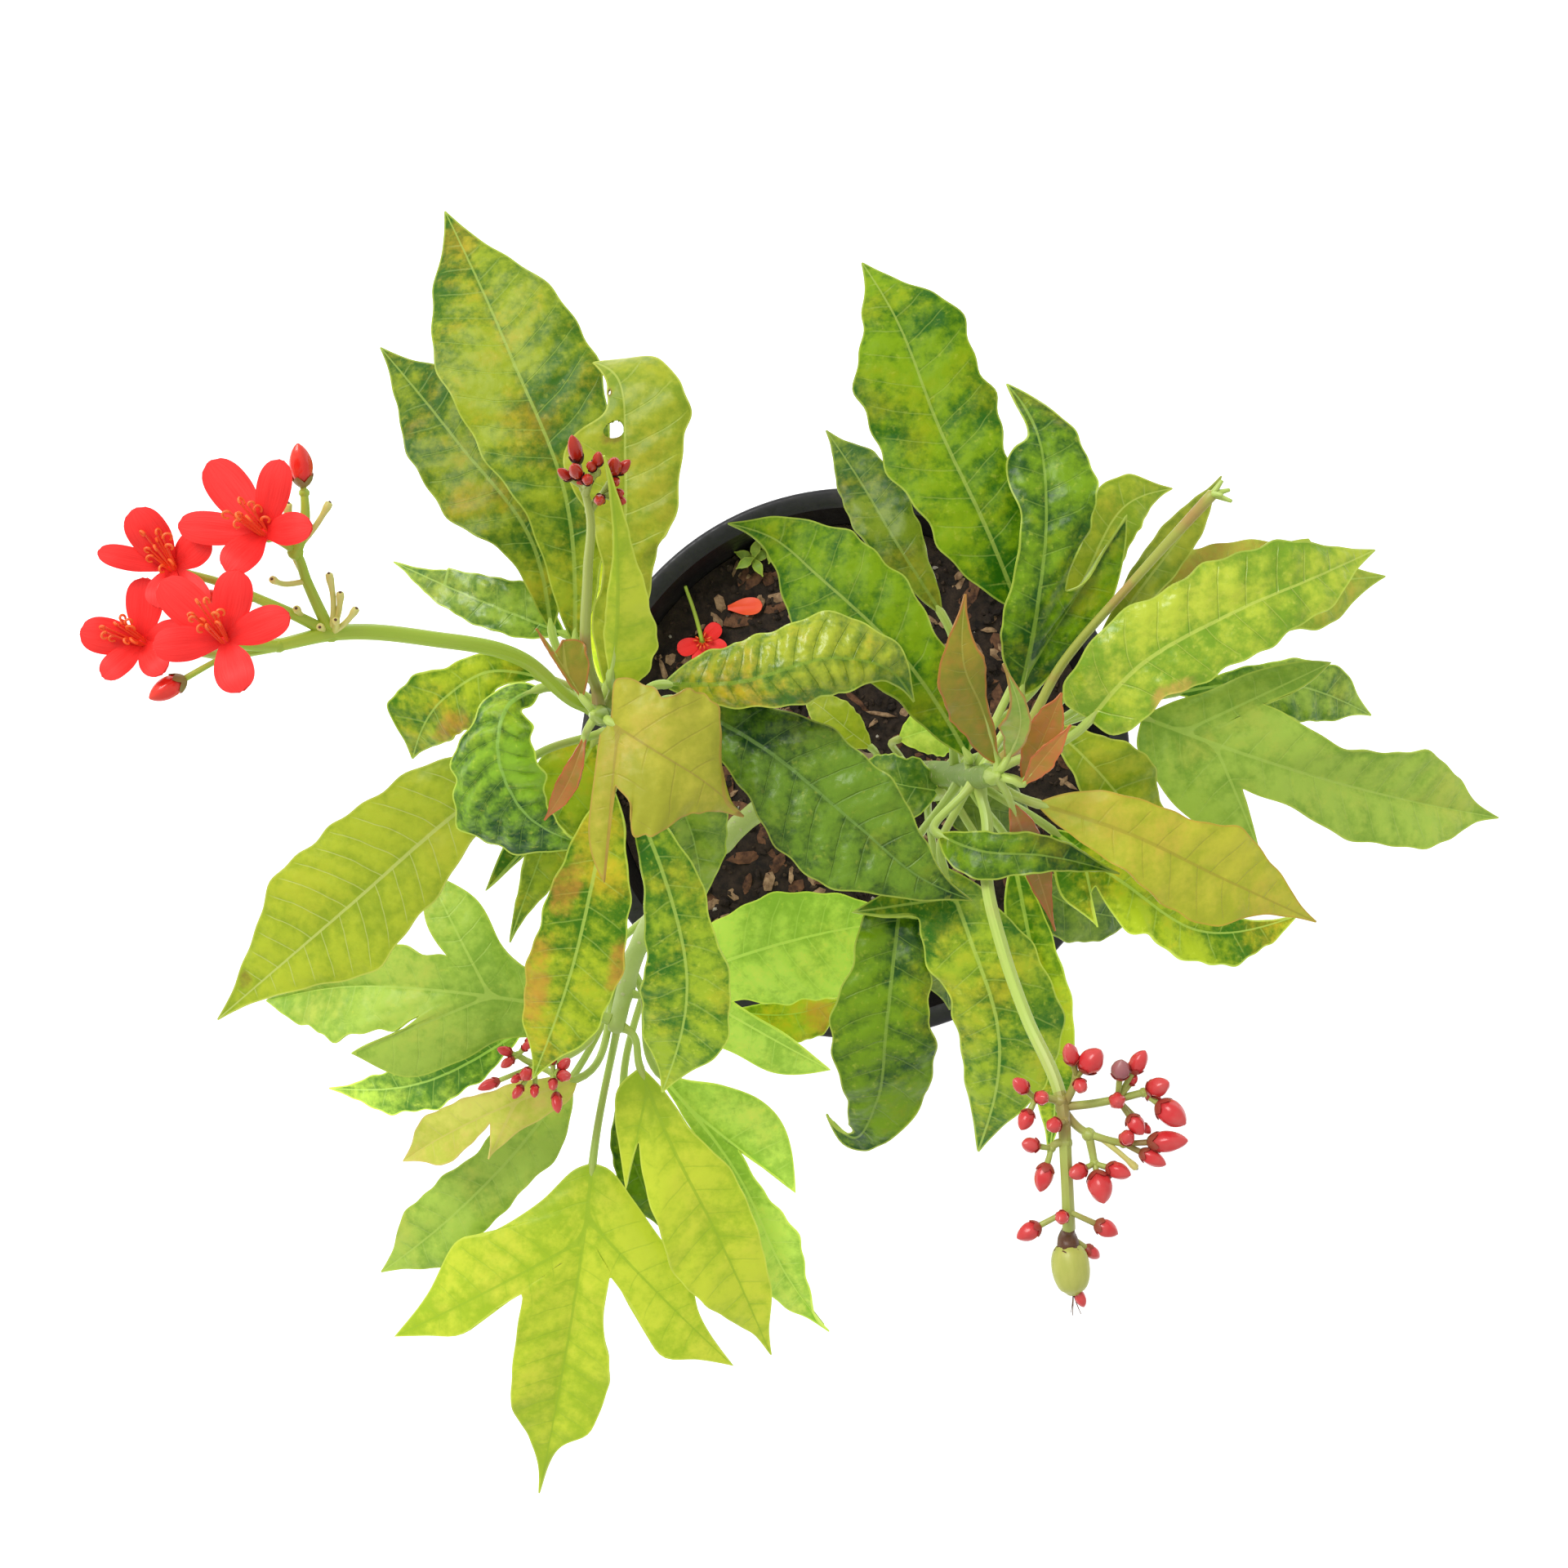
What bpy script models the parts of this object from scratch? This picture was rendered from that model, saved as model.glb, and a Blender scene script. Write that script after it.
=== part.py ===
"""A jatropha bush in its nursery pot.

Metres, +Z up, origin at the centre of the pot's underside. The plant's places and
sizes are written in millimetres and scaled by MM. A leaf is a grid carried along its
midrib, given its thickness by Solidify and joined to its stalk. Every stalk ends a
small gap short of the stem that carries it.
"""
import math

import bmesh
import bpy
import numpy as np
from mathutils import Matrix, Vector

MM = 0.001
GAP = 0.3
TIP = True

RIM_RADIUS = 105.0
LIP_WIDTH = 5.0
POT_HEIGHT = 172.0
POT_WALL = 2.2
POT_FLOOR = 3.0
BASE_RADIUS = 73.0
BAND_HEIGHT = 15.0
POT_STEPS = 36
DRAIN_HOLES = 6
DRAIN_HOLE_RADIUS = 5.0
DRAIN_CIRCLE = 58.0

SOIL_TOP = 149.0
SOIL_LUMP = 1.6
SOIL_RINGS = (11.0, 32.0, 54.0, 76.0)
TRUNK_HOLE_RADIUS = 7.4
TRUNK_HOLE_DEPTH = 80.0

MERGE = 0.002
BLADE_THICKNESS = 0.8
PLAIN_ROWS = (0.0, 0.08, 0.24, 0.42, 0.6, 0.78, 0.92, 1.0)
ROW_SPACING = 0.03
RIPPLE = 0.7
RIPPLE_WAVES = 3.0
FOLD = (0.12, 0.12)
YOUNG_FOLD = (0.25, 0.25)
SAG = 0.006

STALK_RADIUS = 1.15
STALK_HEEL = 1.5
STALK_BOW = 0.38
FOUR_SIDED = 0
SIX_SIDED = 1
EIGHT_SIDED = 2
SIDE_STALK_RADIUS = 1.0
BUD_LENGTH = 6.5
BUD_STALK_RADIUS = 0.7

THROAT_DEPTH = 5.0
THROAT_RADIUS = 1.6
STAMENS = 4
STAMEN_LENGTH = 7.0
STAMEN_RADIUS = 0.6

# Each finish is a colour and a roughness.
FINISHES = {
    "clear_green": ((0.22, 0.42, 0.05), 0.42),
    "dark_green": ((0.07, 0.20, 0.03), 0.38),
    "lime": ((0.42, 0.52, 0.06), 0.42),
    "bronze": ((0.36, 0.20, 0.06), 0.40),
    "bark": ((0.20, 0.17, 0.08), 0.70),
    "bud_red": ((0.52, 0.05, 0.04), 0.40),
    "petal_red": ((0.85, 0.05, 0.03), 0.35),
    "pot_black": ((0.012, 0.012, 0.014), 0.45),
    "soil_brown": ((0.06, 0.035, 0.02), 0.95),
}

for old in list(bpy.data.objects):
    bpy.data.objects.remove(old, do_unlink=True)

plant = bpy.data.collections.new("potted_jatropha")
bpy.context.scene.collection.children.link(plant)
cutters = bpy.data.collections.new("cutters")
bpy.context.scene.collection.children.link(cutters)


def material(name):
    """A Principled material with the named finish's colour and roughness."""
    colour, rough = FINISHES[name]
    made = bpy.data.materials.new(name)
    made.use_nodes = True
    shader = made.node_tree.nodes["Principled BSDF"]
    shader.inputs["Base Color"].default_value = (*colour, 1.0)
    shader.inputs["Roughness"].default_value = rough
    shader.inputs["Metallic"].default_value = 0.0
    return made


def add(name, mesh, group=plant):
    """A new object that holds the mesh, in the given collection."""
    thing = bpy.data.objects.new(name, mesh)
    group.objects.link(thing)
    return thing


def mesh_from(work, name):
    """The working mesh written to a new mesh, and freed."""
    mesh = bpy.data.meshes.new(name)
    work.to_mesh(mesh)
    work.free()
    return mesh


def mesh_of(thing):
    """The object's evaluated mesh in world space, its seams merged and faces outwards."""
    bpy.context.view_layer.update()
    seen = thing.evaluated_get(bpy.context.evaluated_depsgraph_get())
    mesh = bpy.data.meshes.new_from_object(seen)
    mesh.transform(thing.matrix_world)
    work = bmesh.new()
    work.from_mesh(mesh)
    bmesh.ops.remove_doubles(work, verts=work.verts, dist=MERGE * MM)
    bmesh.ops.recalc_face_normals(work, faces=work.faces)
    closed = bool(work.faces) and all(edge.is_manifold for edge in work.edges)
    work.to_mesh(mesh)
    work.free()
    return mesh, closed


def solid_from(thing):
    """A plain object that takes the name and evaluated mesh of the one given."""
    mesh, _ = mesh_of(thing)
    name = thing.name
    bpy.data.objects.remove(thing, do_unlink=True)
    return add(name, mesh)


def combine(base, others, operation="UNION"):
    """One Boolean of the base with a collection that holds the others, applied."""
    group = bpy.data.collections.new("operands")
    bpy.context.scene.collection.children.link(group)
    for other in others:
        for home in list(other.users_collection):
            home.objects.unlink(other)
        group.objects.link(other)
    step = base.modifiers.new("combine", "BOOLEAN")
    step.operation = operation
    step.operand_type = "COLLECTION"
    step.collection = group
    for step.solver in ("EXACT", "MANIFOLD"):
        mesh, closed = mesh_of(base)
        if closed:
            break
    name = base.name
    for used in [base, *group.objects]:
        bpy.data.objects.remove(used, do_unlink=True)
    bpy.data.collections.remove(group)
    return add(name, mesh)


def dress(thing, finish):
    """Give the object its own material and smooth shading with sharp edges kept."""
    thing.data.materials.clear()
    thing.data.materials.append(material(finish))
    thing.data.shade_smooth()
    thing.data.set_sharp_from_angle(angle=math.radians(40.0))
    return thing


def tube(name, points, radii, sides=FOUR_SIDED):
    """A closed tube through points in millimetres, with a radius at each."""
    curve = bpy.data.curves.new(name, "CURVE")
    curve.dimensions = "3D"
    curve.bevel_depth = MM
    curve.bevel_resolution = sides
    curve.use_fill_caps = True
    line = curve.splines.new("POLY")
    line.points.add(len(points) - 1)
    for spot, place, radius in zip(line.points, points, radii):
        spot.co = (*(Vector(place) * MM), 1.0)
        spot.radius = radius
    return solid_from(add(name, curve))


def turned(name, profile, steps):
    """A profile of (radius, height) pairs in millimetres, turned about the Z axis."""
    points = [(radius * MM, 0.0, height * MM) for radius, height in profile]
    mesh = bpy.data.meshes.new(name)
    mesh.from_pydata(points, [(i, i + 1) for i in range(len(points) - 1)], [])
    thing = add(name, mesh)
    spin = thing.modifiers.new("turn", "SCREW")
    spin.angle = math.tau
    spin.steps = steps
    spin.render_steps = steps
    spin.use_merge_vertices = True
    spin.merge_threshold = 0.00001
    return solid_from(thing)


def curve_through(knots, values, at):
    """Smooth cubic through values at the knots, read at the given places (arrays)."""
    knots = np.asarray(knots, float)
    values = np.asarray(values, float)
    gaps = np.diff(knots)[:, None]
    slopes = np.diff(values, axis=0) / gaps
    tangents = np.vstack([slopes[:1], slopes[-1:]])
    if len(knots) > 2:
        share = gaps[1:] / (gaps[1:] + gaps[:-1])
        inner = share * slopes[:-1] + (1.0 - share) * slopes[1:]
        first = 1.5 * slopes[:1] - 0.5 * inner[:1]
        last = 1.5 * slopes[-1:] - 0.5 * inner[-1:]
        tangents = np.vstack([first, inner, last])
    piece = np.clip(np.searchsorted(knots, at, side="right") - 1, 0, len(gaps) - 1)
    gap = gaps[piece]
    x = (np.asarray(at)[:, None] - knots[piece][:, None]) / gap
    before = (2 * x**3 - 3 * x**2 + 1) * values[piece] + (x**3 - 2 * x**2 + x) * gap * tangents[piece]
    after = (3 * x**2 - 2 * x**3) * values[piece + 1] + (x**3 - x**2) * gap * tangents[piece + 1]
    return before + after


def edge_points(side):
    """A side's outline as (place along the rib, out, ahead, is a lobe tip) rows."""
    if isinstance(side, list):
        rows = [(*row, False)[:4] for row in side]
    else:
        near, low, high, far = side
        rows = [(0.05, 0.42 * near, 0.0, False), (0.2, near, 0.0, False), (0.4, low, 0.0, False),
                (0.6, high, 0.0, False), (0.8, far, 0.0, False), (0.91, 0.36 * far, 0.0, False)]
    if rows[0][0] > 0.0:
        rows.insert(0, (0.0, 0.5, 0.0, False))
    if rows[-1][0] < 1.0:
        rows.append((1.0, 0.25, 0.0, False))
    return rows


def edge_at(side, at):
    """How far the margin stands out from the rib and ahead of it, broken at lobe tips."""
    rows = edge_points(side)
    knots = np.array([row[0] for row in rows])
    values = np.array([row[1:3] for row in rows])
    breaks = [0] + [i for i, row in enumerate(rows) if row[3]] + [len(rows) - 1]
    result = np.zeros((len(at), 2))
    for a, b in zip(breaks[:-1], breaks[1:]):
        inside = (at >= knots[a]) & (at <= knots[b])
        result[inside] = curve_through(knots[a:b + 1], values[a:b + 1], at[inside])
    return result


def rib_at(rib, at):
    """Points on the midrib, and its level direction there."""
    rib = np.asarray(rib, float)
    run = np.concatenate([[0.0], np.cumsum(np.linalg.norm(np.diff(rib, axis=0), axis=1))])
    knots = run / run[-1]
    step = 0.002
    ahead = curve_through(knots, rib, np.clip(at + step, 0.0, 1.0))
    behind = curve_through(knots, rib, np.clip(at - step, 0.0, 1.0))
    level = (ahead - behind)[:, :2]
    level /= np.linalg.norm(level, axis=1)[:, None]
    return curve_through(knots, rib, at), level


def leaf_rows(left, right):
    """The places along the rib where the grid has a row of points."""
    if not isinstance(left, list) and not isinstance(right, list):
        return np.array(PLAIN_ROWS)
    places = set()
    tips = set()
    for side in (left, right):
        places |= {row[0] for row in edge_points(side)}
        tips |= {row[0] for row in edge_points(side) if row[3]}
    kept = [0.0]
    for place in sorted(places - {0.0, 1.0}):
        if place - kept[-1] > ROW_SPACING:
            kept.append(place)
        elif place in tips and kept[-1] in tips:
            kept.append(place)
        elif place in tips:
            kept[-1] = place
    return np.array(kept + [1.0])


def blade(name, rib, left, right, fold=FOLD, across=4):
    """A blade: out from the rib to each margin, raised to a shallow V, sagging outwards."""
    at = leaf_rows(left, right)
    rows = len(at)
    centre, level = rib_at(rib, at)
    work = bmesh.new()
    bmesh.ops.create_grid(work, x_segments=rows - 1, y_segments=across, size=0.5)
    margins = {1: edge_at(left, at), -1: edge_at(right, at)}
    phase = 0.1 * sum(rib[0][:2])
    for vertex in work.verts:
        i = round((vertex.co.x + 0.5) * (rows - 1))
        spread = 2.0 * vertex.co.y
        sign = 1 if spread >= 0.0 else -1
        share = abs(spread)
        out, ahead = margins[sign][i] * share
        slope = fold[0] if sign > 0 else fold[1]
        side = np.array([-level[i][1], level[i][0]]) * sign
        flat = centre[i][:2] + side * out + level[i] * ahead
        wave = math.sin(math.tau * RIPPLE_WAVES * at[i] + phase + sign) * share**2
        height = centre[i][2] + slope * out - SAG * out**2 + RIPPLE * wave * min(1.0, out / 8.0)
        vertex.co = Vector((flat[0], flat[1], height)) * MM
    bmesh.ops.triangulate(work, faces=work.faces)
    thing = add(name, mesh_from(work, name))
    thick = thing.modifiers.new("thickness", "SOLIDIFY")
    thick.thickness = BLADE_THICKNESS * MM
    thick.offset = 0.0
    return solid_from(thing)


# Stems: each shoot is a list of (x, y, z, radius), from the soil or its fork to its tip.
SHOOTS = {
    "left": [(0, 0, 92, 6.4), (0, 0, 158, 6.2), (-6, 1, 192, 5.6), (-32, 5, 268, 4.6),
             (-58, 8, 340, 3.8), (-69, 9, 390, 3.2), (-72.5, 9, 424, 2.7)],
    "right": [(0, 0, 165, 5.4), (1, -1, 190, 5.2), (9, -4, 262, 4.4), (18, -5, 330, 3.8),
              (23, -6, 385, 3.2), (24.5, -6, 424, 2.7)],
    "low": [(-8, 1, 198, 4.2), (-24, -8, 226, 3.9), (-52, -32, 268, 3.4), (-71, -56, 308, 3.0),
            (-76.5, -80, 334, 2.5)],
}
SPENT_STALK = [(24, -6, 402, 1.4), (32, 2, 407, 1.4), (43, 22, 413, 1.3), (59, 42, 425, 1.2),
               (75, 61, 440, 1.3)]
SPENT_BRACTS = [(77, 64, 441), (79, 59, 442), (76, 60, 445)]


# Leaves: the shoot and the height that carry each, its midrib, and the half widths of its
# left and right sides at 0.2, 0.4, 0.6 and 0.8 of its length. A lobed or bitten side lists
# (place along the midrib, distance out, distance ahead) instead, with TIP at a lobe's point.
LEAVES = {
    "leaf_left_01": (
        "left", 394,
        [(-81, 28, 402), (-82, 63, 410), (-97, 102, 408), (-117, 144, 388)],
        (8.5, 15.5, 18.5, 13),
        (8.5, 16.5, 19.5, 10.5),
    ),
    "leaf_left_02": (
        "left", 378,
        [(-89, 33, 386), (-93, 55, 393), (-113, 82, 390), (-138, 112, 370)],
        (6.5, 14, 13, 6.5),
        (6.5, 12, 13.5, 9),
    ),
    "leaf_left_03": (
        "left", 366,
        [(-87, 33, 374), (-110, 42, 376), (-136, 54, 362)],
        (5.5, 6.5, 5.5, 3),
        [(0.1, 7, 1.5), (0.3, 9, -1.5), (0.5, 6.5, -1), (0.64, 5, 1, TIP), (0.7, 4, -1.5),
         (0.85, 1.5, -0.5)],
    ),
    "leaf_left_04": (
        "left", 400,
        [(-71.5, 16, 415), (-67, 45, 422), (-66, 72, 425), (-68, 92, 423), (-75, 98, 414)],
        [(0.1, 5, 2), (0.4, 5.5, -3), (0.5, 9, -2), (0.58, 14, -1.5), (0.68, 13, 0.5), (0.76, 5.5, -1),
         (0.85, 3.5, -1), (0.94, 1.5, 0.5)],
        [(0.1, 5.5, 4), (0.3, 7.5, 6), (0.5, 12, -1.5), (0.66, 15, 3), (0.78, 15.5, 0),
         (0.86, 13, -4.5), (0.92, 9, -6), (0.96, 4.5, -4)],
    ),
    "leaf_left_05": (
        "left", 418,
        [(-67, 18, 431), (-66.5, 35, 441), (-66, 51, 452), (-68, 66, 462)],
        (1.5, 1, 1, 0.5),
        [(0.03, 6.5, -2.5), (0.12, 10, -1), (0.25, 9.5, 0.5), (0.4, 8, 1), (0.6, 4.5, 1),
         (0.8, 2.5, 0), (0.92, 0.5, 0.5)],
    ),
    "leaf_left_06": (
        "left", 382,
        [(-74, 17, 392), (-76, 38, 389), (-80, 61, 382), (-81, 77, 373)],
        (4, 6.5, 5.5, 3.5),
        (5.5, 7.5, 7, 4.5),
    ),
    "leaf_left_07": (
        "left", 386,
        [(-91, 20, 396), (-103, 21, 402), (-115, 15, 396), (-128, -1, 376)],
        (4.5, 9.5, 9.5, 6),
        (4.5, 6, 10, 10),
    ),
    "leaf_left_08": (
        "left", 402,
        [(-89, 16, 412), (-96, 11, 419), (-98, 2, 421), (-94, -13, 414), (-78, -24, 398)],
        [(0.04, 2.5, 0), (0.15, 3.5, 0), (0.3, 7.5, -2.5), (0.45, 9, 1), (0.6, 6.5, 2.5),
         (0.75, 3, 3.5), (0.9, 0.5, 2)],
        [(0.03, 2.5, 0.5), (0.12, 5, 4), (0.22, 8, 4), (0.35, 12, 2.5), (0.48, 15, -0.5),
         (0.6, 16, -1), (0.72, 12, -3.5), (0.86, 6, -2), (0.94, 3, -1)],
    ),
    "leaf_left_09": (
        "left", 386,
        [(-94, -2, 397), (-110, -14, 400), (-141, -40, 394), (-181, -72, 376)],
        (8.5, 14, 16.5, 6.5),
        (15, 18, 19, 9.5),
    ),
    "leaf_left_11": (
        "left", 370,
        [(-78, 4, 380), (-89, -17, 374), (-105, -53, 352)],
        (7.5, 8, 7, 3),
        [(0.1, 9.5, 2), (0.25, 9, 6.5), (0.35, 9, 12), (0.42, 8.5, 22, TIP), (0.46, 5, 11),
         (0.52, 4, 1.5), (0.7, 2.5, 1), (0.9, 1.5, -1)],
    ),
    "leaf_left_12": (
        "left", 420,
        [(-69, 7, 432), (-58, 0, 436), (-47, -7, 432), (-37, -16, 422)],
        [(0.06, 8, -6.5), (0.2, 12, -5.5), (0.32, 12.5, -5), (0.44, 16, -7), (0.58, 18, -8.5),
         (0.7, 14, -9), (0.85, 4.5, -6.5), (0.95, -0.5, -3)],
        [(0, 4, -0.5), (0.03, 13, 2.5), (0.06, 25.5, 7.5), (0.1, 33.5, 15.5, TIP), (0.13, 21, 8),
         (0.18, 12, 2), (0.25, 15, 4.5), (0.34, 19, 4.5), (0.45, 19, 3.5), (0.6, 11.5, 1.5),
         (0.78, 6, -0.5), (0.92, 2.5, -1)],
    ),
    "leaf_left_13": (
        "left", 390,
        [(-71, -9, 406), (-75, -27, 403), (-82, -54, 393), (-96, -89, 370)],
        (8, 12, 12.5, 9),
        (8, 11, 11.5, 8),
    ),
    "leaf_left_14": (
        "left", 384,
        [(-66, -13, 396), (-59, -30, 397), (-53, -56, 389), (-61, -94, 362)],
        (8, 9, 12, 10.5),
        (5.5, 9.5, 12, 9.5),
    ),
    "leaf_left_15": (
        "left", 408,
        [(-57, 17, 416), (-39, 17, 424), (-13, 23, 425), (-2, 21, 420), (6, 13, 409)],
        (9, 10, 11, 6.5),
        (5, 8.5, 9, 3.5),
    ),
    "leaf_left_16": (
        "left", 399,
        [(-53, 13, 405), (-32, 1, 409), (-9, -18, 410), (8, -32, 408), (21.5, -38, 403)],
        (9.5, 14.5, 14, 7.5),
        (9, 15.5, 18, 8),
    ),
    "leaf_left_17": (
        "left", 360,
        [(-63, 0, 372), (-54, -17, 370), (-50, -42, 354)],
        (11, 11, 9, 4.5),
        (5.5, 6.5, 7, 3.5),
    ),
    "leaf_right_00": (
        "right", 392,
        [(21, -1, 398), (5, 23, 403), (-18, 46, 398), (-30, 57, 390), (-42, 62, 382)],
        (7.5, 12, 13.5, 5),
        (8, 12.5, 15, 9),
    ),
    "leaf_right_01": (
        "right", 394,
        [(34, 37, 400), (26, 55, 405), (13, 84, 402), (3, 112, 396), (-6, 132, 382)],
        (12, 15.5, 17, 9),
        (9.5, 14.5, 16, 12.5),
    ),
    "leaf_right_02": (
        "right", 362,
        [(16, 39, 372), (3, 59, 374), (-5, 74, 368), (-15, 92, 355)],
        (4.5, 7.5, 7.5, 4),
        (5, 8.5, 9.5, 6.5),
    ),
    "leaf_right_03": (
        "right", 400,
        [(34, 15, 402), (37, 37, 412), (39, 58, 414), (37, 83, 408), (31, 96, 398)],
        [(0.1, 6.5, 0.5), (0.28, 8, -3), (0.42, 7, -2), (0.55, 6.5, -1.5), (0.66, 10, 0), (0.74, 7, 0),
         (0.82, 2.5, -3), (0.92, 1.5, 0)],
        [(0.02, 3, -0.5), (0.08, 9, 3), (0.14, 16.5, 8.5), (0.2, 20.5, 12.5), (0.25, 21.5, 19),
         (0.3, 21, 25, TIP), (0.34, 16.5, 13.5), (0.38, 12.5, -0.5), (0.42, 6.5, -8), (0.52, 9, -6),
         (0.62, 12, -7.5), (0.72, 12, -9.5), (0.82, 9.5, -9.5), (0.9, 6.5, -7), (0.96, 2.5, -2)],
    ),
    "leaf_right_04": (
        "right", 340,
        [(50, 29, 352), (59, 52, 354), (70, 71, 350), (86, 78, 340)],
        (4, 7.5, 9, 7.5),
        (4, 7, 8, 5.5),
    ),
    "leaf_right_05": (
        "right", 378,
        [(51, 20, 390), (65, 41, 393), (79, 59, 390), (91, 75, 380)],
        (2, 4.5, 5.5, 3.5),
        (3, 4.5, 5, 3),
    ),
    "leaf_right_06": (
        "right", 366,
        [(59, 17, 374), (81, 34, 378), (111, 45, 374), (141, 50, 362)],
        [(0.1, 6, -0.5), (0.3, 13, -3.5), (0.42, 18, -3), (0.55, 17.5, -4.5), (0.68, 13, -1.5),
         (0.74, 13, 0.5, TIP), (0.8, 7.5, -1.5), (0.92, 2.5, -1)],
        (5, 9.5, 11, 10.5),
    ),
    "leaf_right_07": (
        "right", 410,
        [(49, 8, 420), (59, 20, 427), (83, 34, 428), (104, 43, 423), (122, 51, 413)],
        (11, 13, 13, 8),
        (10, 12, 10.5, 7),
    ),
    "leaf_right_08": (
        "right", 346,
        [(75, 11, 352), (104, 0, 357), (136, -9, 350), (184, -18, 332)],
        [(0.02, 5.5, 2), (0.08, 14.5, 6), (0.13, 24, 10), (0.17, 30, 16), (0.22, 33, 20, TIP),
         (0.26, 23.5, 10.5), (0.31, 15, -5), (0.37, 13.5, 0), (0.45, 9.5, 4), (0.55, 11.5, 5.5),
         (0.68, 14.5, 6), (0.8, 10, 4), (0.92, 3.5, -0.5)],
        [(0.02, 6.5, -1.5), (0.07, 13.5, -0.5), (0.12, 21, 4), (0.18, 24.5, 10), (0.24, 24.5, 16, TIP),
         (0.27, 16, 6), (0.31, 9, -4), (0.4, 11, 1), (0.52, 14.5, 5.5), (0.65, 13.5, 8), (0.8, 9, 5.5),
         (0.92, 2.5, 1)],
    ),
    "leaf_right_09": (
        "right", 322,
        [(89, 19, 330), (118, 22, 330), (152, 13, 314)],
        (3.5, 6, 8.5, 7.5),
        (5, 8, 10, 6.5),
    ),
    "leaf_right_10": (
        "right", 404,
        [(37, -13, 413), (58, -20, 419), (82, -31, 412), (112, -44, 396)],
        (8.5, 9.5, 13, 7),
        (7, 11, 13, 4),
    ),
    "leaf_right_11": (
        "right", 386,
        [(43, 7, 396), (54, -4, 398), (67, -18, 390), (79, -30, 380)],
        (7.5, 12.5, 9, 4.5),
        (5, 8, 9, 5),
    ),
    "leaf_right_12": (
        "right", 382,
        [(43, -20, 396), (62, -34, 394), (83, -47, 386), (113, -44, 374)],
        (6, 8.5, 8.5, 3),
        [(0.04, 5, 0.5), (0.1, 11.5, 2.5), (0.17, 13.5, 4), (0.23, 14, 5.5, TIP), (0.26, 9, -2),
         (0.3, 4.5, -7), (0.36, 9, 0), (0.46, 7.5, 1), (0.58, 8, 2), (0.72, 8, 1.5), (0.84, 6, 0),
         (0.93, 3.5, -0.5)],
    ),
    "leaf_right_13": (
        "right", 396,
        [(13, -21, 401), (23, -25, 409), (38, -26, 413), (59, -31, 405)],
        (4.5, 5.5, 5, 2.5),
        (7, 6, 4, 2),
    ),
    "leaf_right_14": (
        "right", 384,
        [(15, -30, 393), (21, -47, 397), (29, -70, 392), (27, -110, 365)],
        (11.5, 16.5, 16, 8),
        [(0.02, 8.5, -2), (0.05, 17, -3.5), (0.09, 26, -5, TIP), (0.14, 19.5, -6), (0.2, 13, -9.5),
         (0.3, 11.5, -12.5), (0.4, 13, -11.5), (0.5, 11.5, -11.5), (0.6, 11.5, -10.5), (0.72, 10, -7),
         (0.85, 6.5, -4.5), (0.95, 2.5, -2)],
    ),
    "leaf_right_15": (
        "right", 376,
        [(34, -28, 388), (40, -56, 384), (47, -84, 373), (48, -114, 354)],
        (5.5, 7.5, 6, 3),
        (6.5, 9, 8, 4.5),
    ),
    "leaf_right_16": (
        "right", 372,
        [(5, -33, 386), (2, -53, 392), (0, -72, 391), (-2, -94, 378), (-8, -106, 366), (-15, -101, 358)],
        [(0.1, 4.5, -2.5), (0.3, 9.5, -5), (0.45, 11.5, -6.5), (0.6, 13.5, -6.5), (0.72, 12.5, -6.5),
         (0.82, 7.5, -3), (0.9, 2.5, -5.5), (0.96, 2.5, -3.5)],
        [(0.1, 7.5, -1), (0.25, 11, -1), (0.4, 14, -1), (0.52, 14.5, -1.5), (0.64, 9, 2),
         (0.74, 6.5, 1.5), (0.84, 3.5, -0.5), (0.94, -0.5, 0.5)],
    ),
    "leaf_right_17": (
        "right", 326,
        [(14, -11, 334), (4, -8, 337), (-8, -4, 328)],
        (6, 8, 8, 5),
        (6, 8, 8, 5),
    ),
    "leaf_right_18": (
        "right", 332,
        [(38, -32, 342), (56, -43, 342), (78, -48, 330)],
        (4.5, 8, 8, 5),
        (7, 10, 9.5, 5.5),
    ),
    "leaf_low_01": (
        "low", 328,
        [(-85, -123, 318), (-87, -142, 320), (-91, -167, 316), (-104, -231, 296)],
        [(0.02, 4.5, -1.5), (0.07, 14, 2.5), (0.12, 24, 8), (0.16, 32.5, 10.5), (0.2, 37.5, 18),
         (0.26, 51.5, 26.5, TIP), (0.3, 40.5, 20), (0.33, 30, 16.5), (0.37, 19, -0.5),
         (0.41, 9.5, -14), (0.48, 9.5, -8), (0.58, 13.5, -7), (0.7, 14.5, -7), (0.8, 11.5, -4.5),
         (0.88, 4, -5.5), (0.95, 1, -4.5)],
        [(0.02, 4.5, -0.5), (0.07, 15, 5), (0.12, 29, 11), (0.16, 39, 12), (0.2, 45, 24.5),
         (0.26, 53.5, 35, TIP), (0.3, 42.5, 27), (0.34, 32.5, 20), (0.38, 23.5, 6), (0.42, 16, -5.5),
         (0.48, 15.5, -1), (0.58, 15, 4.5), (0.7, 12.5, 3), (0.8, 7.5, 0), (0.88, 4, -2),
         (0.95, 1.5, -2.5)],
    ),
    "leaf_low_02": (
        "low", 333,
        [(-69, -91, 338), (-61, -110, 341), (-47, -140, 334), (-31, -182, 314)],
        (7, 12.5, 11, 7),
        [(0.03, 6.5, -1.5), (0.1, 12, 0), (0.17, 14.5, 2), (0.23, 18, 7, TIP), (0.27, 12, -5),
         (0.31, 8.5, -13), (0.38, 11.5, -8), (0.5, 14.5, -3), (0.6, 15.5, 0), (0.72, 11.5, 0),
         (0.85, 6, -1), (0.94, 2, -2.5)],
    ),
    "leaf_low_03": (
        "low", 318,
        [(-65, -95, 320), (-42, -124, 320), (-26, -159, 310), (-13, -179, 300)],
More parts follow.
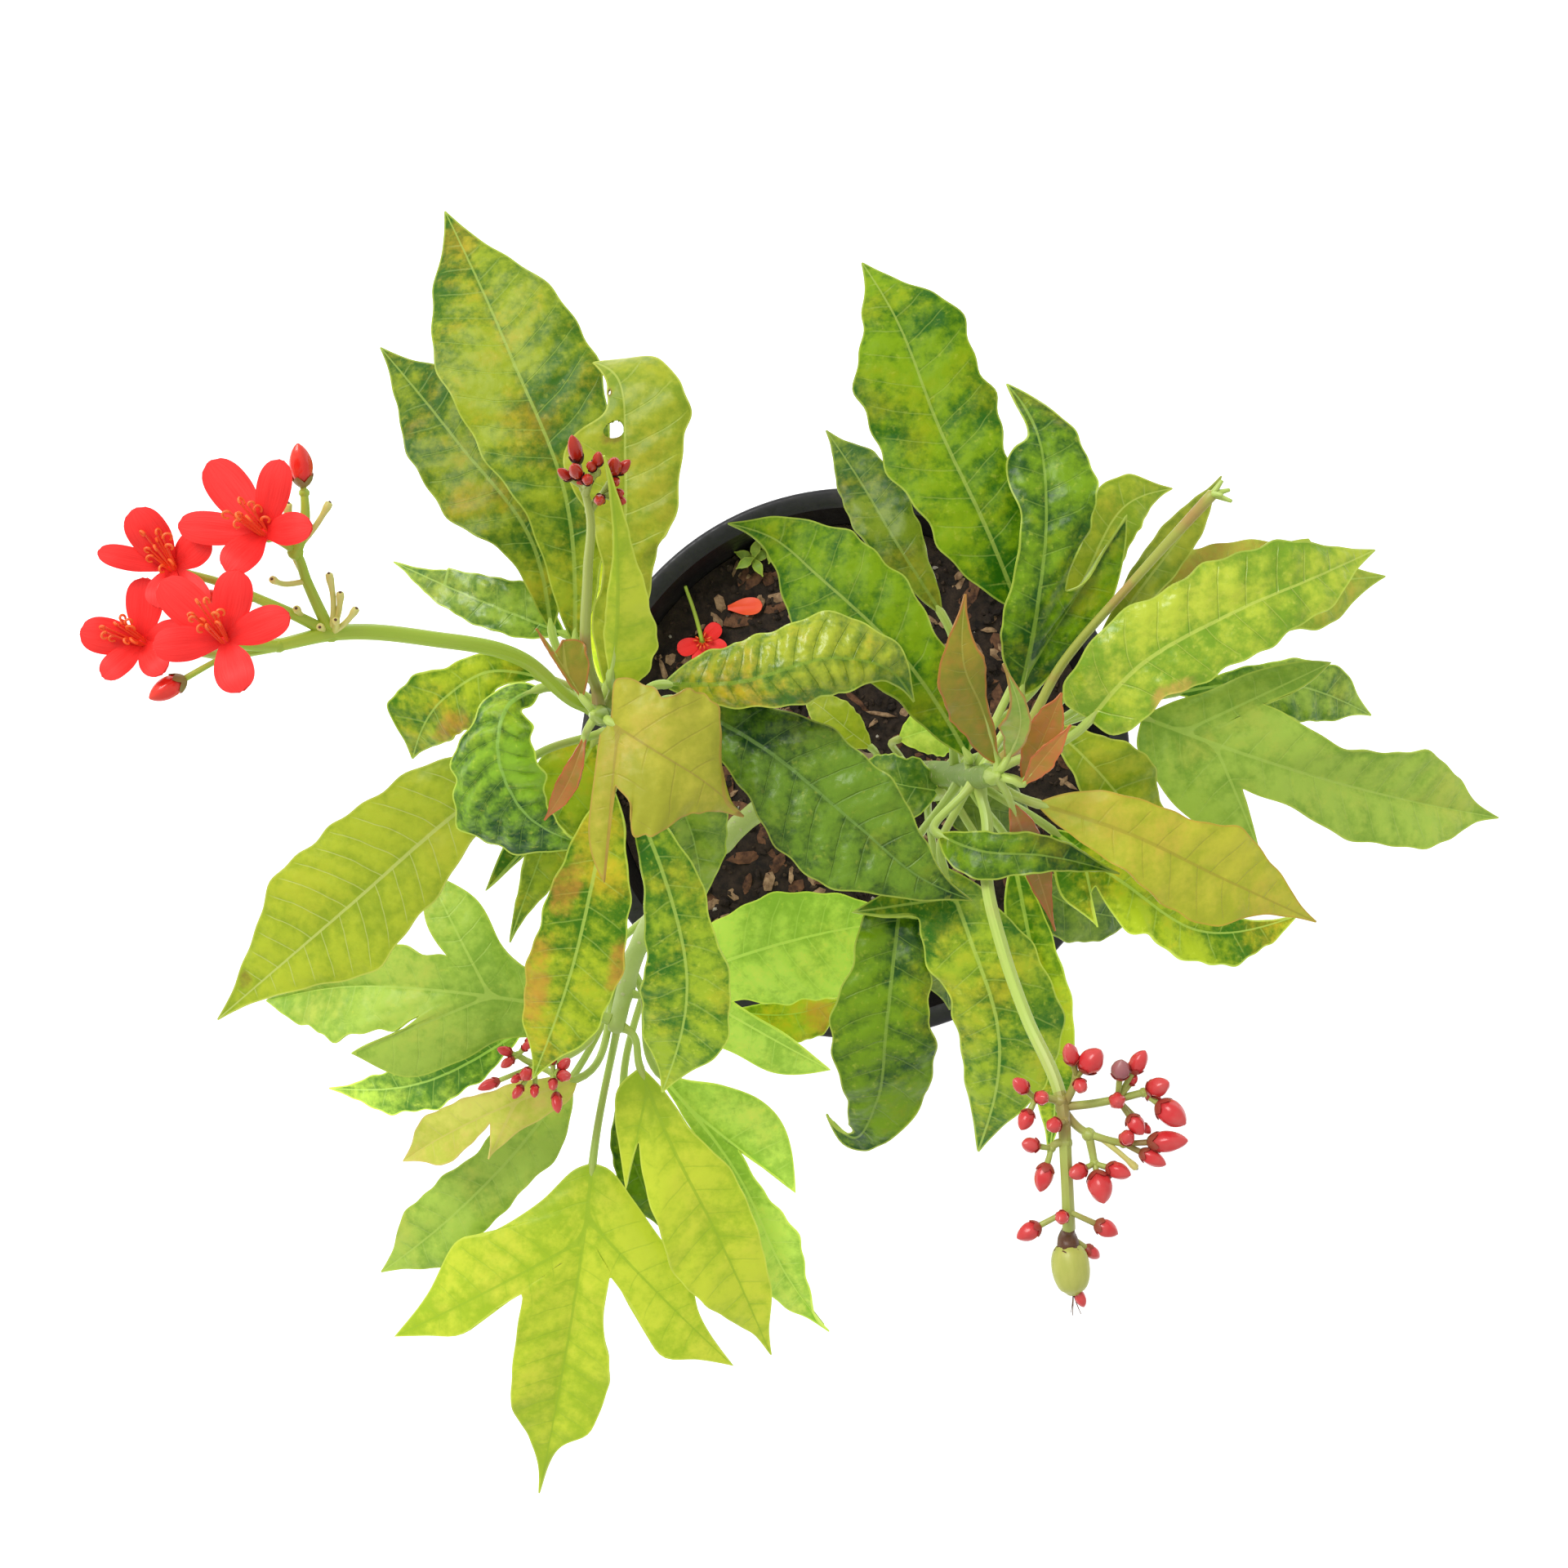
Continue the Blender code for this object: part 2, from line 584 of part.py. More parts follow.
        [(0.03, 4.5, 3.5), (0.08, 12, 7.5), (0.13, 17.5, 13), (0.18, 18, 19), (0.24, 9, 29.5, TIP),
         (0.29, 8, 13), (0.34, 5, -2), (0.45, 4, -1), (0.58, 8, -1.5), (0.7, 8, 0.5), (0.82, 3, 2.5),
         (0.92, -0.5, 1.5)],
        (3.5, 6.5, 8.5, 7.5),
    ),
    "leaf_low_04": (
        "low", 324,
        [(-68, -71, 322), (-42, -60, 326), (-10, -52, 320), (15, -50, 308)],
        (8.5, 14.5, 13.5, 7),
        [(0.04, 7, -1.5), (0.1, 17.5, -1.5), (0.16, 27.5, 2.5), (0.22, 36.5, 6),
         (0.3, 41.5, 17.5, TIP), (0.34, 27.5, 6), (0.38, 19.5, -3.5), (0.42, 12.5, -13.5),
         (0.55, 17.5, -9), (0.7, 19, -4.5), (0.85, 12, -1)],
    ),
    "leaf_low_05": (
        "low", 320,
        [(-93, -75, 324), (-124, -70, 328), (-158, -69, 320), (-187, -75, 306)],
        [(0.03, 7, -2), (0.1, 13, 7.5), (0.17, 21, 11.5), (0.23, 25.5, 20), (0.29, 23.5, 32.5, TIP),
         (0.34, 15.5, 16.5), (0.38, 7.5, 4.5), (0.5, 13.5, 4.5), (0.62, 15, 7), (0.78, 11, 5.5),
         (0.9, 4.5, 4)],
        [(0.03, 6.5, 2), (0.1, 11, 5), (0.16, 17.5, 6), (0.22, 26, 9), (0.28, 34, 18, TIP),
         (0.34, 19.5, 10), (0.4, 10, -4), (0.5, 12.5, -2), (0.7, 8, 3.5), (0.88, 3.5, 2)],
    ),
    "leaf_low_06": (
        "low", 296,
        [(-109, -85, 298), (-139, -101, 300), (-172, -105, 288)],
        (5.5, 8, 8.5, 5),
        (5, 7, 6.5, 3.5),
    ),
    "leaf_low_07": (
        "low", 318,
        [(-88, -95, 333), (-106, -101, 339), (-126, -111, 334), (-141, -121, 324)],
        [(0.04, 4.5, 0.5), (0.12, 7.5, 5), (0.2, 9, 10), (0.3, 13, 13.5, TIP), (0.36, 7.5, 7.5),
         (0.42, 2.5, 2), (0.55, 6, 2.5), (0.7, 7, 4.5), (0.85, 2.5, 3)],
        (4.5, 6, 7.5, 6.5),
    ),
    "leaf_low_08": (
        "low", 308,
        [(-92, -98, 314), (-107, -118, 314), (-129, -141, 307), (-154, -162, 294)],
        (10, 9.5, 10.5, 10),
        (8.5, 9, 11, 9),
    ),
    "leaf_trunk_01": (
        "right", 288,
        [(9, 6, 300), (19, 9, 303), (34, 11, 300)],
        (5.5, 8.5, 8, 4.5),
        (5.5, 8.5, 8, 4.5),
    ),
    "leaf_trunk_02": (
        "low", 284,
        [(-42, -85, 300), (-26, -82, 300), (-8, -76, 292)],
        (3.5, 5.5, 5.5, 3),
        (3.5, 6, 6, 3),
    ),
}

# Folds of the leaves that don't rise to a shallow V, and colours of those not clear green.
LEAF_FOLDS = {
    "leaf_left_05": (0.0, -0.5),
    "leaf_left_08": (-0.5, -0.45),
    "leaf_left_15": (-0.2, -0.3),
}
LEAF_COLOURS = {
    "lime": ("leaf_left_09", "leaf_left_12", "leaf_right_10", "leaf_low_01", "leaf_low_02"),
    "dark_green": ("leaf_left_05", "leaf_left_08", "leaf_left_15", "leaf_right_17", "leaf_trunk_01",
                   "leaf_trunk_02"),
}
# The small or hidden leaves, whose grids have two faces across in place of four.
SMALL_LEAVES = (
    "leaf_left_06", "leaf_left_07", "leaf_left_17", "leaf_right_02", "leaf_right_04", "leaf_right_05",
    "leaf_right_09", "leaf_right_11", "leaf_right_13", "leaf_right_17", "leaf_right_18", "leaf_low_06",
    "leaf_trunk_01", "leaf_trunk_02",
)

# The youngest leaves at each shoot's tip: midrib, left side and right side, as above.
SHOOT_TIPS = {
    "right_shoot_tip": ("right", [
        ([(25, -3, 430), (20, 10, 440), (15, 20, 448), (15, 36, 452)], (5.5, 8, 7, 3), (1.5, 2, 5, 2.5)),
        ([(27, -2, 432), (29, 7, 442), (24, 20, 450)], (3, 5, 2.5, 1), (2, 2.5, 2, 1)),
        ([(32, -7, 424), (36, 3, 430), (41, 14, 434)], (3, 4, 4, 2.5), (1.5, 2.5, 2.5, 1.5)),
        ([(31, -8, 432), (35, -2, 438), (41, 6, 442)], (1, 2, 1.5, 1), (1.5, 2.5, 2, 1)),
        ([(30, -13, 416), (37, -27, 402), (45, -47, 388)], (3.5, 4, 3.5, 1.5), (3, 3.5, 3, 1.5)),
    ]),
    "left_shoot_tip": ("left", [
        ([(-76, 13, 432), (-80, 20, 436), (-86, 29, 440)], (1, 1, 1, 0.5),
         [(0.1, 5, 3), (0.25, 7, 6), (0.4, 3.5, 6.5, TIP), (0.6, -0.5, 1), (0.8, -0.5, 1)]),
        ([(-76, 4, 424), (-79, -5, 424), (-87, -17, 416)], (1.5, 2.5, 2.5, 1.5), (1.5, 2.5, 2.5, 1.5)),
    ]),
}

# Sprays: the shoot and height that carry each, its main stalk as (x, y, z, radius), the
# bare side stalks, and the buds as (x, y, z, radius) beside the point they spring from.
SPRAYS = {
    "spray_buds_left": (
        "left", 422.5,
        [(-75.5, 20, 428, 1.3), (-71.5, 42, 448, 1.4), (-71, 56, 462, 1.3)],
        [],
        [((-71, 55, 461), [(-75, 67, 468, 1.8), (-78, 62, 466, 1.7), (-73, 62, 470, 1.7),
                           (-68, 65, 468, 1.9), (-65, 60, 467, 1.7), (-64, 55, 464, 1.4)])],
    ),
    "spray_flowers": (
        "left", 414,
        [(-79, 12.5, 416, 1.6), (-90, 22, 426, 1.8), (-109, 26, 446, 1.8), (-129.5, 26, 462, 1.7),
         (-140, 23, 467, 1.4), (-150.5, 20.5, 471, 1.2)],
        [[(-129.5, 26, 462), (-134, 37.5, 466), (-135.5, 43.5, 470), (-138.5, 45.8, 474),
          (-139, 46, 476.5)],
         [(-129.5, 26, 462), (-137, 30, 466), (-143.5, 33, 469), (-153, 37, 469), (-159.5, 38.8, 470.5),
          (-160, 39, 472.5)],
         [(-140, 23, 467), (-145, 22.5, 473), (-146, 22.5, 481.5)],
         [(-150.5, 20.5, 471), (-160, 22, 466.5), (-167, 23, 467.5), (-167.5, 23, 469.5)],
         [(-135.5, 43.5, 470), (-133, 49, 472), (-132.5, 56, 474)],
         [(-134, 37.5, 466), (-130.5, 48, 469), (-127.5, 54, 472)],
         [(-129.5, 26, 462), (-128, 33, 466), (-128, 38.5, 470)],
         [(-129.5, 26, 462), (-124.5, 29, 466), (-122.5, 31, 468)]],
        [((-132.5, 56, 474), [(-132.5, 61.5, 477, 2.2)]),
         ((-150.5, 20.5, 471), [(-162, 13, 475.5, 2.1)]),
         ((-143.5, 33, 469), [(-153.5, 33, 474.5, 1.9)])],
    ),
    "spray_buds_right": (
        "right", 396,
        [(25.5, -16, 398, 1.5), (25, -32, 404, 1.6), (27, -48, 420, 1.6), (30, -62, 437, 1.5),
         (35.5, -81, 450, 1.4), (38.5, -97, 451, 1.3), (39.5, -112, 448, 1.2)],
        [[(35.5, -81, 450), (46, -79, 451), (55, -83, 451)],
         [(38.5, -97, 451), (47, -97, 450), (54, -97, 450)]],
        [((39.5, -112, 448), [(40.8, -121, 446, 4.6)]),
         ((32.5, -70, 442.5), [(39, -71, 453, 1.7), (28, -77, 452, 1.6)]),
         ((46, -79, 451), [(44, -71, 454, 2.4), (51, -74, 455, 1.8), (50, -83, 455, 1.7)]),
         ((55, -83, 451), [(60, -77, 454, 1.9), (63, -84, 455, 2.4), (61, -91, 454, 2.3),
                           (55, -89, 455, 1.8)]),
         ((37, -88, 450), [(29, -86, 453, 1.8), (30, -92, 452, 1.8), (44, -89, 454, 1.7)]),
         ((38.5, -97, 451), [(33, -99, 453, 1.8), (46, -101, 454, 2.4)]),
         ((39.5, -106, 450), [(30, -112, 452, 1.7), (47.5, -111, 452, 1.8)])],
    ),
    "spray_buds_low": (
        "low", 332,
        [(-84, -82.5, 339, 1.5), (-91, -87, 344, 1.3), (-98, -88.5, 349, 1.2)],
        [],
        [((-98, -88.5, 349), [(-109.5, -82.5, 357, 1.8), (-105.5, -87, 359, 1.7), (-99, -81, 357, 1.7),
                              (-111.5, -92, 356, 1.8), (-102.5, -95.5, 357, 1.8),
                              (-97.5, -95, 358, 1.7)]),
         ((-91, -87, 344), [(-91, -98, 353, 1.7), (-92.5, -82, 353, 1.6), (-90, -92, 355, 1.7)])],
    ),
}

# Flowers: the throat's place, the stamens' lean, and each petal's tip with its half width.
FLOWERS = {
    "flower_1": ((-139, 46, 482), (-0.6, 0.7), [
        (-151, 61.5, 482, 4.6), (-134, 61, 487, 3.7), (-127, 46.5, 489, 3.5), (-145, 37, 489, 3.8),
        (-157, 47.5, 484, 3.6)]),
    "flower_2": ((-160, 39, 478), (-0.35, 0.8), [
        (-166.5, 51, 484, 4.4), (-175, 42, 482, 2.6), (-162, 30, 482, 3.6), (-152, 30, 481, 3.4),
        (-151.5, 45.5, 481, 3.8)]),
    "flower_3": ((-167.5, 23, 475), (-0.7, 0.5), [
        (-179.5, 25, 480, 4.0), (-174.5, 15, 480, 2.9), (-161.5, 16, 480, 3.4), (-157, 25, 478, 3.6),
        (-166.5, 37, 477, 4.0)]),
    "flower_4": ((-146, 22.5, 487), (-0.4, 0.8), [
        (-159, 35, 489, 4.4), (-142, 37, 491, 4.2), (-131, 27.5, 492, 3.7), (-141, 11.5, 492, 4.3),
        (-160, 21, 491, 3.8)]),
}

# The dropped flower's place, its petals' tips and half widths, and its stalk, all from
# its throat; and the midrib of the dropped petal.
FALLEN_FLOWER = (-59, 48)
FALLEN_PETALS = [(-1, -9, 1.6, 2.6), (8, -4, 2.2, 2.8), (6, 6, 2.8, 2.6), (-8, -4, 2.4, 2.8)]
FALLEN_STALK = [(0, 0, 1.6), (-2, 8, 4.0), (-6, 20, 12.0)]
FALLEN_PETAL = [(-46, 57), (-42, 61.5), (-38, 67)]


def shoot_axis(shoot, height):
    """The point of a shoot's axis at a height, its direction and its radius there."""
    rows = SHOOTS[shoot]
    for low, high in zip(rows[:-1], rows[1:]):
        if height <= high[2] or high is rows[-1]:
            share = (height - low[2]) / (high[2] - low[2])
            a = Vector(low[:3])
            b = Vector(high[:3])
            return a.lerp(b, share), (b - a).normalized(), low[3] + (high[3] - low[3]) * share


def leave_stem(shoot, height, towards):
    """Where a stalk starts beside a shoot, a gap off its bark, and which way it sets out."""
    axis, direction, radius = shoot_axis(shoot, height)
    away = Vector(towards) - axis
    away -= direction * away.dot(direction)
    away.normalize()
    return axis + away * (radius + GAP), away


def stalk_path(start, away, end, arrival, count):
    """A cubic from the stem to the blade, square to the bark and in line with the rib."""
    reach = (end - start).length
    first = start + away * reach * STALK_BOW
    second = end - arrival * reach * STALK_BOW
    points = []
    for i in range(count):
        t = i / (count - 1)
        near = (1 - t)**3 * start + 3 * t * (1 - t)**2 * first
        points.append(near + 3 * t**2 * (1 - t) * second + t**3 * end)
    return points


def leaf(name, shoot, height, rib, left, right, fold, across):
    """A blade joined to its stalk, which ends beside the stem."""
    surface = blade(name, rib, left, right, fold, across)
    inside, _ = rib_at(rib, np.array([0.0, 0.07]))
    base = Vector(inside[0])
    sunk = Vector(inside[1])
    start, away = leave_stem(shoot, height, base)
    arrival = (sunk - base).normalized()
    path = [start] + stalk_path(start + away * STALK_HEEL, away, base, arrival, 4) + [sunk]
    radii = [STALK_RADIUS * 1.15] * 2 + [STALK_RADIUS] * 3 + [STALK_RADIUS * 0.6]
    stalk = tube(name + "_stalk", path, radii)
    return combine(surface, [stalk])


def bud(name, root, tip, radius):
    """A pointed six-sided bud from its root to its tip."""
    root = Vector(root)
    tip = Vector(tip)
    work = bmesh.new()
    bmesh.ops.create_uvsphere(work, u_segments=6, v_segments=3, radius=1.0)
    length = (tip - root).length / 2.0
    turn = (tip - root).to_track_quat("Z", "Y").to_matrix().to_4x4()
    scale = Matrix.Diagonal((radius, radius, length, 1.0))
    bmesh.ops.transform(work, matrix=turn @ scale, verts=work.verts)
    middle = (root + tip) / 2.0
    for vertex in work.verts:
        vertex.co = (vertex.co + middle) * MM
    return add(name, mesh_from(work, name))


def cutter(name, radius, sides, centre, depth):
    """An upright cylinder, in the cutters' collection, round a centre in millimetres."""
    work = bmesh.new()
    bmesh.ops.create_cone(work, cap_ends=True, segments=sides, radius1=radius * MM, radius2=radius * MM,
                          depth=depth * MM)
    bmesh.ops.translate(work, vec=Vector(centre) * MM, verts=work.verts)
    thing = add(name, mesh_from(work, name), cutters)
    thing.hide_render = True
    thing.display_type = "WIRE"
    return thing


# The pot: a thin wall with a wide lip and a deeper band under it, and a flat base.
band_foot = POT_HEIGHT - BAND_HEIGHT
wall_top = RIM_RADIUS - LIP_WIDTH


def inner_radius(height):
    """The pot's inner radius at a height in millimetres."""
    share = (height - POT_FLOOR) / (POT_HEIGHT - POT_FLOOR)
    return BASE_RADIUS - POT_WALL + share * (wall_top - BASE_RADIUS)


pot_profile = [
    (0.0, POT_FLOOR), (inner_radius(POT_FLOOR), POT_FLOOR), (inner_radius(POT_HEIGHT), POT_HEIGHT),
    (RIM_RADIUS - 1.5, POT_HEIGHT), (RIM_RADIUS, POT_HEIGHT - 1.5), (RIM_RADIUS - 0.8, band_foot),
    (RIM_RADIUS - 3.0, band_foot - 1.0), (inner_radius(band_foot) + POT_WALL, band_foot - 2.0),
    (BASE_RADIUS, POT_FLOOR), (BASE_RADIUS - 2.0, 0.0), (0.0, 0.0),
]
pot = turned("pot", pot_profile, POT_STEPS)
holes = []
for i in range(DRAIN_HOLES):
    turn = math.tau * (i + 0.5) / DRAIN_HOLES
    centre = (DRAIN_CIRCLE * math.cos(turn), DRAIN_CIRCLE * math.sin(turn), 0.0)
    holes.append(cutter("drain_hole", DRAIN_HOLE_RADIUS, 8, centre, 20.0))
dress(combine(pot, holes, "DIFFERENCE"), "pot_black")


# The soil: a plug that fills the pot, lumpy on top, with a plain hole for the trunk.
def soil_height(x, y):
    """Height of the soil's top, a few low lumps, in millimetres."""
    lumps = math.sin(x / 13.0 + 1.0) * math.cos(y / 11.0) + 0.6 * math.sin((x + y) / 19.0)
    return SOIL_TOP + SOIL_LUMP * lumps


soil_foot = POT_FLOOR + GAP
soil_edge = inner_radius(SOIL_TOP) - GAP
soil_profile = [(radius, SOIL_TOP) for radius in (0.0, *SOIL_RINGS, soil_edge)]
soil_profile += [(inner_radius(soil_foot) - GAP, soil_foot), (0.0, soil_foot)]
soil = turned("soil", soil_profile, POT_STEPS)
for vertex in soil.data.vertices:
    place = vertex.co / MM
    inward = soil_edge - math.hypot(place.x, place.y)
    if place.z > SOIL_TOP - GAP and inward > GAP:
        vertex.co.z = soil_height(place.x, place.y) * MM
hole_middle = SHOOTS["left"][0][2] - GAP + 0.5 * TRUNK_HOLE_DEPTH
trunk_hole = cutter("trunk_hole", TRUNK_HOLE_RADIUS, 12, (0.0, 0.0, hole_middle), TRUNK_HOLE_DEPTH)
soil = dress(combine(soil, [trunk_hole], "DIFFERENCE"), "soil_brown")


# The woody stems: three shoots from one trunk, and the spent flower stalk on the right one.
limbs = []
for shoot, rows in SHOOTS.items():
    limbs.append(tube("stems", [row[:3] for row in rows], [row[3] for row in rows], EIGHT_SIDED))
limbs.append(tube("spent_stalk", [row[:3] for row in SPENT_STALK], [row[3] for row in SPENT_STALK]))
for place in SPENT_BRACTS:
    limbs.append(tube("bract", [SPENT_STALK[-1][:3], place], [1.0, 0.5]))
stems = combine(limbs[0], limbs[1:])
stems.name = "stems"
dress(stems, "bark")


# The leaves, each on its own stalk.
for name, (shoot, height, rib, left, right) in LEAVES.items():
    lobed = isinstance(left, list) or isinstance(right, list)
    across = 2 if lobed or name in SMALL_LEAVES else 4
    finished = leaf(name, shoot, height, rib, left, right, LEAF_FOLDS.get(name, FOLD), across)
    colours = [colour for colour, names in LEAF_COLOURS.items() if name in names]
    dress(finished, *(colours or ["clear_green"]))


# The youngest leaves at each shoot's tip, on a short core that stands a gap above the wood.
for name, (shoot, members) in SHOOT_TIPS.items():
    top = Vector(SHOOTS[shoot][-1][:3])
    direction = shoot_axis(shoot, top.z)[1]
    heights = (GAP, 4.0, 9.0)
    core = tube(name, [top + direction * height for height in heights], [2.4, 2.2, 0.6], SIX_SIDED)
    pieces = []
    for i, (rib, left, right) in enumerate(members):
        pieces.append(blade(f"{name}_{i}", rib, left, right, YOUNG_FOLD, 2))
        base = Vector(rib[0])
        inside, _ = rib_at(rib, np.array([0.1]))
        root = top + direction * (2.5 + 0.9 * i)
        bend = root.lerp(base, 0.6) + Vector((0.0, 0.0, 2.0))
        pieces.append(tube(f"{name}_stalk_{i}", [root, bend, base, Vector(inside[0])], [1.2, 1.0, 0.9, 0.5]))
    dress(combine(core, pieces), "bronze")


# The sprays: a main stalk, bare side stalks, and buds on stalks of their own.
for name, (shoot, height, main, side_stalks, clusters) in SPRAYS.items():
    start, away = leave_stem(shoot, height, Vector(main[0][:3]))
    path = [start, start + away * 3.0] + [Vector(row[:3]) for row in main]
    radii = [main[0][3]] * 2 + [row[3] for row in main]
    spray = tube(name, path, radii, SIX_SIDED)
    pieces = []
    for route in side_stalks:
        pieces.append(tube("side_stalk", route, [SIDE_STALK_RADIUS] * len(route)))
    for fork, buds in clusters:
        root = Vector(fork)
        for x, y, z, radius in buds:
            middle = Vector((x, y, z))
            way = (middle - root).normalized()
            half = 0.5 * BUD_LENGTH * max(1.0, radius / 2.6)
            pieces.append(bud("bud", middle - way * half, middle + way * half, radius))
            pieces.append(tube("bud_stalk", [root, middle - way * half * 0.6], [BUD_STALK_RADIUS] * 2))
    dress(combine(spray, pieces), "clear_green" if name == "spray_flowers" else "bud_red")


# The open flowers, each a throat with five petals and a tuft of stamens.
def petal(name, throat, tip, half_width):
    """A rounded petal that climbs out of the throat and levels off towards its tip."""
    away = tip - throat
    flat = Vector((away.x, away.y, 0.0))
    rib = [throat + flat * 0.06, throat + flat * 0.36 + Vector((0.0, 0.0, away.z * 0.55)),
           throat + flat * 0.72 + Vector((0.0, 0.0, away.z * 0.95)), tip]
    side = [(0.32, 0.75 * half_width, 0.0), (0.62, half_width, 0.0), (0.86, 0.8 * half_width, 0.0),
            (1.0, 0.3 * half_width, 0.0)]
    return blade(name, rib, side, side, FOLD, 2)


def flower(name, throat, lean, tips, depth=THROAT_DEPTH):
    """Petals, throat and stamens joined in one piece."""
    foot = throat - Vector((0.0, 0.0, depth))
    lip = throat + Vector((0.0, 0.0, BLADE_THICKNESS))
    bloom = tube(name, [foot, throat, lip], [0.9, THROAT_RADIUS, THROAT_RADIUS], SIX_SIDED)
    pieces = []
    for x, y, z, half_width in tips:
        pieces.append(petal("petal", throat, Vector((x, y, z)), half_width))
    for i in range(STAMENS):
        turn = math.tau * i / STAMENS
        spread = Vector((math.cos(turn), math.sin(turn), 0.0)) * 2.0
        end = throat + Vector((lean[0], lean[1], 1.1)) * STAMEN_LENGTH * (0.7 + 0.08 * i) + spread
        pieces.append(tube("stamen", [throat, end], [STAMEN_RADIUS] * 2))
    return combine(bloom, pieces)


for name, (place, lean, tips) in FLOWERS.items():
    dress(flower(name, Vector(place), lean, tips), "petal_red")


# A flower and a petal that have dropped on the soil.
def ground_under(x, y):
    """Height of the soil's surface in millimetres under a point."""
    above = Vector((x, y, POT_HEIGHT)) * MM
    return soil.ray_cast(above, Vector((0.0, 0.0, -1.0)))[1].z / MM


x, y = FALLEN_FLOWER
depth = 1.4
rest = Vector((x, y, ground_under(x, y) + GAP + depth))
tips = [(rest.x + dx, rest.y + dy, rest.z + dz, half) for dx, dy, dz, half in FALLEN_PETALS]
fallen = flower("fallen_flower", rest, (0.1, -0.1), tips, depth)
stalk = tube("fallen_stalk", [rest + Vector(step) for step in FALLEN_STALK], [0.9, 0.8, 0.7])
dress(combine(fallen, [stalk]), "petal_red")

level = max(ground_under(x, y) for x, y in FALLEN_PETAL) + GAP + BLADE_THICKNESS
rib = [(x, y, level) for x, y in FALLEN_PETAL]
side = (2.5, 3.2, 3.2, 2.5)
dress(blade("fallen_petal", rib, side, side, FOLD, 2), "petal_red")
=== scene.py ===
"""A potted jatropha, looked down on from above.

Sizes are in millimetres and MM turns them into metres. +X is the right of the picture,
+Y its top, and +Z points up at the camera. The file follows the plant as it is put
together: the room, the pot, the soil, the woody stems, the leaves on their stalks, the
young tips, the flower stalks with their buds, the open flowers, and what has dropped.
"""

import bmesh
import bpy
import numpy as np
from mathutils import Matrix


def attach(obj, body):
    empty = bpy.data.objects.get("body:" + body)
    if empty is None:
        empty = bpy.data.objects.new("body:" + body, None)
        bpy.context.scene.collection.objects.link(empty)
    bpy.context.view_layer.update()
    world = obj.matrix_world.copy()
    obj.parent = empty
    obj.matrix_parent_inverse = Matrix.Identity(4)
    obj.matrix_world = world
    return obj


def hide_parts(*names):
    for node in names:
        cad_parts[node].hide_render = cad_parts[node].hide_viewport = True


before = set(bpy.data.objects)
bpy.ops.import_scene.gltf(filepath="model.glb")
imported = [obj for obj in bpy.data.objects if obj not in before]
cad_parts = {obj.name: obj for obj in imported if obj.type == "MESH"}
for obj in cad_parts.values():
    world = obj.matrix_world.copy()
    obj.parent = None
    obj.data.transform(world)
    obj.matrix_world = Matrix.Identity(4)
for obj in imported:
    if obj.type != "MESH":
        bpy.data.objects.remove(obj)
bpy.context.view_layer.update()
MM = 0.001


# The room: a white studio with a wide pale floor and soft light from all round.
# A large lamp hangs above and to one side, so the blades show a broad soft gloss.
# The camera looks straight down on the pot.
def paint(red, green, blue):
    """A colour of 0 to 255 steps a channel made linear: each share to the power 2.2."""
    return tuple((step / 255.0) ** 2.2 for step in (red, green, blue)) + (1.0,)


def fit(tree, kind, sockets=None, **settings):
    """A new node of that kind; each socket named is given a value or another node's output."""
    made = tree.nodes.new("ShaderNode" + kind)
    for key, value in settings.items():
        setattr(made, key, value)
    for key, value in (sockets or {}).items():
        if isinstance(value, bpy.types.NodeSocket):
            tree.links.new(value, made.inputs[key])
        else:
            made.inputs[key].default_value = value
    return made


def blank_finish(name, **sockets):
    """A material with a Principled shader whose sockets hold the given plain values."""
    made = bpy.data.materials.new(name)
    made.use_nodes = True
    shader = made.node_tree.nodes["Principled BSDF"]
    for key, value in sockets.items():
        shader.inputs[key.replace("_", " ")].default_value = value
    return made.node_tree, made


camera_lens = bpy.data.cameras.new("camera")
camera_lens.lens = 43.125
camera_lens.sensor_width = 36.0
camera = bpy.data.objects.new("camera", camera_lens)
camera.location = (-0.027, -0.008, 0.887)
bpy.context.scene.collection.objects.link(camera)
bpy.context.scene.camera = camera
bpy.context.scene.view_settings.view_transform = "Standard"

lamp_shape = bpy.data.lights.new("overhead_lamp", "AREA")
lamp_shape.shape = "DISK"
lamp_shape.size = 0.9
lamp_shape.energy = 17.0
lamp = bpy.data.objects.new("overhead_lamp", lamp_shape)
lamp.location = (-0.75, 0.85, 1.55)
lamp.rotation_euler = (-0.60, -0.55, 0.0)
bpy.context.scene.collection.objects.link(lamp)

room = bpy.data.worlds.new("white_room")
room.use_nodes = True
room.node_tree.nodes["Background"].inputs["Color"].default_value = (1.0, 1.0, 1.0, 1.0)
room.node_tree.nodes["Background"].inputs["Strength"].default_value = 0.72
bpy.context.scene.world = room

floor_mesh = bpy.data.meshes.new("floor")
floor_mesh.from_pydata([(-4, -4, 0), (4, -4, 0), (4, 4, 0), (-4, 4, 0)], [], [(0, 1, 2, 3)])
floor = bpy.data.objects.new("floor", floor_mesh)
bpy.context.scene.collection.objects.link(floor)
floor_mesh.materials.append(blank_finish("lit_floor", Base_Color=(0.9, 0.9, 0.9, 1.0), Roughness=0.9,
                                         Emission_Color=(1.0, 1.0, 1.0, 1.0), Emission_Strength=0.6)[1])


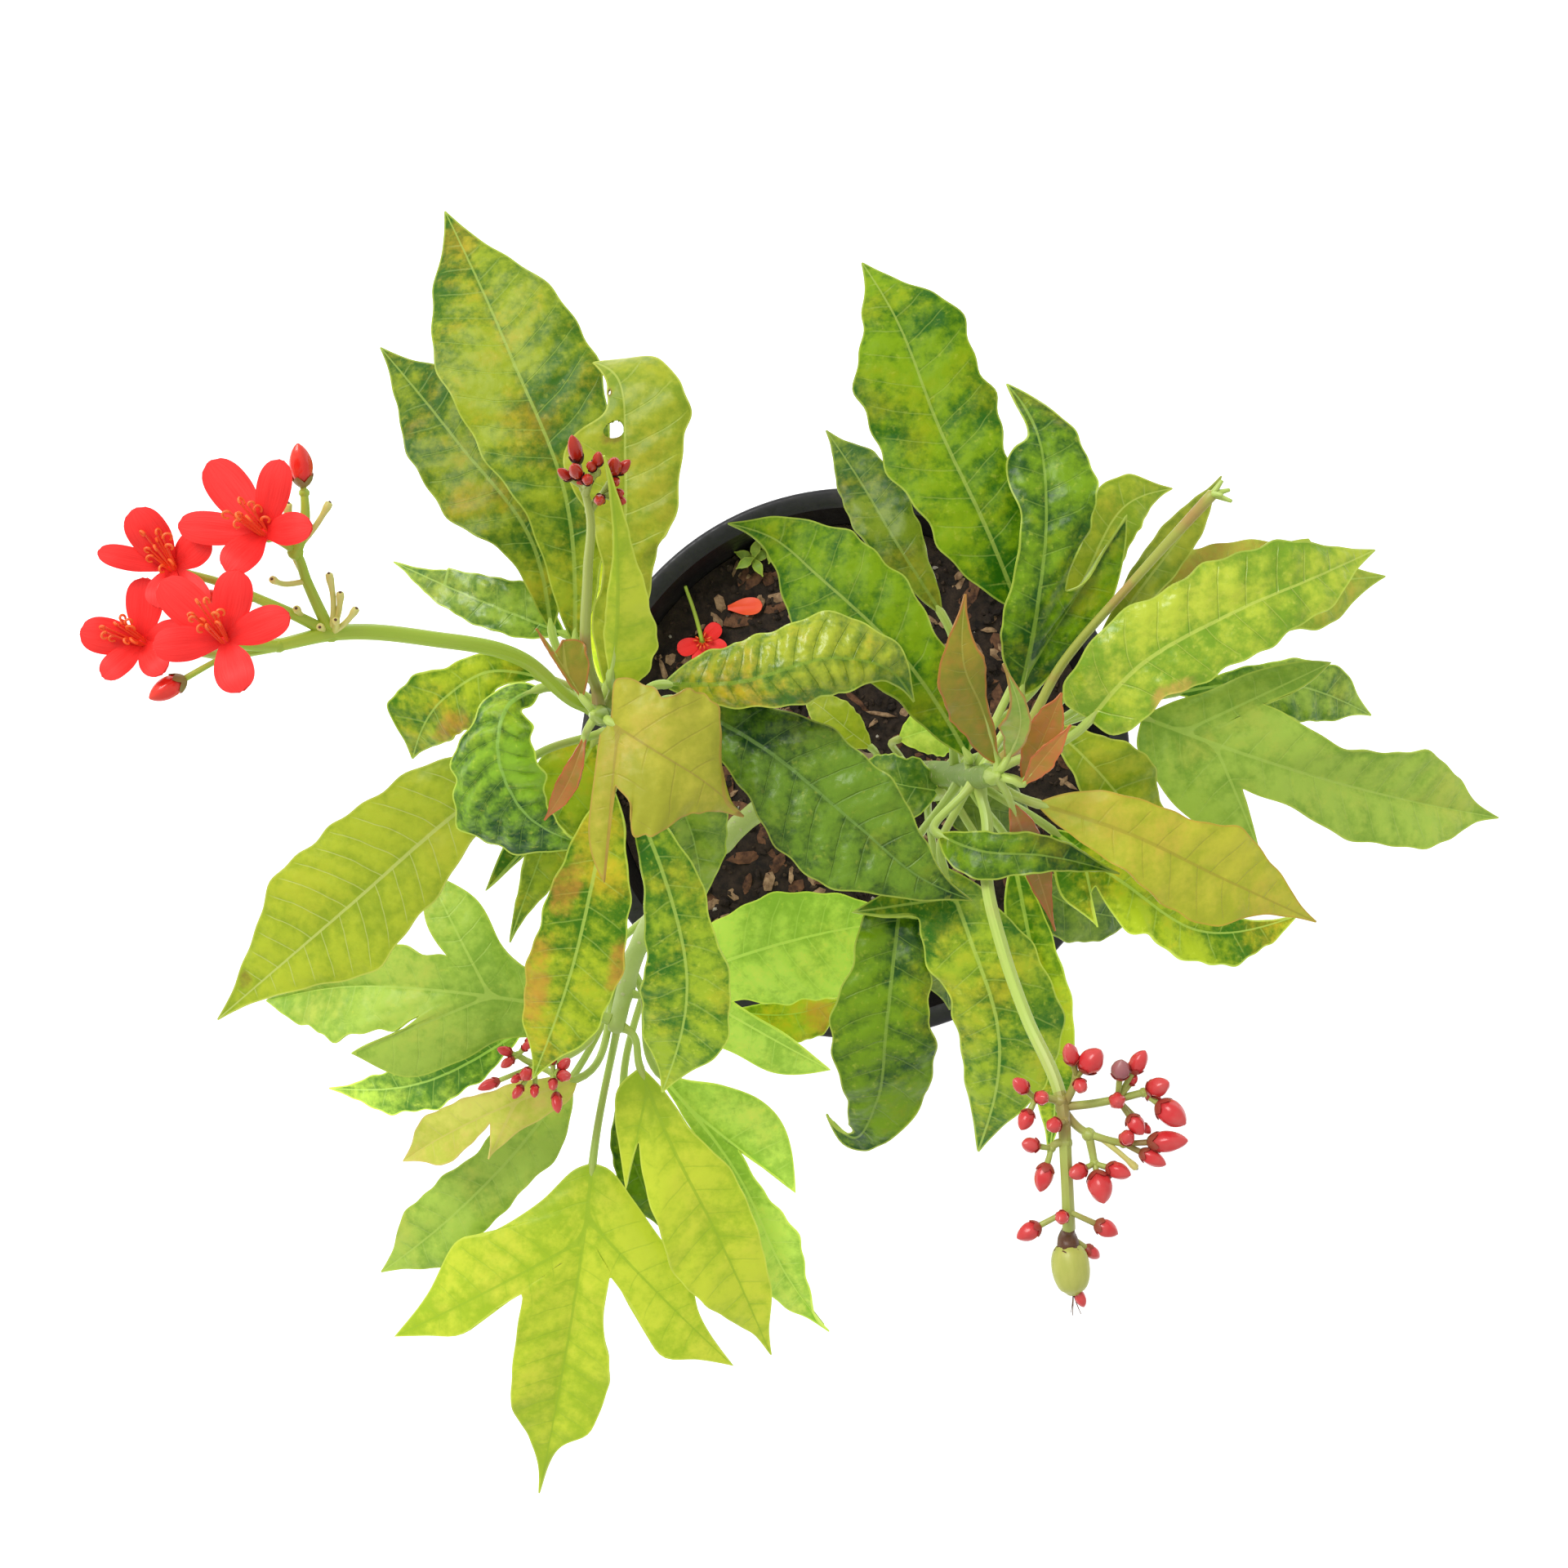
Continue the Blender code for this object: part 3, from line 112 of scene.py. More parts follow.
# The nursery pot: black polypropylene blown in one piece, a little dusty.
# A rolled lip and a deeper band stiffen the rim, and six drain holes are cut through the
# floor. Soil stands in it to a finger's width under the rim.
RIM = 105.0
LIP = 1.6
BAND = 15.0
POT_HEIGHT = 172.0
POT_WALL = 2.2
POT_FLOOR = 3.0
BASE = 73.0
WALL_TOP = 100.0
DRAINS = 6
DRAIN_CIRCLE = 58.0
DRAIN_RADIUS = 5.0
POT_STEPS = 144
HOLE_STEPS = 24


def pot_inside(height):
    """Inner radius at a height: it grows evenly from the floor to the lip."""
    return BASE - POT_WALL + (height - POT_FLOOR) / (POT_HEIGHT - POT_FLOOR) * (WALL_TOP - BASE)


def around(steps):
    """Even angles round a circle: 2 pi k / steps."""
    return 2.0 * np.pi * np.arange(steps) / steps


def unit(way):
    """A direction, or a row of them, divided by its length."""
    return way / np.linalg.norm(way, axis=-1, keepdims=True)


def turned(profile, steps):
    """Rings of points: x = r cos a, y = r sin a, z = h, for each (r, h) of the profile."""
    radius, height = np.array(profile, float).T
    angle = around(steps)
    return np.stack([np.outer(radius, np.cos(angle)), np.outer(radius, np.sin(angle)),
                     np.outer(height, np.ones(steps))], axis=-1)


def ring_faces(rings, steps, capped=True):
    """Four-sided faces between neighbouring rings, and across the first and the last ring."""
    i, k = np.meshgrid(np.arange(rings - 1), np.arange(steps), indexing="ij")
    here, after = i * steps + k, i * steps + (k + 1) % steps
    faces = [np.stack([here, after, after + steps, here + steps], axis=-1).reshape(-1, 4)]
    if capped:
        m = np.arange(steps // 2 - 1)
        cap = np.stack([m, m + 1, steps - 2 - m, (steps - 1 - m) % steps], axis=-1)
        faces += [cap[:, ::-1], cap + (rings - 1) * steps]
    return np.concatenate(faces)


def assemble(name, parts, finishes):
    """One object from parts laid end to end: each has points in millimetres, four-sided faces,
    up to six marks for every corner of a face, and the number of its finish for each face."""
    starts = np.cumsum([0] + [len(part[0]) for part in parts])
    points = np.concatenate([part[0] for part in parts]) * MM
    faces = np.concatenate([part[1] + start for part, start in zip(parts, starts)])
    marks = np.zeros((*faces.shape, 6))
    for part, first in zip(parts, np.cumsum([0] + [len(part[1]) for part in parts])):
        given = np.atleast_1d(part[2])
        marks[first:first + len(part[1]), :, :given.shape[-1]] = given
    looks = np.concatenate([np.broadcast_to(part[3], len(part[1])) for part in parts])
    mesh = bpy.data.meshes.new(name)
    mesh.vertices.add(len(points))
    mesh.vertices.foreach_set("co", points.ravel())
    mesh.loops.add(faces.size)
    mesh.loops.foreach_set("vertex_index", faces.ravel())
    mesh.polygons.add(len(faces))
    mesh.polygons.foreach_set("loop_start", np.arange(len(faces)) * 4)
    mesh.polygons.foreach_set("material_index", looks)
    mesh.update(calc_edges=True)
    for layer, pair in (("figure", marks[..., :2]), ("reach", marks[..., 2:4]), ("stains_and_lighting", marks[..., 4:])):
        mesh.uv_layers.new(name=layer).data.foreach_set("uv", np.ascontiguousarray(pair).ravel())
    for finish in finishes:
        mesh.materials.append(finish)
    mesh.shade_smooth()
    mesh.set_sharp_from_angle(angle=0.9)
    piece = bpy.data.objects.new(name, mesh)
    bpy.context.scene.collection.objects.link(piece)
    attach(piece, "root")
    return piece


def place_in(tree):
    """The place on the object, in metres."""
    return fit(tree, "TexCoord").outputs["Object"]


def noise_in(tree, place, scale, detail, rough=0.5):
    """Fractal noise about 0.5 over the places given, at so many waves a metre."""
    return fit(tree, "TexNoise", {"Vector": place, "Scale": scale, "Detail": detail,
                                  "Roughness": rough}).outputs[0]


def stretch(tree, place, scale):
    """The places with each axis multiplied, so a noise over them runs in streaks."""
    return fit(tree, "Mapping", {"Vector": place, "Scale": scale}).outputs[0]


def ramp(tree, value, low, high, least=0.0, most=1.0, **settings):
    """Goes from least to most as the value goes from low to high, and stays level beyond."""
    return fit(tree, "MapRange", {"Value": value, "From Min": low, "From Max": high,
                                  "To Min": least, "To Max": most}, **settings).outputs[0]


def reckon(tree, operation, *terms):
    """One sum or product of plain numbers and other nodes' outputs."""
    return fit(tree, "Math", dict(enumerate(terms)), operation=operation).outputs[0]


def blend(tree, share, first, second):
    """Goes straight from the first colour to the second as the share goes from 0 to 1."""
    return fit(tree, "Mix", {0: share, 6: first, 7: second}, data_type="RGBA").outputs[2]


def plug_in(tree, colour, relief, strength, depth, rough=None):
    """Gives the shader its colour, its roughness where that varies, and bumps from a relief of
    0 to 1 that is depth metres high."""
    bump = fit(tree, "Bump", {"Height": relief, "Strength": strength, "Distance": depth}).outputs[0]
    shader = tree.nodes["Principled BSDF"]
    tree.links.new(colour, shader.inputs["Base Color"])
    tree.links.new(bump, shader.inputs["Normal"])
    if rough is not None:
        tree.links.new(rough, shader.inputs["Roughness"])


def pot_plastic():
    """Black plastic with fine rings from the mould, dull dusty patches and a few scuffs."""
    tree, made = blank_finish("pot_plastic")
    place = place_in(tree)
    dusty = ramp(tree, noise_in(tree, place, 38.0, 6.0, 0.65), 0.5, 0.78)
    rings = noise_in(tree, stretch(tree, place, (8.0, 8.0, 900.0)), 1.0, 2.0)
    scuffs = noise_in(tree, place, 420.0, 3.0)
    plug_in(tree, blend(tree, dusty, paint(24, 24, 26), paint(54, 50, 46)),
            reckon(tree, "ADD", rings, scuffs), 0.25, 0.0002, rough=ramp(tree, scuffs, 0.3, 0.7, 0.34, 0.58))
    return made


band_foot = POT_HEIGHT - BAND
lip_curve = [(RIM - LIP + LIP * np.sin(a), POT_HEIGHT - LIP + LIP * np.cos(a))
             for a in np.linspace(0.0, 1.57, 6)]
pot_profile = [(BASE - 2.0, 0.0), (BASE - 0.6, 0.6), (BASE, POT_FLOOR)]
pot_profile += [(pot_inside(h) + POT_WALL, h) for h in np.linspace(20.0, band_foot - 3.0, 6)]
pot_profile += [(pot_inside(band_foot) + POT_WALL + 0.2, band_foot - 2.2), (RIM - 3.0, band_foot - 1.0),
                (RIM - 1.3, band_foot - 0.3), (RIM - 0.8, band_foot + 0.4)]
pot_profile += lip_curve[::-1] + [(WALL_TOP + 2.6, POT_HEIGHT - 0.05), (WALL_TOP - 0.6, POT_HEIGHT - 0.3)]
pot_profile += [(pot_inside(POT_HEIGHT - 1.4), POT_HEIGHT - 1.4)]
pot_profile += [(pot_inside(h), h) for h in np.linspace(164.0, POT_FLOOR, 8)]
pot_rings = turned(pot_profile, POT_STEPS)
work = bmesh.new()
shell = [work.verts.new(point * MM) for point in pot_rings.reshape(-1, 3)]
for face in ring_faces(len(pot_profile), POT_STEPS, capped=False):
    work.faces.new([shell[corner] for corner in face])
mouths = []
for height, circle in ((0.0, shell[:POT_STEPS]), (POT_FLOOR, shell[-POT_STEPS:])):
    edges = [work.edges.get((a, b)) for a, b in zip(circle, circle[1:] + circle[:1])]
    for turn in around(DRAINS) + np.pi / DRAINS:
        centre = DRAIN_CIRCLE * np.array([np.cos(turn), np.sin(turn), 0.0])
        circle_of_hole = centre + turned([(DRAIN_RADIUS, height)], HOLE_STEPS)[0]
        mouth = [work.verts.new(point * MM) for point in circle_of_hole]
        edges += [work.edges.new((a, b)) for a, b in zip(mouth, mouth[1:] + mouth[:1])]
        mouths.append(mouth)
    bmesh.ops.triangle_fill(work, edges=edges, use_beauty=True)
for low, high in zip(mouths[:DRAINS], mouths[DRAINS:]):
    for k in range(HOLE_STEPS):
        work.faces.new((low[k - 1], low[k], high[k], high[k - 1]))
bmesh.ops.recalc_face_normals(work, faces=work.faces)
pot_mesh = bpy.data.meshes.new("nursery_pot")
work.to_mesh(pot_mesh)
work.free()
pot_mesh.materials.append(pot_plastic())
pot_mesh.shade_smooth()
pot_mesh.set_sharp_from_angle(angle=0.7)
pot = bpy.data.objects.new("nursery_pot", pot_mesh)
bpy.context.scene.collection.objects.link(pot)
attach(pot, "root")
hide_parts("pot")


# The soil: dark damp potting mix that fills the pot, with crumbs, bark chips and grit.
# It was heaped by hand and watered, so its top is lumpy and dips where it meets the wall.
# Three small weeds have come up in it.
SOIL_TOP = 149.0
SOIL_FOOT = POT_FLOOR + 0.3
SOIL_CLEARANCE = 0.3
SOIL_STEPS = 180
soil_edge = pot_inside(SOIL_TOP) - SOIL_CLEARANCE


def lumps(x, y, size, height, seed):
    """Bumpy ground: 24 plane waves summed, each sin(k . p + phase) with k near 2 pi / size."""
    count = 24
    dice = np.random.default_rng(seed)
    turn = dice.uniform(0.0, 2.0 * np.pi, count)
    pitch = 2.0 * np.pi / (size * dice.uniform(0.6, 1.6, count))
    phase = dice.uniform(0.0, 2.0 * np.pi, count)
    flat = np.multiply.outer(x, np.cos(turn) * pitch) + np.multiply.outer(y, np.sin(turn) * pitch) + phase
    return height * np.sin(flat).sum(axis=-1) / np.sqrt(count / 2.0)


def soil_height(x, y):
    """The soil's top: broad lumps with finer ones on them, all fading out at the pot's wall."""
    broad = 1.6 * (np.sin(x / 13.0 + 1.0) * np.cos(y / 11.0) + 0.6 * np.sin((x + y) / 19.0))
    fine = lumps(x, y, 9.0, 0.55, 3) + lumps(x, y, 3.5, 0.35, 4)
    return SOIL_TOP + (broad + fine) * np.clip((soil_edge - np.hypot(x, y)) / 6.0, 0.0, 1.0)


def turn_by(x, y, angle):
    """Both turned by a row's angle: x cos a - y sin a, and x sin a + y cos a."""
    cos, sin = np.cos(angle)[:, None], np.sin(angle)[:, None]
    return x * cos - y * sin, x * sin + y * cos


def grains(count, sizes, radii, seed, flat=False):
    """Six-sided pebbles: three rings and two caps, each corner moved in or out a little, turned
    at random and laid on the soil. sizes are the least and greatest length, width and height."""
    dice = np.random.default_rng(seed)
    shape = turned([(0.6, -0.8), (1.0, 0.0), (0.55, 0.8)], 6).reshape(-1, 3)
    size = dice.uniform(*sizes, (count, 3)) / 2.0
    turn = dice.uniform(0.0, 2.0 * np.pi, count)
    tilt = dice.normal(0.0, 0.18 if flat else 0.8, count)
    points = shape * size[:, None] * dice.uniform(0.75, 1.2, (count, len(shape), 1))
    x, z = turn_by(points[..., 0], points[..., 2], tilt)
    x, y = turn_by(x, points[..., 1], turn)
    away = np.sqrt(dice.uniform(radii[0] ** 2, radii[1] ** 2, count))
    side = dice.uniform(0.0, 2.0 * np.pi, count)
    middle = np.stack([away * np.cos(side), away * np.sin(side)])
    ground = soil_height(*middle) + 0.35 * size[:, 2]
    points = np.stack([x + middle[0][:, None], y + middle[1][:, None], z + ground[:, None]], axis=-1)
    faces = ring_faces(3, 6) + len(shape) * np.arange(count)[:, None, None]
    return points.reshape(-1, 3), faces.reshape(-1, 4)


def earth_finish(name, dark, light, rough, scale):
    """A dull crumbly finish: two browns mixed by a fine noise that also lifts the surface."""
    tree, made = blank_finish(name, Roughness=rough)
    noise = noise_in(tree, place_in(tree), scale, 8.0, 0.7)
    colour = blend(tree, ramp(tree, noise, 0.35, 0.68), paint(*dark), paint(*light))
    plug_in(tree, colour, noise, 0.8, 0.0012)
    return made


soil_radii = np.concatenate([np.linspace(1.0, soil_edge - 1.0, 76), [soil_edge]])
soil_profile = [(r, SOIL_TOP) for r in soil_radii]
soil_profile += [(pot_inside(SOIL_FOOT) - SOIL_CLEARANCE, SOIL_FOOT), (2.0, SOIL_FOOT)]
soil_points = turned(soil_profile, SOIL_STEPS)
top = slice(0, len(soil_radii))
soil_points[top, :, 2] = soil_height(soil_points[top, :, 0], soil_points[top, :, 1])
soil_faces = ring_faces(len(soil_profile), SOIL_STEPS)[:, ::-1]
soil_parts = [(soil_points.reshape(-1, 3), soil_faces, 0.0, 0)]
# Crumbs, clods, pale chips, dark chips and grit: how many, their sizes, the ring of soil that
# they lie on, whether they lie flat, and their finish.
for seed, (count, sizes, radii, flat, look) in enumerate((
        (900, (0.9, 3.2), (4.0, 94.0), False, 1),
        (260, (2.0, 5.5), (8.0, 92.0), False, 0),
        (190, ((3.5, 1.6, 0.7), (12.0, 5.5, 1.8)), (9.0, 90.0), True, 2),
        (120, ((5.0, 2.5, 0.8), (17.0, 7.5, 2.4)), (12.0, 86.0), True, 3),
        (90, (0.8, 2.4), (6.0, 93.0), False, 4)), 11):
    soil_parts += [(*grains(count, sizes, radii, seed, flat), 0.0, look)]
soil = assemble("soil_bed", soil_parts, [
    earth_finish("soil", (24, 19, 15), (62, 49, 38), 0.95, 260.0),
    earth_finish("soil_crumbs", (36, 28, 22), (86, 68, 52), 0.95, 600.0),
    earth_finish("bark_chips", (104, 76, 52), (190, 156, 118), 0.85, 300.0),
    earth_finish("dark_bark", (60, 38, 26), (128, 88, 60), 0.85, 300.0),
    earth_finish("grit", (150, 138, 120), (214, 206, 192), 0.8, 700.0)])
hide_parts("soil")


# The woody stems: one trunk that forks into two tall shoots and a low one.
# The bark is brown and corky below and turns green near the tips; each fallen or living
# leaf leaves a raised scar. A spent flower stalk still stands on the right shoot.
#
# Each row of a stem gives a place and its radius, from the foot up.
SHOOTS = {
    "left": [(0, 0, 92, 6.4), (0, 0, 158, 6.2), (-6, 1, 192, 5.6), (-32, 5, 268, 4.6),
             (-58, 8, 340, 3.8), (-69, 9, 390, 3.2), (-72.5, 9, 424, 2.7)],
    "right": [(0, 0, 165, 5.4), (1, -1, 190, 5.2), (9, -4, 262, 4.4), (18, -5, 330, 3.8),
              (23, -6, 385, 3.2), (24.5, -6, 424, 2.7)],
    "low": [(-8, 1, 198, 4.2), (-24, -8, 226, 3.9), (-52, -32, 268, 3.4), (-71, -56, 308, 3.0),
            (-76.5, -80, 334, 2.5)],
}
SPENT_STALK = [(24, -6, 402, 1.5), (32, 2, 407, 1.4), (43, 22, 413, 1.3), (59, 42, 425, 1.2),
               (75, 61, 440, 1.5)]
SPENT_BRACTS = [(77, 64, 441), (79, 59, 442), (76, 60, 445), (79, 62, 440)]
END_LENGTH = 0.35
END_RADIUS = 0.6
GOLDEN_TURN = 2.4
BARK, YOUNG_BARK, SPENT, GREEN = range(4)


def curve_through(knots, values, at):
    """A cubic between each pair of knots that meets both values; its slope at a knot is the
    mean of the slopes on either side, weighted by the length of the other side."""
    knots = np.asarray(knots, float)
    values = np.asarray(values, float)
    gaps = np.diff(knots)[:, None]
    slopes = np.diff(values, axis=0) / gaps
    tangents = np.vstack([slopes[:1], slopes[-1:]])
    if len(knots) > 2:
        share = gaps[1:] / (gaps[1:] + gaps[:-1])
        inner = share * slopes[:-1] + (1.0 - share) * slopes[1:]
        first, last = 1.5 * slopes[:1] - 0.5 * inner[:1], 1.5 * slopes[-1:] - 0.5 * inner[-1:]
        tangents = np.vstack([first, inner, last])
    piece = np.clip(np.searchsorted(knots, at, side="right") - 1, 0, len(gaps) - 1)
    gap = gaps[piece]
    x = (np.asarray(at)[:, None] - knots[piece][:, None]) / gap
    before = (2 * x**3 - 3 * x**2 + 1) * values[piece] + (x**3 - 2 * x**2 + x) * gap * tangents[piece]
    after = (3 * x**2 - 2 * x**3) * values[piece + 1] + (x**3 - x**2) * gap * tangents[piece + 1]
    return before + after


def run_along(points):
    """The length run from the first point to each point of a line."""
    return np.concatenate([[0.0], np.cumsum(np.linalg.norm(np.diff(points, axis=0), axis=1))])


def smooth_path(rows, count):
    """Rows of places (and radii) joined by cubics, read at even steps of the length run."""
    rows = np.asarray(rows, float)
    run = run_along(rows[:, :3])
    return curve_through(run / run[-1], rows, np.linspace(0.0, 1.0, count))


def stalk(path, radii, sides, swell=None):
    """A tube: at every place of the path a ring in the plane square to it, of the radius there.
    swell adds to the radius of each point. Each end closes over a ring END_RADIUS times as wide,
    END_LENGTH radii further on."""
    path = np.asarray(path, float)
    radii = np.broadcast_to(np.asarray(radii, float), len(path))
    way = unit(np.gradient(path, axis=0))
    before, after = path[:1] - way[:1] * radii[0] * END_LENGTH, path[-1:] + way[-1:] * radii[-1] * END_LENGTH
    path = np.concatenate([before, path, after])
    way = np.concatenate([way[:1], way, way[-1:]])
    radii = np.concatenate([radii[:1] * END_RADIUS, radii, radii[-1:] * END_RADIUS])
    across = unit(np.cross(way, np.linalg.svd(way, full_matrices=True)[2][-1]))
    up = np.cross(way, across)
    angle = around(sides)
    out = across[:, None] * np.cos(angle)[:, None] + up[:, None] * np.sin(angle)[:, None]
    reach = radii[:, None] + (0.0 if swell is None else np.pad(swell, ((1, 1), (0, 0))))
    points = path[:, None] + out * reach[..., None]
    faces = ring_faces(len(path), sides)
    run, turn = np.meshgrid(np.linspace(0.0, 1.0, len(path)), angle / (2.0 * np.pi), indexing="ij")
    return points.reshape(-1, 3), faces, np.stack([run.ravel(), turn.ravel()], axis=-1)[faces]


def bark_finish(name, green_from, green_to, deep, pale):
    """Corky brown bark with pale pores that turns to smooth green skin between two heights."""
    tree, made = blank_finish(name)
    place = place_in(tree)
    height = fit(tree, "SeparateXYZ", {"Vector": place}).outputs["Z"]
    broad = noise_in(tree, place, 90.0, 4.0)
    young = ramp(tree, reckon(tree, "MULTIPLY_ADD", broad, 0.10, height), green_from, green_to)
    cracks = noise_in(tree, stretch(tree, place, (900.0, 900.0, 220.0)), 1.0, 6.0, 0.7)
    pores = fit(tree, "TexVoronoi", {"Vector": place, "Scale": 330.0}).outputs["Distance"]
    pore = ramp(tree, pores, 0.26, 0.16)
    brown = blend(tree, cracks, paint(84, 66, 44), paint(160, 142, 104))
    green = blend(tree, broad, paint(*deep), paint(*pale))
    skin = blend(tree, young, brown, green)
    spotted = blend(tree, reckon(tree, "MULTIPLY", pore, 0.5), skin, paint(196, 186, 150))
    relief = reckon(tree, "ADD", cracks, pore)
    plug_in(tree, spotted, relief, 0.5, 0.0004, rough=ramp(tree, young, 0.0, 1.0, 0.8, 0.45))
    return made


def scarred_stem(rows, count, seed, sides=20, scars=15):
    """A stem whose radius adds, at each scar, 0.7 times a bell curve of height and of angle, and
    a faint wave that runs up it."""
    path = smooth_path(rows, count)
    dice = np.random.default_rng(seed)
    angle = around(sides)
    run = np.linspace(0.0, 1.0, count)[:, None]
    swell = 0.05 * path[:, 3:] * np.sin(3.0 * angle + 14.0 * run)
    for k, spot in enumerate(np.linspace(0.16, 0.97, scars)):
        scar_angle = GOLDEN_TURN * k + dice.uniform(-0.3, 0.3)
        bell = np.exp(-((run - spot) * count / 3.2) ** 2) * np.exp(2.2 * (np.cos(angle - scar_angle) - 1.0))
        swell = swell + 0.7 * bell
    return stalk(path[:, :3], path[:, 3] - 0.12, sides, swell)


shoot_paths = {shoot: smooth_path(rows, 240) for shoot, rows in SHOOTS.items()}
stem_parts = [(*scarred_stem(rows, 150, seed), YOUNG_BARK if shoot == "low" else BARK)
              for seed, (shoot, rows) in enumerate(SHOOTS.items(), 21)]
spent = smooth_path(SPENT_STALK, 40)
stem_parts += [(*stalk(spent[:, :3], spent[:, 3] * 0.95, 10), SPENT)]
for bract in SPENT_BRACTS:
    root = SPENT_STALK[-1][:3]
    bract_path = smooth_path([root, np.mean([root, bract], axis=0), bract], 8)
    stem_parts += [(*stalk(bract_path, np.linspace(0.9, 0.45, 8), 8), GREEN)]


def stalk_finish(name, pale, deep, tint, tint_spread):
    """A smooth juicy stalk: two greens mixed in long streaks, tinted in broad patches."""
    tree, made = blank_finish(name, Roughness=0.42)
    along = fit(tree, "UVMap", uv_map="figure").outputs[0]
    streaks = noise_in(tree, stretch(tree, along, (3.0, 14.0, 1.0)), 1.0, 3.0)
    tinted = ramp(tree, noise_in(tree, place_in(tree), 70.0, 3.0), 0.5, 0.72, 0.0, tint_spread)
    colour = blend(tree, tinted, blend(tree, streaks, paint(*pale), paint(*deep)), paint(*tint))
    plug_in(tree, colour, streaks, 0.25, 0.0003)
    return made


green_stalk = stalk_finish("green_stalk", (192, 210, 110), (152, 182, 72), (180, 160, 98), 0.4)
stems = assemble("woody_stems", stem_parts, [
    bark_finish("bark", 0.31, 0.38, (96, 126, 40), (140, 166, 70)),
    bark_finish("young_bark", 0.20, 0.27, (146, 172, 74), (184, 200, 116)),
    stalk_finish("spent_stalk", (176, 178, 84), (150, 160, 62), (176, 116, 78), 0.8), green_stalk])
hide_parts("stems")


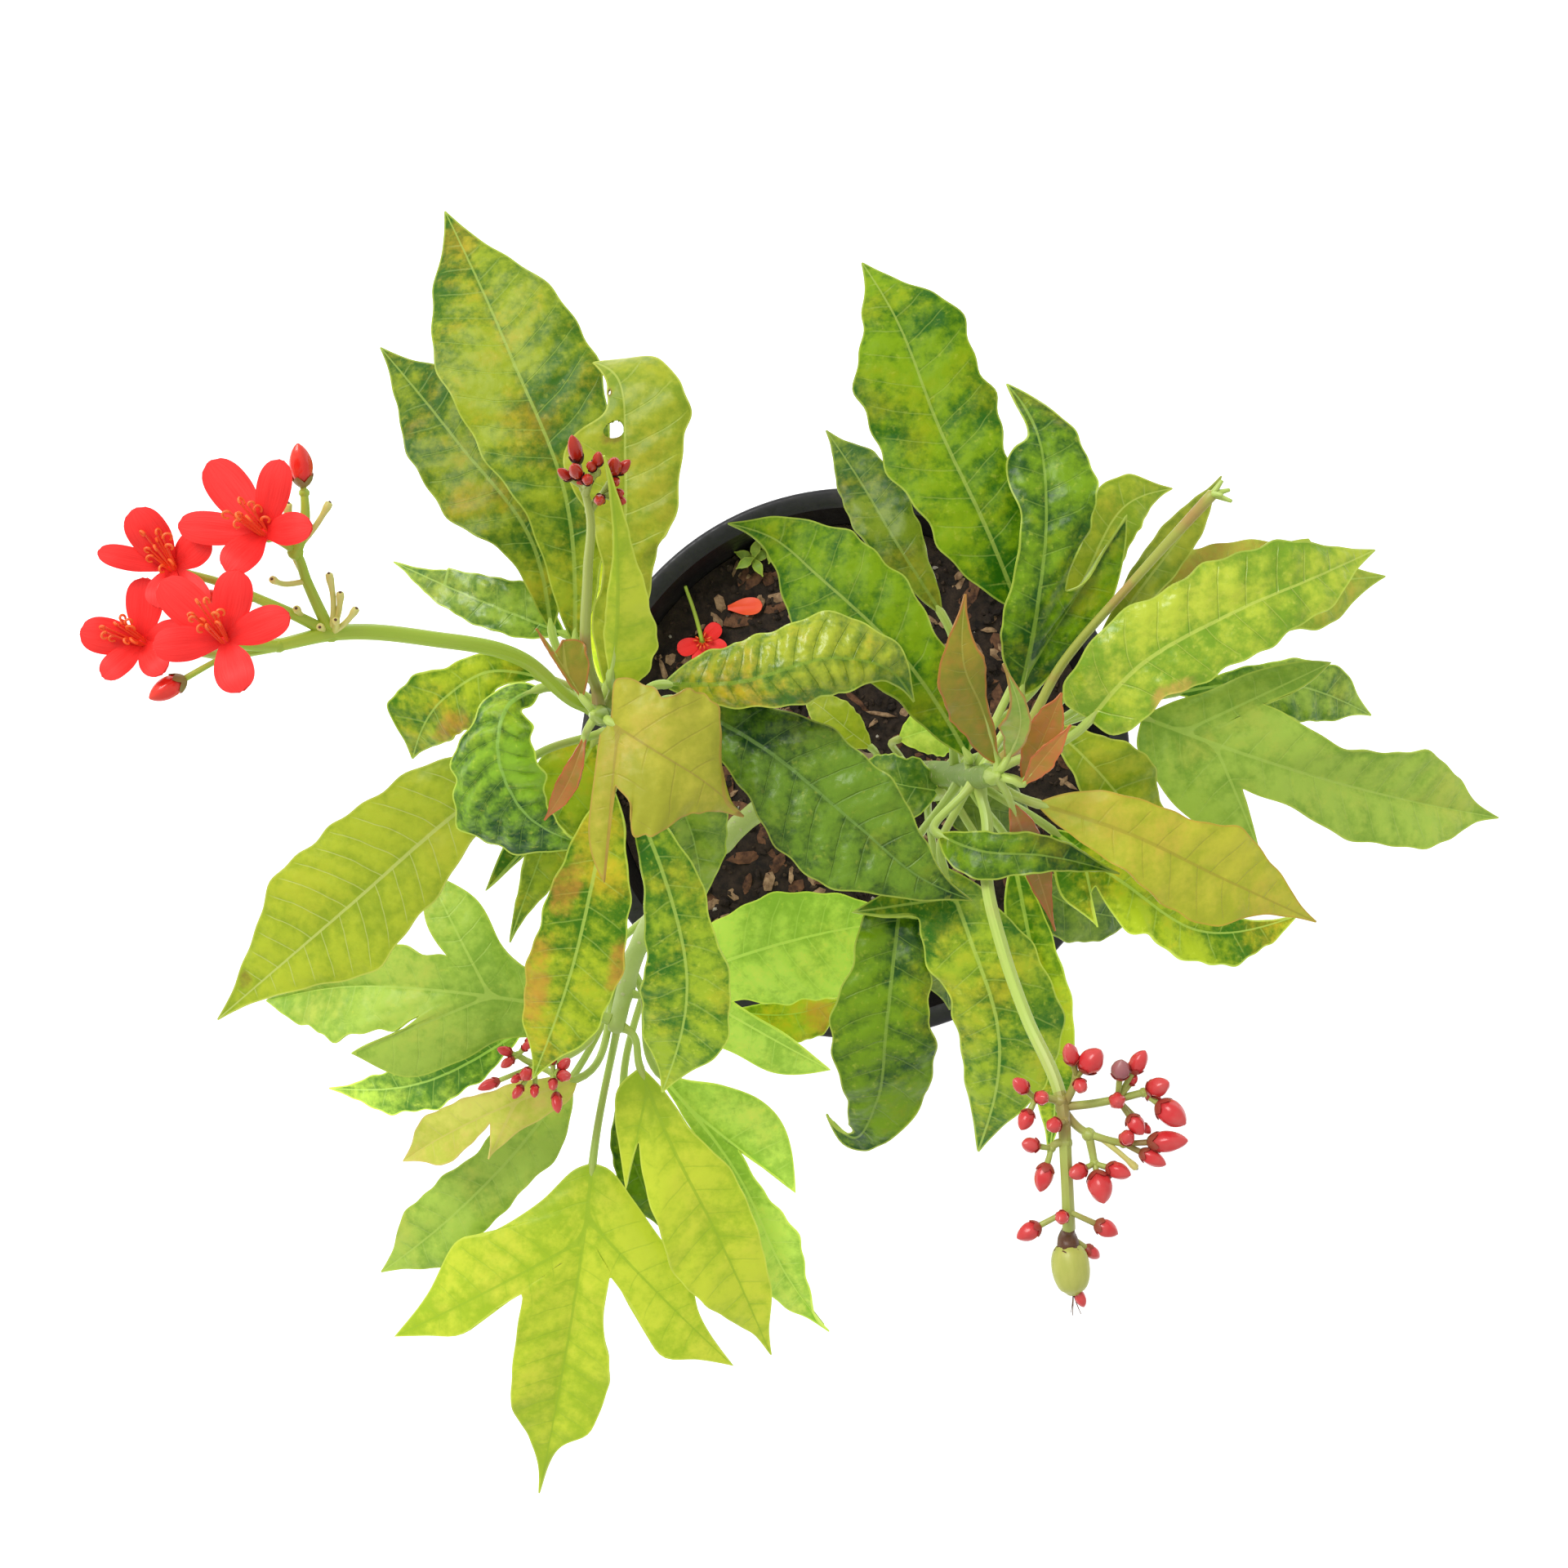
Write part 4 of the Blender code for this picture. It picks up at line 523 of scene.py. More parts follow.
# The leaves: 45 blades, each on its own stalk that grows from one of the three shoots.
# A blade is a thin glossy sheet, sunk along its side veins and puffed up between them,
# with a thick midrib under it; some are ovals, some have two side lobes or insect bites.
#
# Each row gives the shoot and height that carry the leaf, its midrib, and the half widths of
# its left and right sides at 0.2, 0.4, 0.6 and 0.8 of its length. A lobed or bitten side
# lists (place along the midrib, distance out, distance ahead) with TIP at a lobe's point.
TIP = True
LEAVES = {
    "leaf_left_01": ("left", 394, [(-81, 28, 402), (-82, 63, 410), (-97, 102, 408), (-117, 144, 388)],
        (8.5, 15.5, 18.5, 13), (8.5, 16.5, 19.5, 10.5)),
    "leaf_left_02": ("left", 378, [(-89, 33, 386), (-93, 55, 393), (-113, 82, 390), (-138, 112, 370)],
        (6.5, 14, 13, 6.5), (6.5, 12, 13.5, 9)),
    "leaf_left_03": ("left", 366, [(-87, 33, 374), (-110, 42, 376), (-136, 54, 362)],
        (5.5, 6.5, 5.5, 3),
        [(0.1, 7, 1.5), (0.3, 9, -1.5), (0.5, 6.5, -1), (0.64, 5, 1, TIP), (0.7, 4, -1.5), (0.85, 1.5, -0.5)]),
    "leaf_left_04": ("left", 400, [(-71.5, 16, 415), (-67, 45, 422), (-66, 72, 425), (-68, 92, 423),
                                   (-75, 98, 414)],
        [(0.1, 5, 2), (0.4, 5.5, -3), (0.5, 9, -2), (0.58, 14, -1.5), (0.68, 13, 0.5), (0.76, 5.5, -1),
         (0.85, 3.5, -1), (0.94, 1.5, 0.5)],
        [(0.1, 5.5, 4), (0.3, 7.5, 6), (0.5, 12, -1.5), (0.66, 15, 3), (0.78, 15.5, 0), (0.86, 13, -4.5),
         (0.92, 9, -6), (0.96, 4.5, -4)]),
    "leaf_left_05": ("left", 418, [(-69, 18.5, 431), (-66.7, 29, 441), (-65.6, 40, 451), (-65.4, 50, 459),
                                   (-66.9, 64.7, 471)],
        (3, 2.5, 1, 0.5),
        [(0.02, 4, -3), (0.06, 7.5, -1.5), (0.15, 9.5, 0), (0.25, 9, 0), (0.4, 7, 0), (0.6, 3.8, 0),
         (0.8, 1.9, 0), (0.92, 0.8, 0)]),
    "leaf_left_06": ("left", 382, [(-74, 17, 392), (-76, 38, 389), (-80, 61, 382), (-81, 77, 373)],
        (4, 6.5, 5.5, 3.5), (5.5, 7.5, 7, 4.5)),
    "leaf_left_07": ("left", 386, [(-91, 20, 396), (-103, 21, 402), (-115, 15, 396), (-128, -1, 376)],
        (4.5, 9.5, 9.5, 6), (4.5, 6, 10, 10)),
    "leaf_left_08": ("left", 402, [(-89, 16, 412), (-96, 11, 419), (-98, 2, 421), (-94, -13, 414),
                                   (-78, -24, 398)],
        [(0.04, 2.5, 0), (0.15, 3.5, 0), (0.3, 7.5, -2.5), (0.45, 9, 1), (0.6, 6.5, 2.5), (0.75, 3, 3.5),
         (0.9, 0.5, 2)],
        [(0.03, 2.5, 0.5), (0.12, 5, 4), (0.22, 8, 4), (0.35, 12, 2.5), (0.48, 15, -0.5), (0.6, 16, -1),
         (0.72, 12, -3.5), (0.86, 6, -2), (0.94, 3, -1)]),
    "leaf_left_09": ("left", 386, [(-94, -2, 397), (-110, -14, 400), (-141, -40, 394), (-181, -72, 376)],
        (8.5, 14, 16.5, 6.5), (15, 18, 19, 9.5)),
    "leaf_left_11": ("left", 370, [(-78, 4, 380), (-89, -17, 374), (-105, -53, 352)],
        (7.5, 8, 7, 3),
        [(0.071, 9.5, 4), (0.179, 9, 11.5), (0.25, 9, 18.5), (0.3, 8, 30, TIP), (0.366, 5, 17), (0.465, 4, 5),
         (0.666, 2.5, 3), (0.889, 1.5, -0.5)]),
    "leaf_left_12": ("left", 420, [(-69, 7, 432), (-58, 0, 436), (-47, -7, 432), (-37, -16, 422)],
        [(0.06, 8, -6.5), (0.2, 12, -5.5), (0.32, 12.5, -5), (0.44, 16, -7), (0.58, 18, -8.5), (0.7, 14, -9),
         (0.85, 4.5, -6.5), (0.95, -0.5, -3)],
        [(0, 4, -0.5), (0.018, 13, 3), (0.036, 25.5, 8.5), (0.06, 33.5, 17, TIP), (0.083, 21, 10),
         (0.12, 12, 4.5), (0.195, 15, 7), (0.292, 19, 6.5), (0.41, 19, 5), (0.571, 11.5, 2.5), (0.764, 6, 0),
         (0.914, 2.5, -1)]),
    "leaf_left_13": ("left", 390, [(-71, -9, 406), (-75, -27, 403), (-82, -54, 393), (-96, -89, 370)],
        (8, 12, 12.5, 9), (8, 11, 11.5, 8)),
    "leaf_left_14": ("left", 384, [(-66, -13, 396), (-59, -30, 397), (-53, -56, 389), (-61, -94, 362)],
        (8, 9, 12, 10.5), (5.5, 9.5, 12, 9.5)),
    "leaf_left_15": ("left", 408, [(-57, 17, 416), (-39, 17, 424), (-13, 23, 425), (-2, 21, 420), (6, 13, 409)],
        (9, 10, 11, 6.5), (5, 8.5, 9, 3.5)),
    "leaf_left_16": ("left", 399, [(-53, 13, 405), (-32, 1, 409), (-9, -18, 410), (8, -32, 408),
                                   (21.5, -38, 403)],
        (9.5, 14.5, 14, 7.5), (9, 15.5, 18, 8)),
    "leaf_left_17": ("left", 360, [(-63, 0, 372), (-54, -17, 370), (-50, -42, 354)],
        (11, 11, 9, 4.5), (5.5, 6.5, 7, 3.5)),
    "leaf_right_00": ("right", 392, [(21, -1, 398), (5, 23, 403), (-18, 46, 398), (-30, 57, 390),
                                     (-42, 62, 382)],
        (7.5, 12, 13.5, 5), (8, 12.5, 15, 9)),
    "leaf_right_01": ("right", 394, [(34, 37, 400), (26, 55, 405), (13, 84, 402), (3, 112, 396),
                                     (-6, 132, 382)],
        (12, 15.5, 17, 9), (9.5, 14.5, 16, 12.5)),
    "leaf_right_02": ("right", 362, [(16, 39, 372), (3, 59, 374), (-5, 74, 368), (-15, 92, 355)],
        (4.5, 7.5, 7.5, 4), (5, 8.5, 9.5, 6.5)),
    "leaf_right_03": ("right", 400, [(34, 15, 402), (37, 37, 412), (39, 58, 414), (37, 83, 408), (31, 96, 398)],
        [(0.1, 6.5, 0.5), (0.28, 8, -3), (0.42, 7, -2), (0.55, 6.5, -1.5), (0.66, 10, 0), (0.74, 7, 0),
         (0.82, 2.5, -3), (0.92, 1.5, 0)],
        [(0.004, 3, 1), (0.016, 9, 8), (0.028, 16.5, 17.5), (0.04, 20, 25.5), (0.05, 21, 36),
         (0.06, 20, 45, TIP), (0.095, 16, 34), (0.13, 12, 21), (0.165, 6.5, 14), (0.309, 9, 13.5),
         (0.453, 12, 8.5), (0.597, 12.5, 3), (0.741, 10.5, -1.5), (0.856, 7, -3.5), (0.942, 2.5, -0.5)]),
    "leaf_right_04": ("right", 340, [(50, 29, 352), (59, 52, 354), (70, 71, 350), (86, 78, 340)],
        (4, 7.5, 9, 7.5), (4, 7, 8, 5.5)),
    "leaf_right_05": ("right", 378, [(51, 20, 390), (65, 41, 393), (79, 59, 390), (91, 75, 380)],
        (2, 4.5, 5.5, 3.5), (3, 4.5, 5, 3)),
    "leaf_right_06": ("right", 366, [(59, 17, 374), (81, 34, 378), (111, 45, 374), (141, 50, 362)],
        [(0.1, 6, -0.5), (0.3, 13, -3.5), (0.42, 18, -3), (0.55, 17.5, -4.5), (0.68, 13, -1.5),
         (0.74, 13, 0.5, TIP), (0.8, 7.5, -1.5), (0.92, 2.5, -1)],
        (5, 9.5, 11, 10.5)),
    "leaf_right_07": ("right", 410, [(49, 8, 420), (59, 20, 427), (83, 34, 428), (104, 43, 423),
                                     (122, 51, 413)],
        [(0.02, 6, -2.5), (0.06, 10, -3.5), (0.12, 12, -2.5), (0.2, 12.5, -0.5), (0.4, 13, 0), (0.6, 13, 0),
         (0.8, 8, 0), (0.91, 3, 0)],
        [(0.02, 5, -2), (0.06, 8.5, -2.5), (0.12, 10, -1.5), (0.2, 10.5, 0), (0.4, 12, 0), (0.6, 10.5, 0),
         (0.8, 7, 0), (0.91, 2.5, 0)]),
    "leaf_right_08": ("right", 346, [(75, 11, 352), (104, 0, 357), (136, -9, 350), (184, -18, 332)],
        [(0.009, 5.5, 3.5), (0.036, 14.5, 11), (0.059, 24, 18), (0.077, 30.5, 26), (0.1, 34, 33, TIP),
         (0.12, 24.5, 25.5), (0.145, 15, 13), (0.219, 14, 16.5), (0.318, 10, 19), (0.442, 12, 17.5),
         (0.603, 14.5, 14), (0.752, 10, 9), (0.901, 3.5, 1.5)],
        [(0.015, 6.5, -1), (0.053, 13.5, 1.5), (0.09, 21, 7.5), (0.135, 24.5, 15.5), (0.18, 24, 23.5, TIP),
         (0.199, 15.5, 14.5), (0.225, 9, 6), (0.326, 11, 10), (0.461, 14.5, 12.5), (0.607, 13.5, 13),
         (0.775, 9, 8), (0.91, 2.5, 2)]),
    "leaf_right_09": ("right", 322, [(89, 19, 330), (118, 22, 330), (152, 13, 314)],
        (3.5, 6, 8.5, 7.5), (5, 8, 10, 6.5)),
    "leaf_right_10": ("right", 404, [(37, -13, 413), (58, -20, 419), (82, -31, 412), (112, -44, 396)],
        (8.5, 9.5, 13, 7), (7, 11, 13, 4)),
    "leaf_right_11": ("right", 386, [(43, 7, 396), (54, -4, 398), (67, -18, 390), (79, -30, 380)],
        (7.5, 12.5, 9, 4.5), (5, 8, 9, 5)),
    "leaf_right_12": ("right", 382, [(43, -20, 396), (62, -34, 394), (83, -47, 386), (113, -44, 374)],
        (6, 8.5, 8.5, 3),
        [(0.021, 5, 2), (0.052, 11.5, 6.5), (0.089, 13.5, 11), (0.12, 14, 15, TIP), (0.133, 9, 8.5),
         (0.15, 4.5, 5.5), (0.223, 9, 11), (0.344, 7.5, 10.5), (0.49, 7, 10.5), (0.66, 7.5, 7), (0.806, 6, 3),
         (0.915, 3.5, 0.5)]),
    "leaf_right_13": ("right", 396, [(13, -21, 401), (23, -25, 409), (38, -26, 413), (59, -31, 405)],
        (4.5, 5.5, 5, 2.5), (7, 6, 4, 2)),
    "leaf_right_14": ("right", 384, [(15, -30, 393), (21, -47, 397), (29, -70, 392), (27, -110, 365)],
        (11.5, 16.5, 16, 8),
        [(0.02, 8.5, -2), (0.05, 17, -3.5), (0.09, 26, -5, TIP), (0.14, 19.5, -6), (0.2, 13, -9.5),
         (0.3, 11.5, -12.5), (0.4, 13, -11.5), (0.5, 11.5, -11.5), (0.6, 11.5, -10.5), (0.72, 10, -7),
         (0.85, 6.5, -4.5), (0.95, 2.5, -2)]),
    "leaf_right_15": ("right", 376, [(34, -28, 388), (40, -56, 384), (47, -84, 373), (48, -114, 354)],
        (5.5, 7.5, 6, 3), (6.5, 9, 8, 4.5)),
    "leaf_right_16": ("right", 372, [(5, -33, 386), (2, -53, 392), (0, -72, 391), (-2, -94, 378),
                                     (-8, -106, 366), (-15, -101, 358)],
        [(0.1, 4.5, -2.5), (0.3, 9.5, -5), (0.45, 11.5, -6.5), (0.6, 13.5, -6.5), (0.72, 12.5, -6.5),
         (0.82, 7.5, -3), (0.9, 2.5, -5.5), (0.96, 2.5, -3.5)],
        [(0.1, 7.5, -1), (0.25, 11, -1), (0.4, 14, -1), (0.52, 14.5, -1.5), (0.64, 9, 2), (0.74, 6.5, 1.5),
         (0.84, 3.5, -0.5), (0.94, -0.5, 0.5)]),
    "leaf_right_17": ("right", 326, [(18, -10, 340), (6, -8, 341), (-8, -4, 330)],
        (9, 10.5, 10, 6), (8, 8, 8, 5)),
    "leaf_right_18": ("right", 332, [(38, -32, 342), (56, -43, 342), (78, -48, 330)],
        (4.5, 8, 8, 5), (7, 10, 9.5, 5.5)),
    "leaf_low_01": ("low", 328, [(-85, -123, 318), (-87, -142, 320), (-91, -167, 316), (-104, -231, 296)],
        [(0.011, 4.5, -0.5), (0.038, 14, 6), (0.065, 24, 14.5), (0.086, 32, 19.5), (0.108, 36.5, 29.5),
         (0.14, 50, 42, TIP), (0.152, 39, 38.5), (0.161, 28.5, 37), (0.173, 18.5, 22.5), (0.185, 9.5, 11.5),
         (0.282, 9.5, 14), (0.42, 13.5, 11), (0.586, 14.5, 5.5), (0.724, 11.5, 4), (0.834, 4, -0.5),
         (0.931, 1, -2.5)],
        [(0.015, 4.5, 0), (0.054, 15, 7), (0.092, 29, 14), (0.123, 39, 15.5), (0.154, 45.5, 29),
         (0.2, 54, 40.5, TIP), (0.208, 43.5, 36.5), (0.215, 33, 33), (0.223, 24, 23), (0.23, 16, 15.5),
         (0.31, 15.5, 17.5), (0.442, 15, 19.5), (0.602, 12.5, 13.5), (0.734, 7.5, 7), (0.841, 4, 2),
         (0.934, 1.5, -0.5)]),
    "leaf_low_02": ("low", 333, [(-69, -91, 338), (-61, -110, 341), (-47, -140, 334), (-31, -182, 314)],
        (7, 12.5, 11, 7),
        [(0.008, 6.5, 1), (0.026, 12, 7.5), (0.044, 14.5, 15), (0.06, 17.5, 25, TIP), (0.075, 12, 15.5),
         (0.09, 8.5, 10), (0.182, 11.5, 12.5), (0.341, 14.5, 12.5), (0.472, 16, 12), (0.631, 11.5, 8.5),
         (0.802, 6, 3.5), (0.921, 2, -0.5)]),
    "leaf_low_03": ("low", 318, [(-65, -95, 320), (-42, -124, 320), (-26, -159, 310), (-13, -179, 300)],
        [(0.018, 4.5, 5), (0.047, 12, 11), (0.076, 17.5, 19), (0.105, 17.5, 27), (0.14, 7.5, 40, TIP),
         (0.177, 6.5, 25), (0.215, 4.5, 11), (0.346, 3.5, 10), (0.5, 8, 6.5), (0.643, 8, 5.5), (0.786, 3, 5.5),
         (0.905, -0.5, 3)],
        (3.5, 6.5, 8.5, 7.5)),
    "leaf_low_04": ("low", 324, [(-68, -71, 322), (-42, -60, 326), (-10, -52, 320), (15, -50, 308)],
        (8.5, 14.5, 13.5, 7),
        [(0.013, 7, 1), (0.033, 17.5, 4.5), (0.053, 27.5, 11.5), (0.073, 37, 17.5), (0.1, 43.5, 31.5, TIP),
         (0.125, 29, 22.5), (0.15, 20, 14.5), (0.175, 12, 7), (0.36, 17.5, 6.5), (0.573, 19, 5),
         (0.787, 12, 4)]),
    "leaf_low_05": ("low", 320, [(-93, -75, 324), (-124, -70, 328), (-158, -69, 320), (-187, -75, 306)],
        [(0.023, 7, -1.5), (0.076, 13, 10), (0.129, 21, 15.5), (0.174, 26, 25), (0.22, 24.5, 38.5, TIP),
         (0.262, 16, 23.5), (0.295, 8, 12.5), (0.431, 13.5, 11), (0.568, 15.5, 11.5), (0.75, 11, 8),
         (0.886, 4.5, 5)],
        [(0.024, 6.5, 2.5), (0.079, 11, 7), (0.126, 17.5, 9.5), (0.173, 26, 14), (0.22, 33.5, 25, TIP),
         (0.235, 19, 21), (0.25, 9.5, 11), (0.375, 12.5, 11), (0.625, 7.5, 11), (0.85, 3.5, 4.5)]),
    "leaf_low_06": ("low", 296, [(-109, -85, 298), (-139, -101, 300), (-172, -105, 288)],
        (5.5, 8, 8.5, 5), (5, 7, 6.5, 3.5)),
    "leaf_low_07": ("low", 318, [(-88, -95, 333), (-106, -101, 339), (-126, -111, 334), (-141, -121, 324)],
        [(0.04, 4.5, 0.5), (0.12, 7.5, 5), (0.2, 9, 10), (0.3, 13, 13.5, TIP), (0.36, 7.5, 7.5), (0.42, 2.5, 2),
         (0.55, 6, 2.5), (0.7, 7, 4.5), (0.85, 2.5, 3)],
        (4.5, 6, 7.5, 6.5)),
    "leaf_low_08": ("low", 308, [(-92, -98, 314), (-107, -118, 314), (-129, -141, 307), (-154, -162, 294)],
        (10, 9.5, 10.5, 10), (8.5, 9, 11, 9)),
    "leaf_trunk_01": ("right", 288, [(9, 6, 300), (19, 9, 303), (34, 11, 300)],
        (5.5, 8.5, 8, 4.5), (5.5, 8.5, 8, 4.5)),
    "leaf_trunk_02": ("low", 284, [(-43, -79, 300), (-26, -80, 300), (-8, -76, 292)],
        (3, 5, 5.5, 3), (4.5, 7, 9, 6.5)),
}

# A blade's two sides rise from its midrib in a shallow V, or by the folds given here. SAG and
# RIPPLE bend them, WAVES makes the margin wavy, VEIN_SWEEP and VEIN_BEND lean the side veins
# towards the tip, VEIN_STEP spaces them, and QUILT puffs the blade up between them.
SHALLOW_V = (0.12, 0.12)
LEAF_FOLDS = {"leaf_left_05": (0.0, -0.5), "leaf_left_08": (-0.5, -0.45), "leaf_left_15": (-0.2, -0.3)}
BLADE_THICKNESS = 0.8
SAG = 0.006
RIPPLE = 0.7
STALK_RADIUS = 1.15
WAVES = 0.035
VEIN_SWEEP = 0.30
VEIN_BEND = 0.014
VEIN_STEP = 8.0
QUILT = 0.5
FAR_AWAY = 99.0
MIDRIB = 0.6
LOBE_RIB = 0.5
SKIN, UNDERSIDE, RIB = range(3)


def edge_points(side):
    """A side's outline as (place along the rib, out, ahead, is a lobe tip) rows. Four half
    widths get a start and an end of their own, at 0.42 and 0.36 of the nearest width."""
    if isinstance(side, list):
        rows = [(*row, False)[:4] for row in side]
    else:
        outs = (0.42 * side[0], *side, 0.36 * side[3])
        rows = [(at, out, 0.0, False) for at, out in zip((0.05, 0.2, 0.4, 0.6, 0.8, 0.91), outs)]
    start = [(0.0, 0.5, 0.0, False)] if rows[0][0] > 0.0 else []
    return start + rows + [(1.0, 0.25, 0.0, False)]


def edge_at(side, at):
    """How far the margin stands out from the rib and ahead of it: cubics, broken at each lobe's
    tip and in the notch behind it, where the rows' spacing more than doubles."""
    rows = np.array(edge_points(side), float)
    knots, values, tips = rows[:, 0], rows[:, 1:3], rows[:, 3]
    gaps = np.diff(knots)
    notch = np.pad((gaps[1:] > 2.0 * gaps[:-1]) & (np.cumsum(tips)[1:-1] > 0), (1, 0))
    breaks = np.unique([0, *np.flatnonzero((tips[:-1] > 0) | notch), len(knots) - 1])
    result = np.zeros((len(at), 2))
    for a, b in zip(breaks[:-1], breaks[1:]):
        inside = (at >= knots[a]) & (at <= knots[b])
        result[inside] = curve_through(knots[a:b + 1], values[a:b + 1], at[inside])
    return result


def rib_at(rib, at):
    """Points on the midrib, and its level direction there."""
    rib = np.asarray(rib, float)
    knots = run_along(rib) / run_along(rib)[-1]
    ahead, behind = (curve_through(knots, rib, np.clip(at + step, 0.0, 1.0)) for step in (0.002, -0.002))
    return curve_through(knots, rib, at), unit((ahead - behind)[:, :2])


def nearest_on(line, points):
    """For every point, its level distance to a broken line and how far along the line that is:
    the point is dropped square on each stretch, held to its ends, and the closest is kept."""
    start, step = line[:-1, :2], np.diff(line[:, :2], axis=0)
    length = np.maximum(np.linalg.norm(step, axis=1), 1e-6)
    gap = points[:, None, :2] - start
    share = np.clip((gap * step).sum(-1) / length**2, 0.0, 1.0)
    far = np.linalg.norm(gap - share[..., None] * step, axis=-1)
    best = far.argmin(axis=1)
    pick = np.arange(len(points))
    run = np.cumsum(length) - length
    return far[pick, best], run[best] + share[pick, best] * length[best]


def ease(x):
    """Rises smoothly from 0 to 1 as x goes from 0 to 1: 3 x squared less 2 x cubed."""
    x = np.clip(x, 0.0, 1.0)
    return x * x * (3.0 - 2.0 * x)


def sheet(middle, thickness, marks, keep=None):
    """A grid of points given a thickness: half of it each way along the grid's own normal, the
    cross product of its two directions. Faces are kept where keep says so, and every edge
    that then has one face is walled. Marks go with the points. Last comes whether each face
    looks down, by the cross product of its diagonals."""
    rows, columns = middle.shape[:2]
    along = np.gradient(middle, axis=0)
    over = np.gradient(middle, axis=1)
    normal = np.cross(over, along)
    normal /= np.maximum(np.linalg.norm(normal, axis=-1), 1e-9)[..., None]
    normal *= np.where(normal[..., 2:].mean() < 0.0, -1.0, 1.0)
    lift = normal * thickness[..., None] / 2.0
    points = np.concatenate([(middle + lift).reshape(-1, 3), (middle - lift).reshape(-1, 3)])
    i, j = np.meshgrid(np.arange(rows - 1), np.arange(columns - 1), indexing="ij")
    corner = i * columns + j
    upper = np.stack([corner, corner + 1, corner + columns + 1, corner + columns], axis=-1)
    if keep is not None:
        upper = upper[keep]
    upper = upper.reshape(-1, 4)
    flow = np.cross(middle.reshape(-1, 3)[upper[:, 1]] - middle.reshape(-1, 3)[upper[:, 0]],
                    middle.reshape(-1, 3)[upper[:, 3]] - middle.reshape(-1, 3)[upper[:, 0]])
    if (flow * normal.reshape(-1, 3)[upper[:, 0]]).sum() < 0.0:
        upper = upper[:, ::-1]
    count = rows * columns
    pairs = np.stack([upper, np.roll(upper, -1, axis=1)], axis=-1).reshape(-1, 2)
    key = np.sort(pairs, axis=1) @ np.array([count, 1])
    _, first, times = np.unique(key, return_index=True, return_counts=True)
    rim = pairs[first[times == 1]]
    wall = np.stack([rim[:, 1], rim[:, 0], rim[:, 0] + count, rim[:, 1] + count], axis=-1)
    faces = np.concatenate([upper, upper[:, ::-1] + count, wall])
    flat = np.concatenate([marks.reshape(-1, marks.shape[-1])] * 2)
    spans = points[faces[:, 2:]] - points[faces[:, :2]]
    looks_down = np.cross(spans[:, 0], spans[:, 1])[:, 2] < 0.0
    return points, faces, flat[faces], looks_down


def blade_rows(rib, left, right, rows):
    """Places along the midrib where the blade has a row of points: even steps of the length that
    both margins run, with one at each lobe's tip. Last comes the midrib's length."""
    even = np.linspace(0.0, 1.0, 1001)
    length = run_along(rib_at(rib, even)[0])[-1]
    margins = [edge_at(side, even) + np.outer(even, (0.0, length)) for side in (left, right)]
    travel = run_along(np.concatenate(margins, axis=1))
    at = np.interp(np.linspace(0.0, travel[-1], rows), travel, even)
    for tip in (row[0] for side in (left, right) for row in edge_points(side) if row[3]):
        at[np.abs(at - tip).argmin()] = tip
    return at, length


def wavy_edge(side, at, phase, number, waves):
    """edge_at, with out multiplied by 1 plus waves times two sines that fade at both ends."""
    edge = edge_at(side, at)
    swing = np.sin(2.0 * np.pi * 4.3 * at + phase + 2.0 * number)
    swing += 0.6 * np.sin(2.0 * np.pi * 9.7 * at + 2.0 * phase - number)
    edge[:, 0] *= 1.0 + waves * swing * ease(at / 0.15) * ease((1.0 - at) / 0.15)
    return edge


def cut_hole(middle, keep, place, over, hole):
    """Drops the faces inside an oval hole, and moves the points near its edge out on to it."""
    hole_at, hole_over, long, wide = hole
    spot = (np.abs(place[:, 0] - hole_at).argmin(), np.abs(over[0] - hole_over).argmin())
    deep = np.hypot((place - place[spot]) / long, (over - over[spot]) / wide)
    inside = deep < 1.0
    keep &= ~(inside[:-1, :-1] & inside[1:, :-1] & inside[:-1, 1:] & inside[1:, 1:])
    edge = inside & (deep > 0.4)
    middle[edge] = middle[spot] + (middle[edge] - middle[spot]) / deep[edge][:, None]


def side_veins(points, ribs, half_of, margin, spacing):
    """For every point the count of side veins, how clear they are, the distance d to the nearest
    rib, and that in half rib widths. The count is (run along the rib - VEIN_SWEEP d - VEIN_BEND
    d squared) / spacing; it fades near the margin and where a second rib is as close."""
    rows = []
    for line, sign_of, radius in ribs:
        away, run = nearest_on(line, points)
        away = np.where((sign_of == 0) | (half_of == sign_of), away, FAR_AWAY)
        rows.append((away, run, radius * (1.0 - 0.7 * run / run_along(line)[-1])))
    rows.append((np.full(len(points), FAR_AWAY), np.zeros(len(points)), np.ones(len(points))))
    far, run, thick = np.array(rows).transpose(1, 0, 2)
    order = far.argsort(axis=0)
    first, second = ((order[k], np.arange(len(points))) for k in (0, 1))
    near = far[first]
    count = (run[first] - VEIN_SWEEP * near - VEIN_BEND * near**2) / spacing
    return count, ease((far[second] - near) / 3.0) * ease((margin - 0.6) / 2.5), near, near / thick[first]


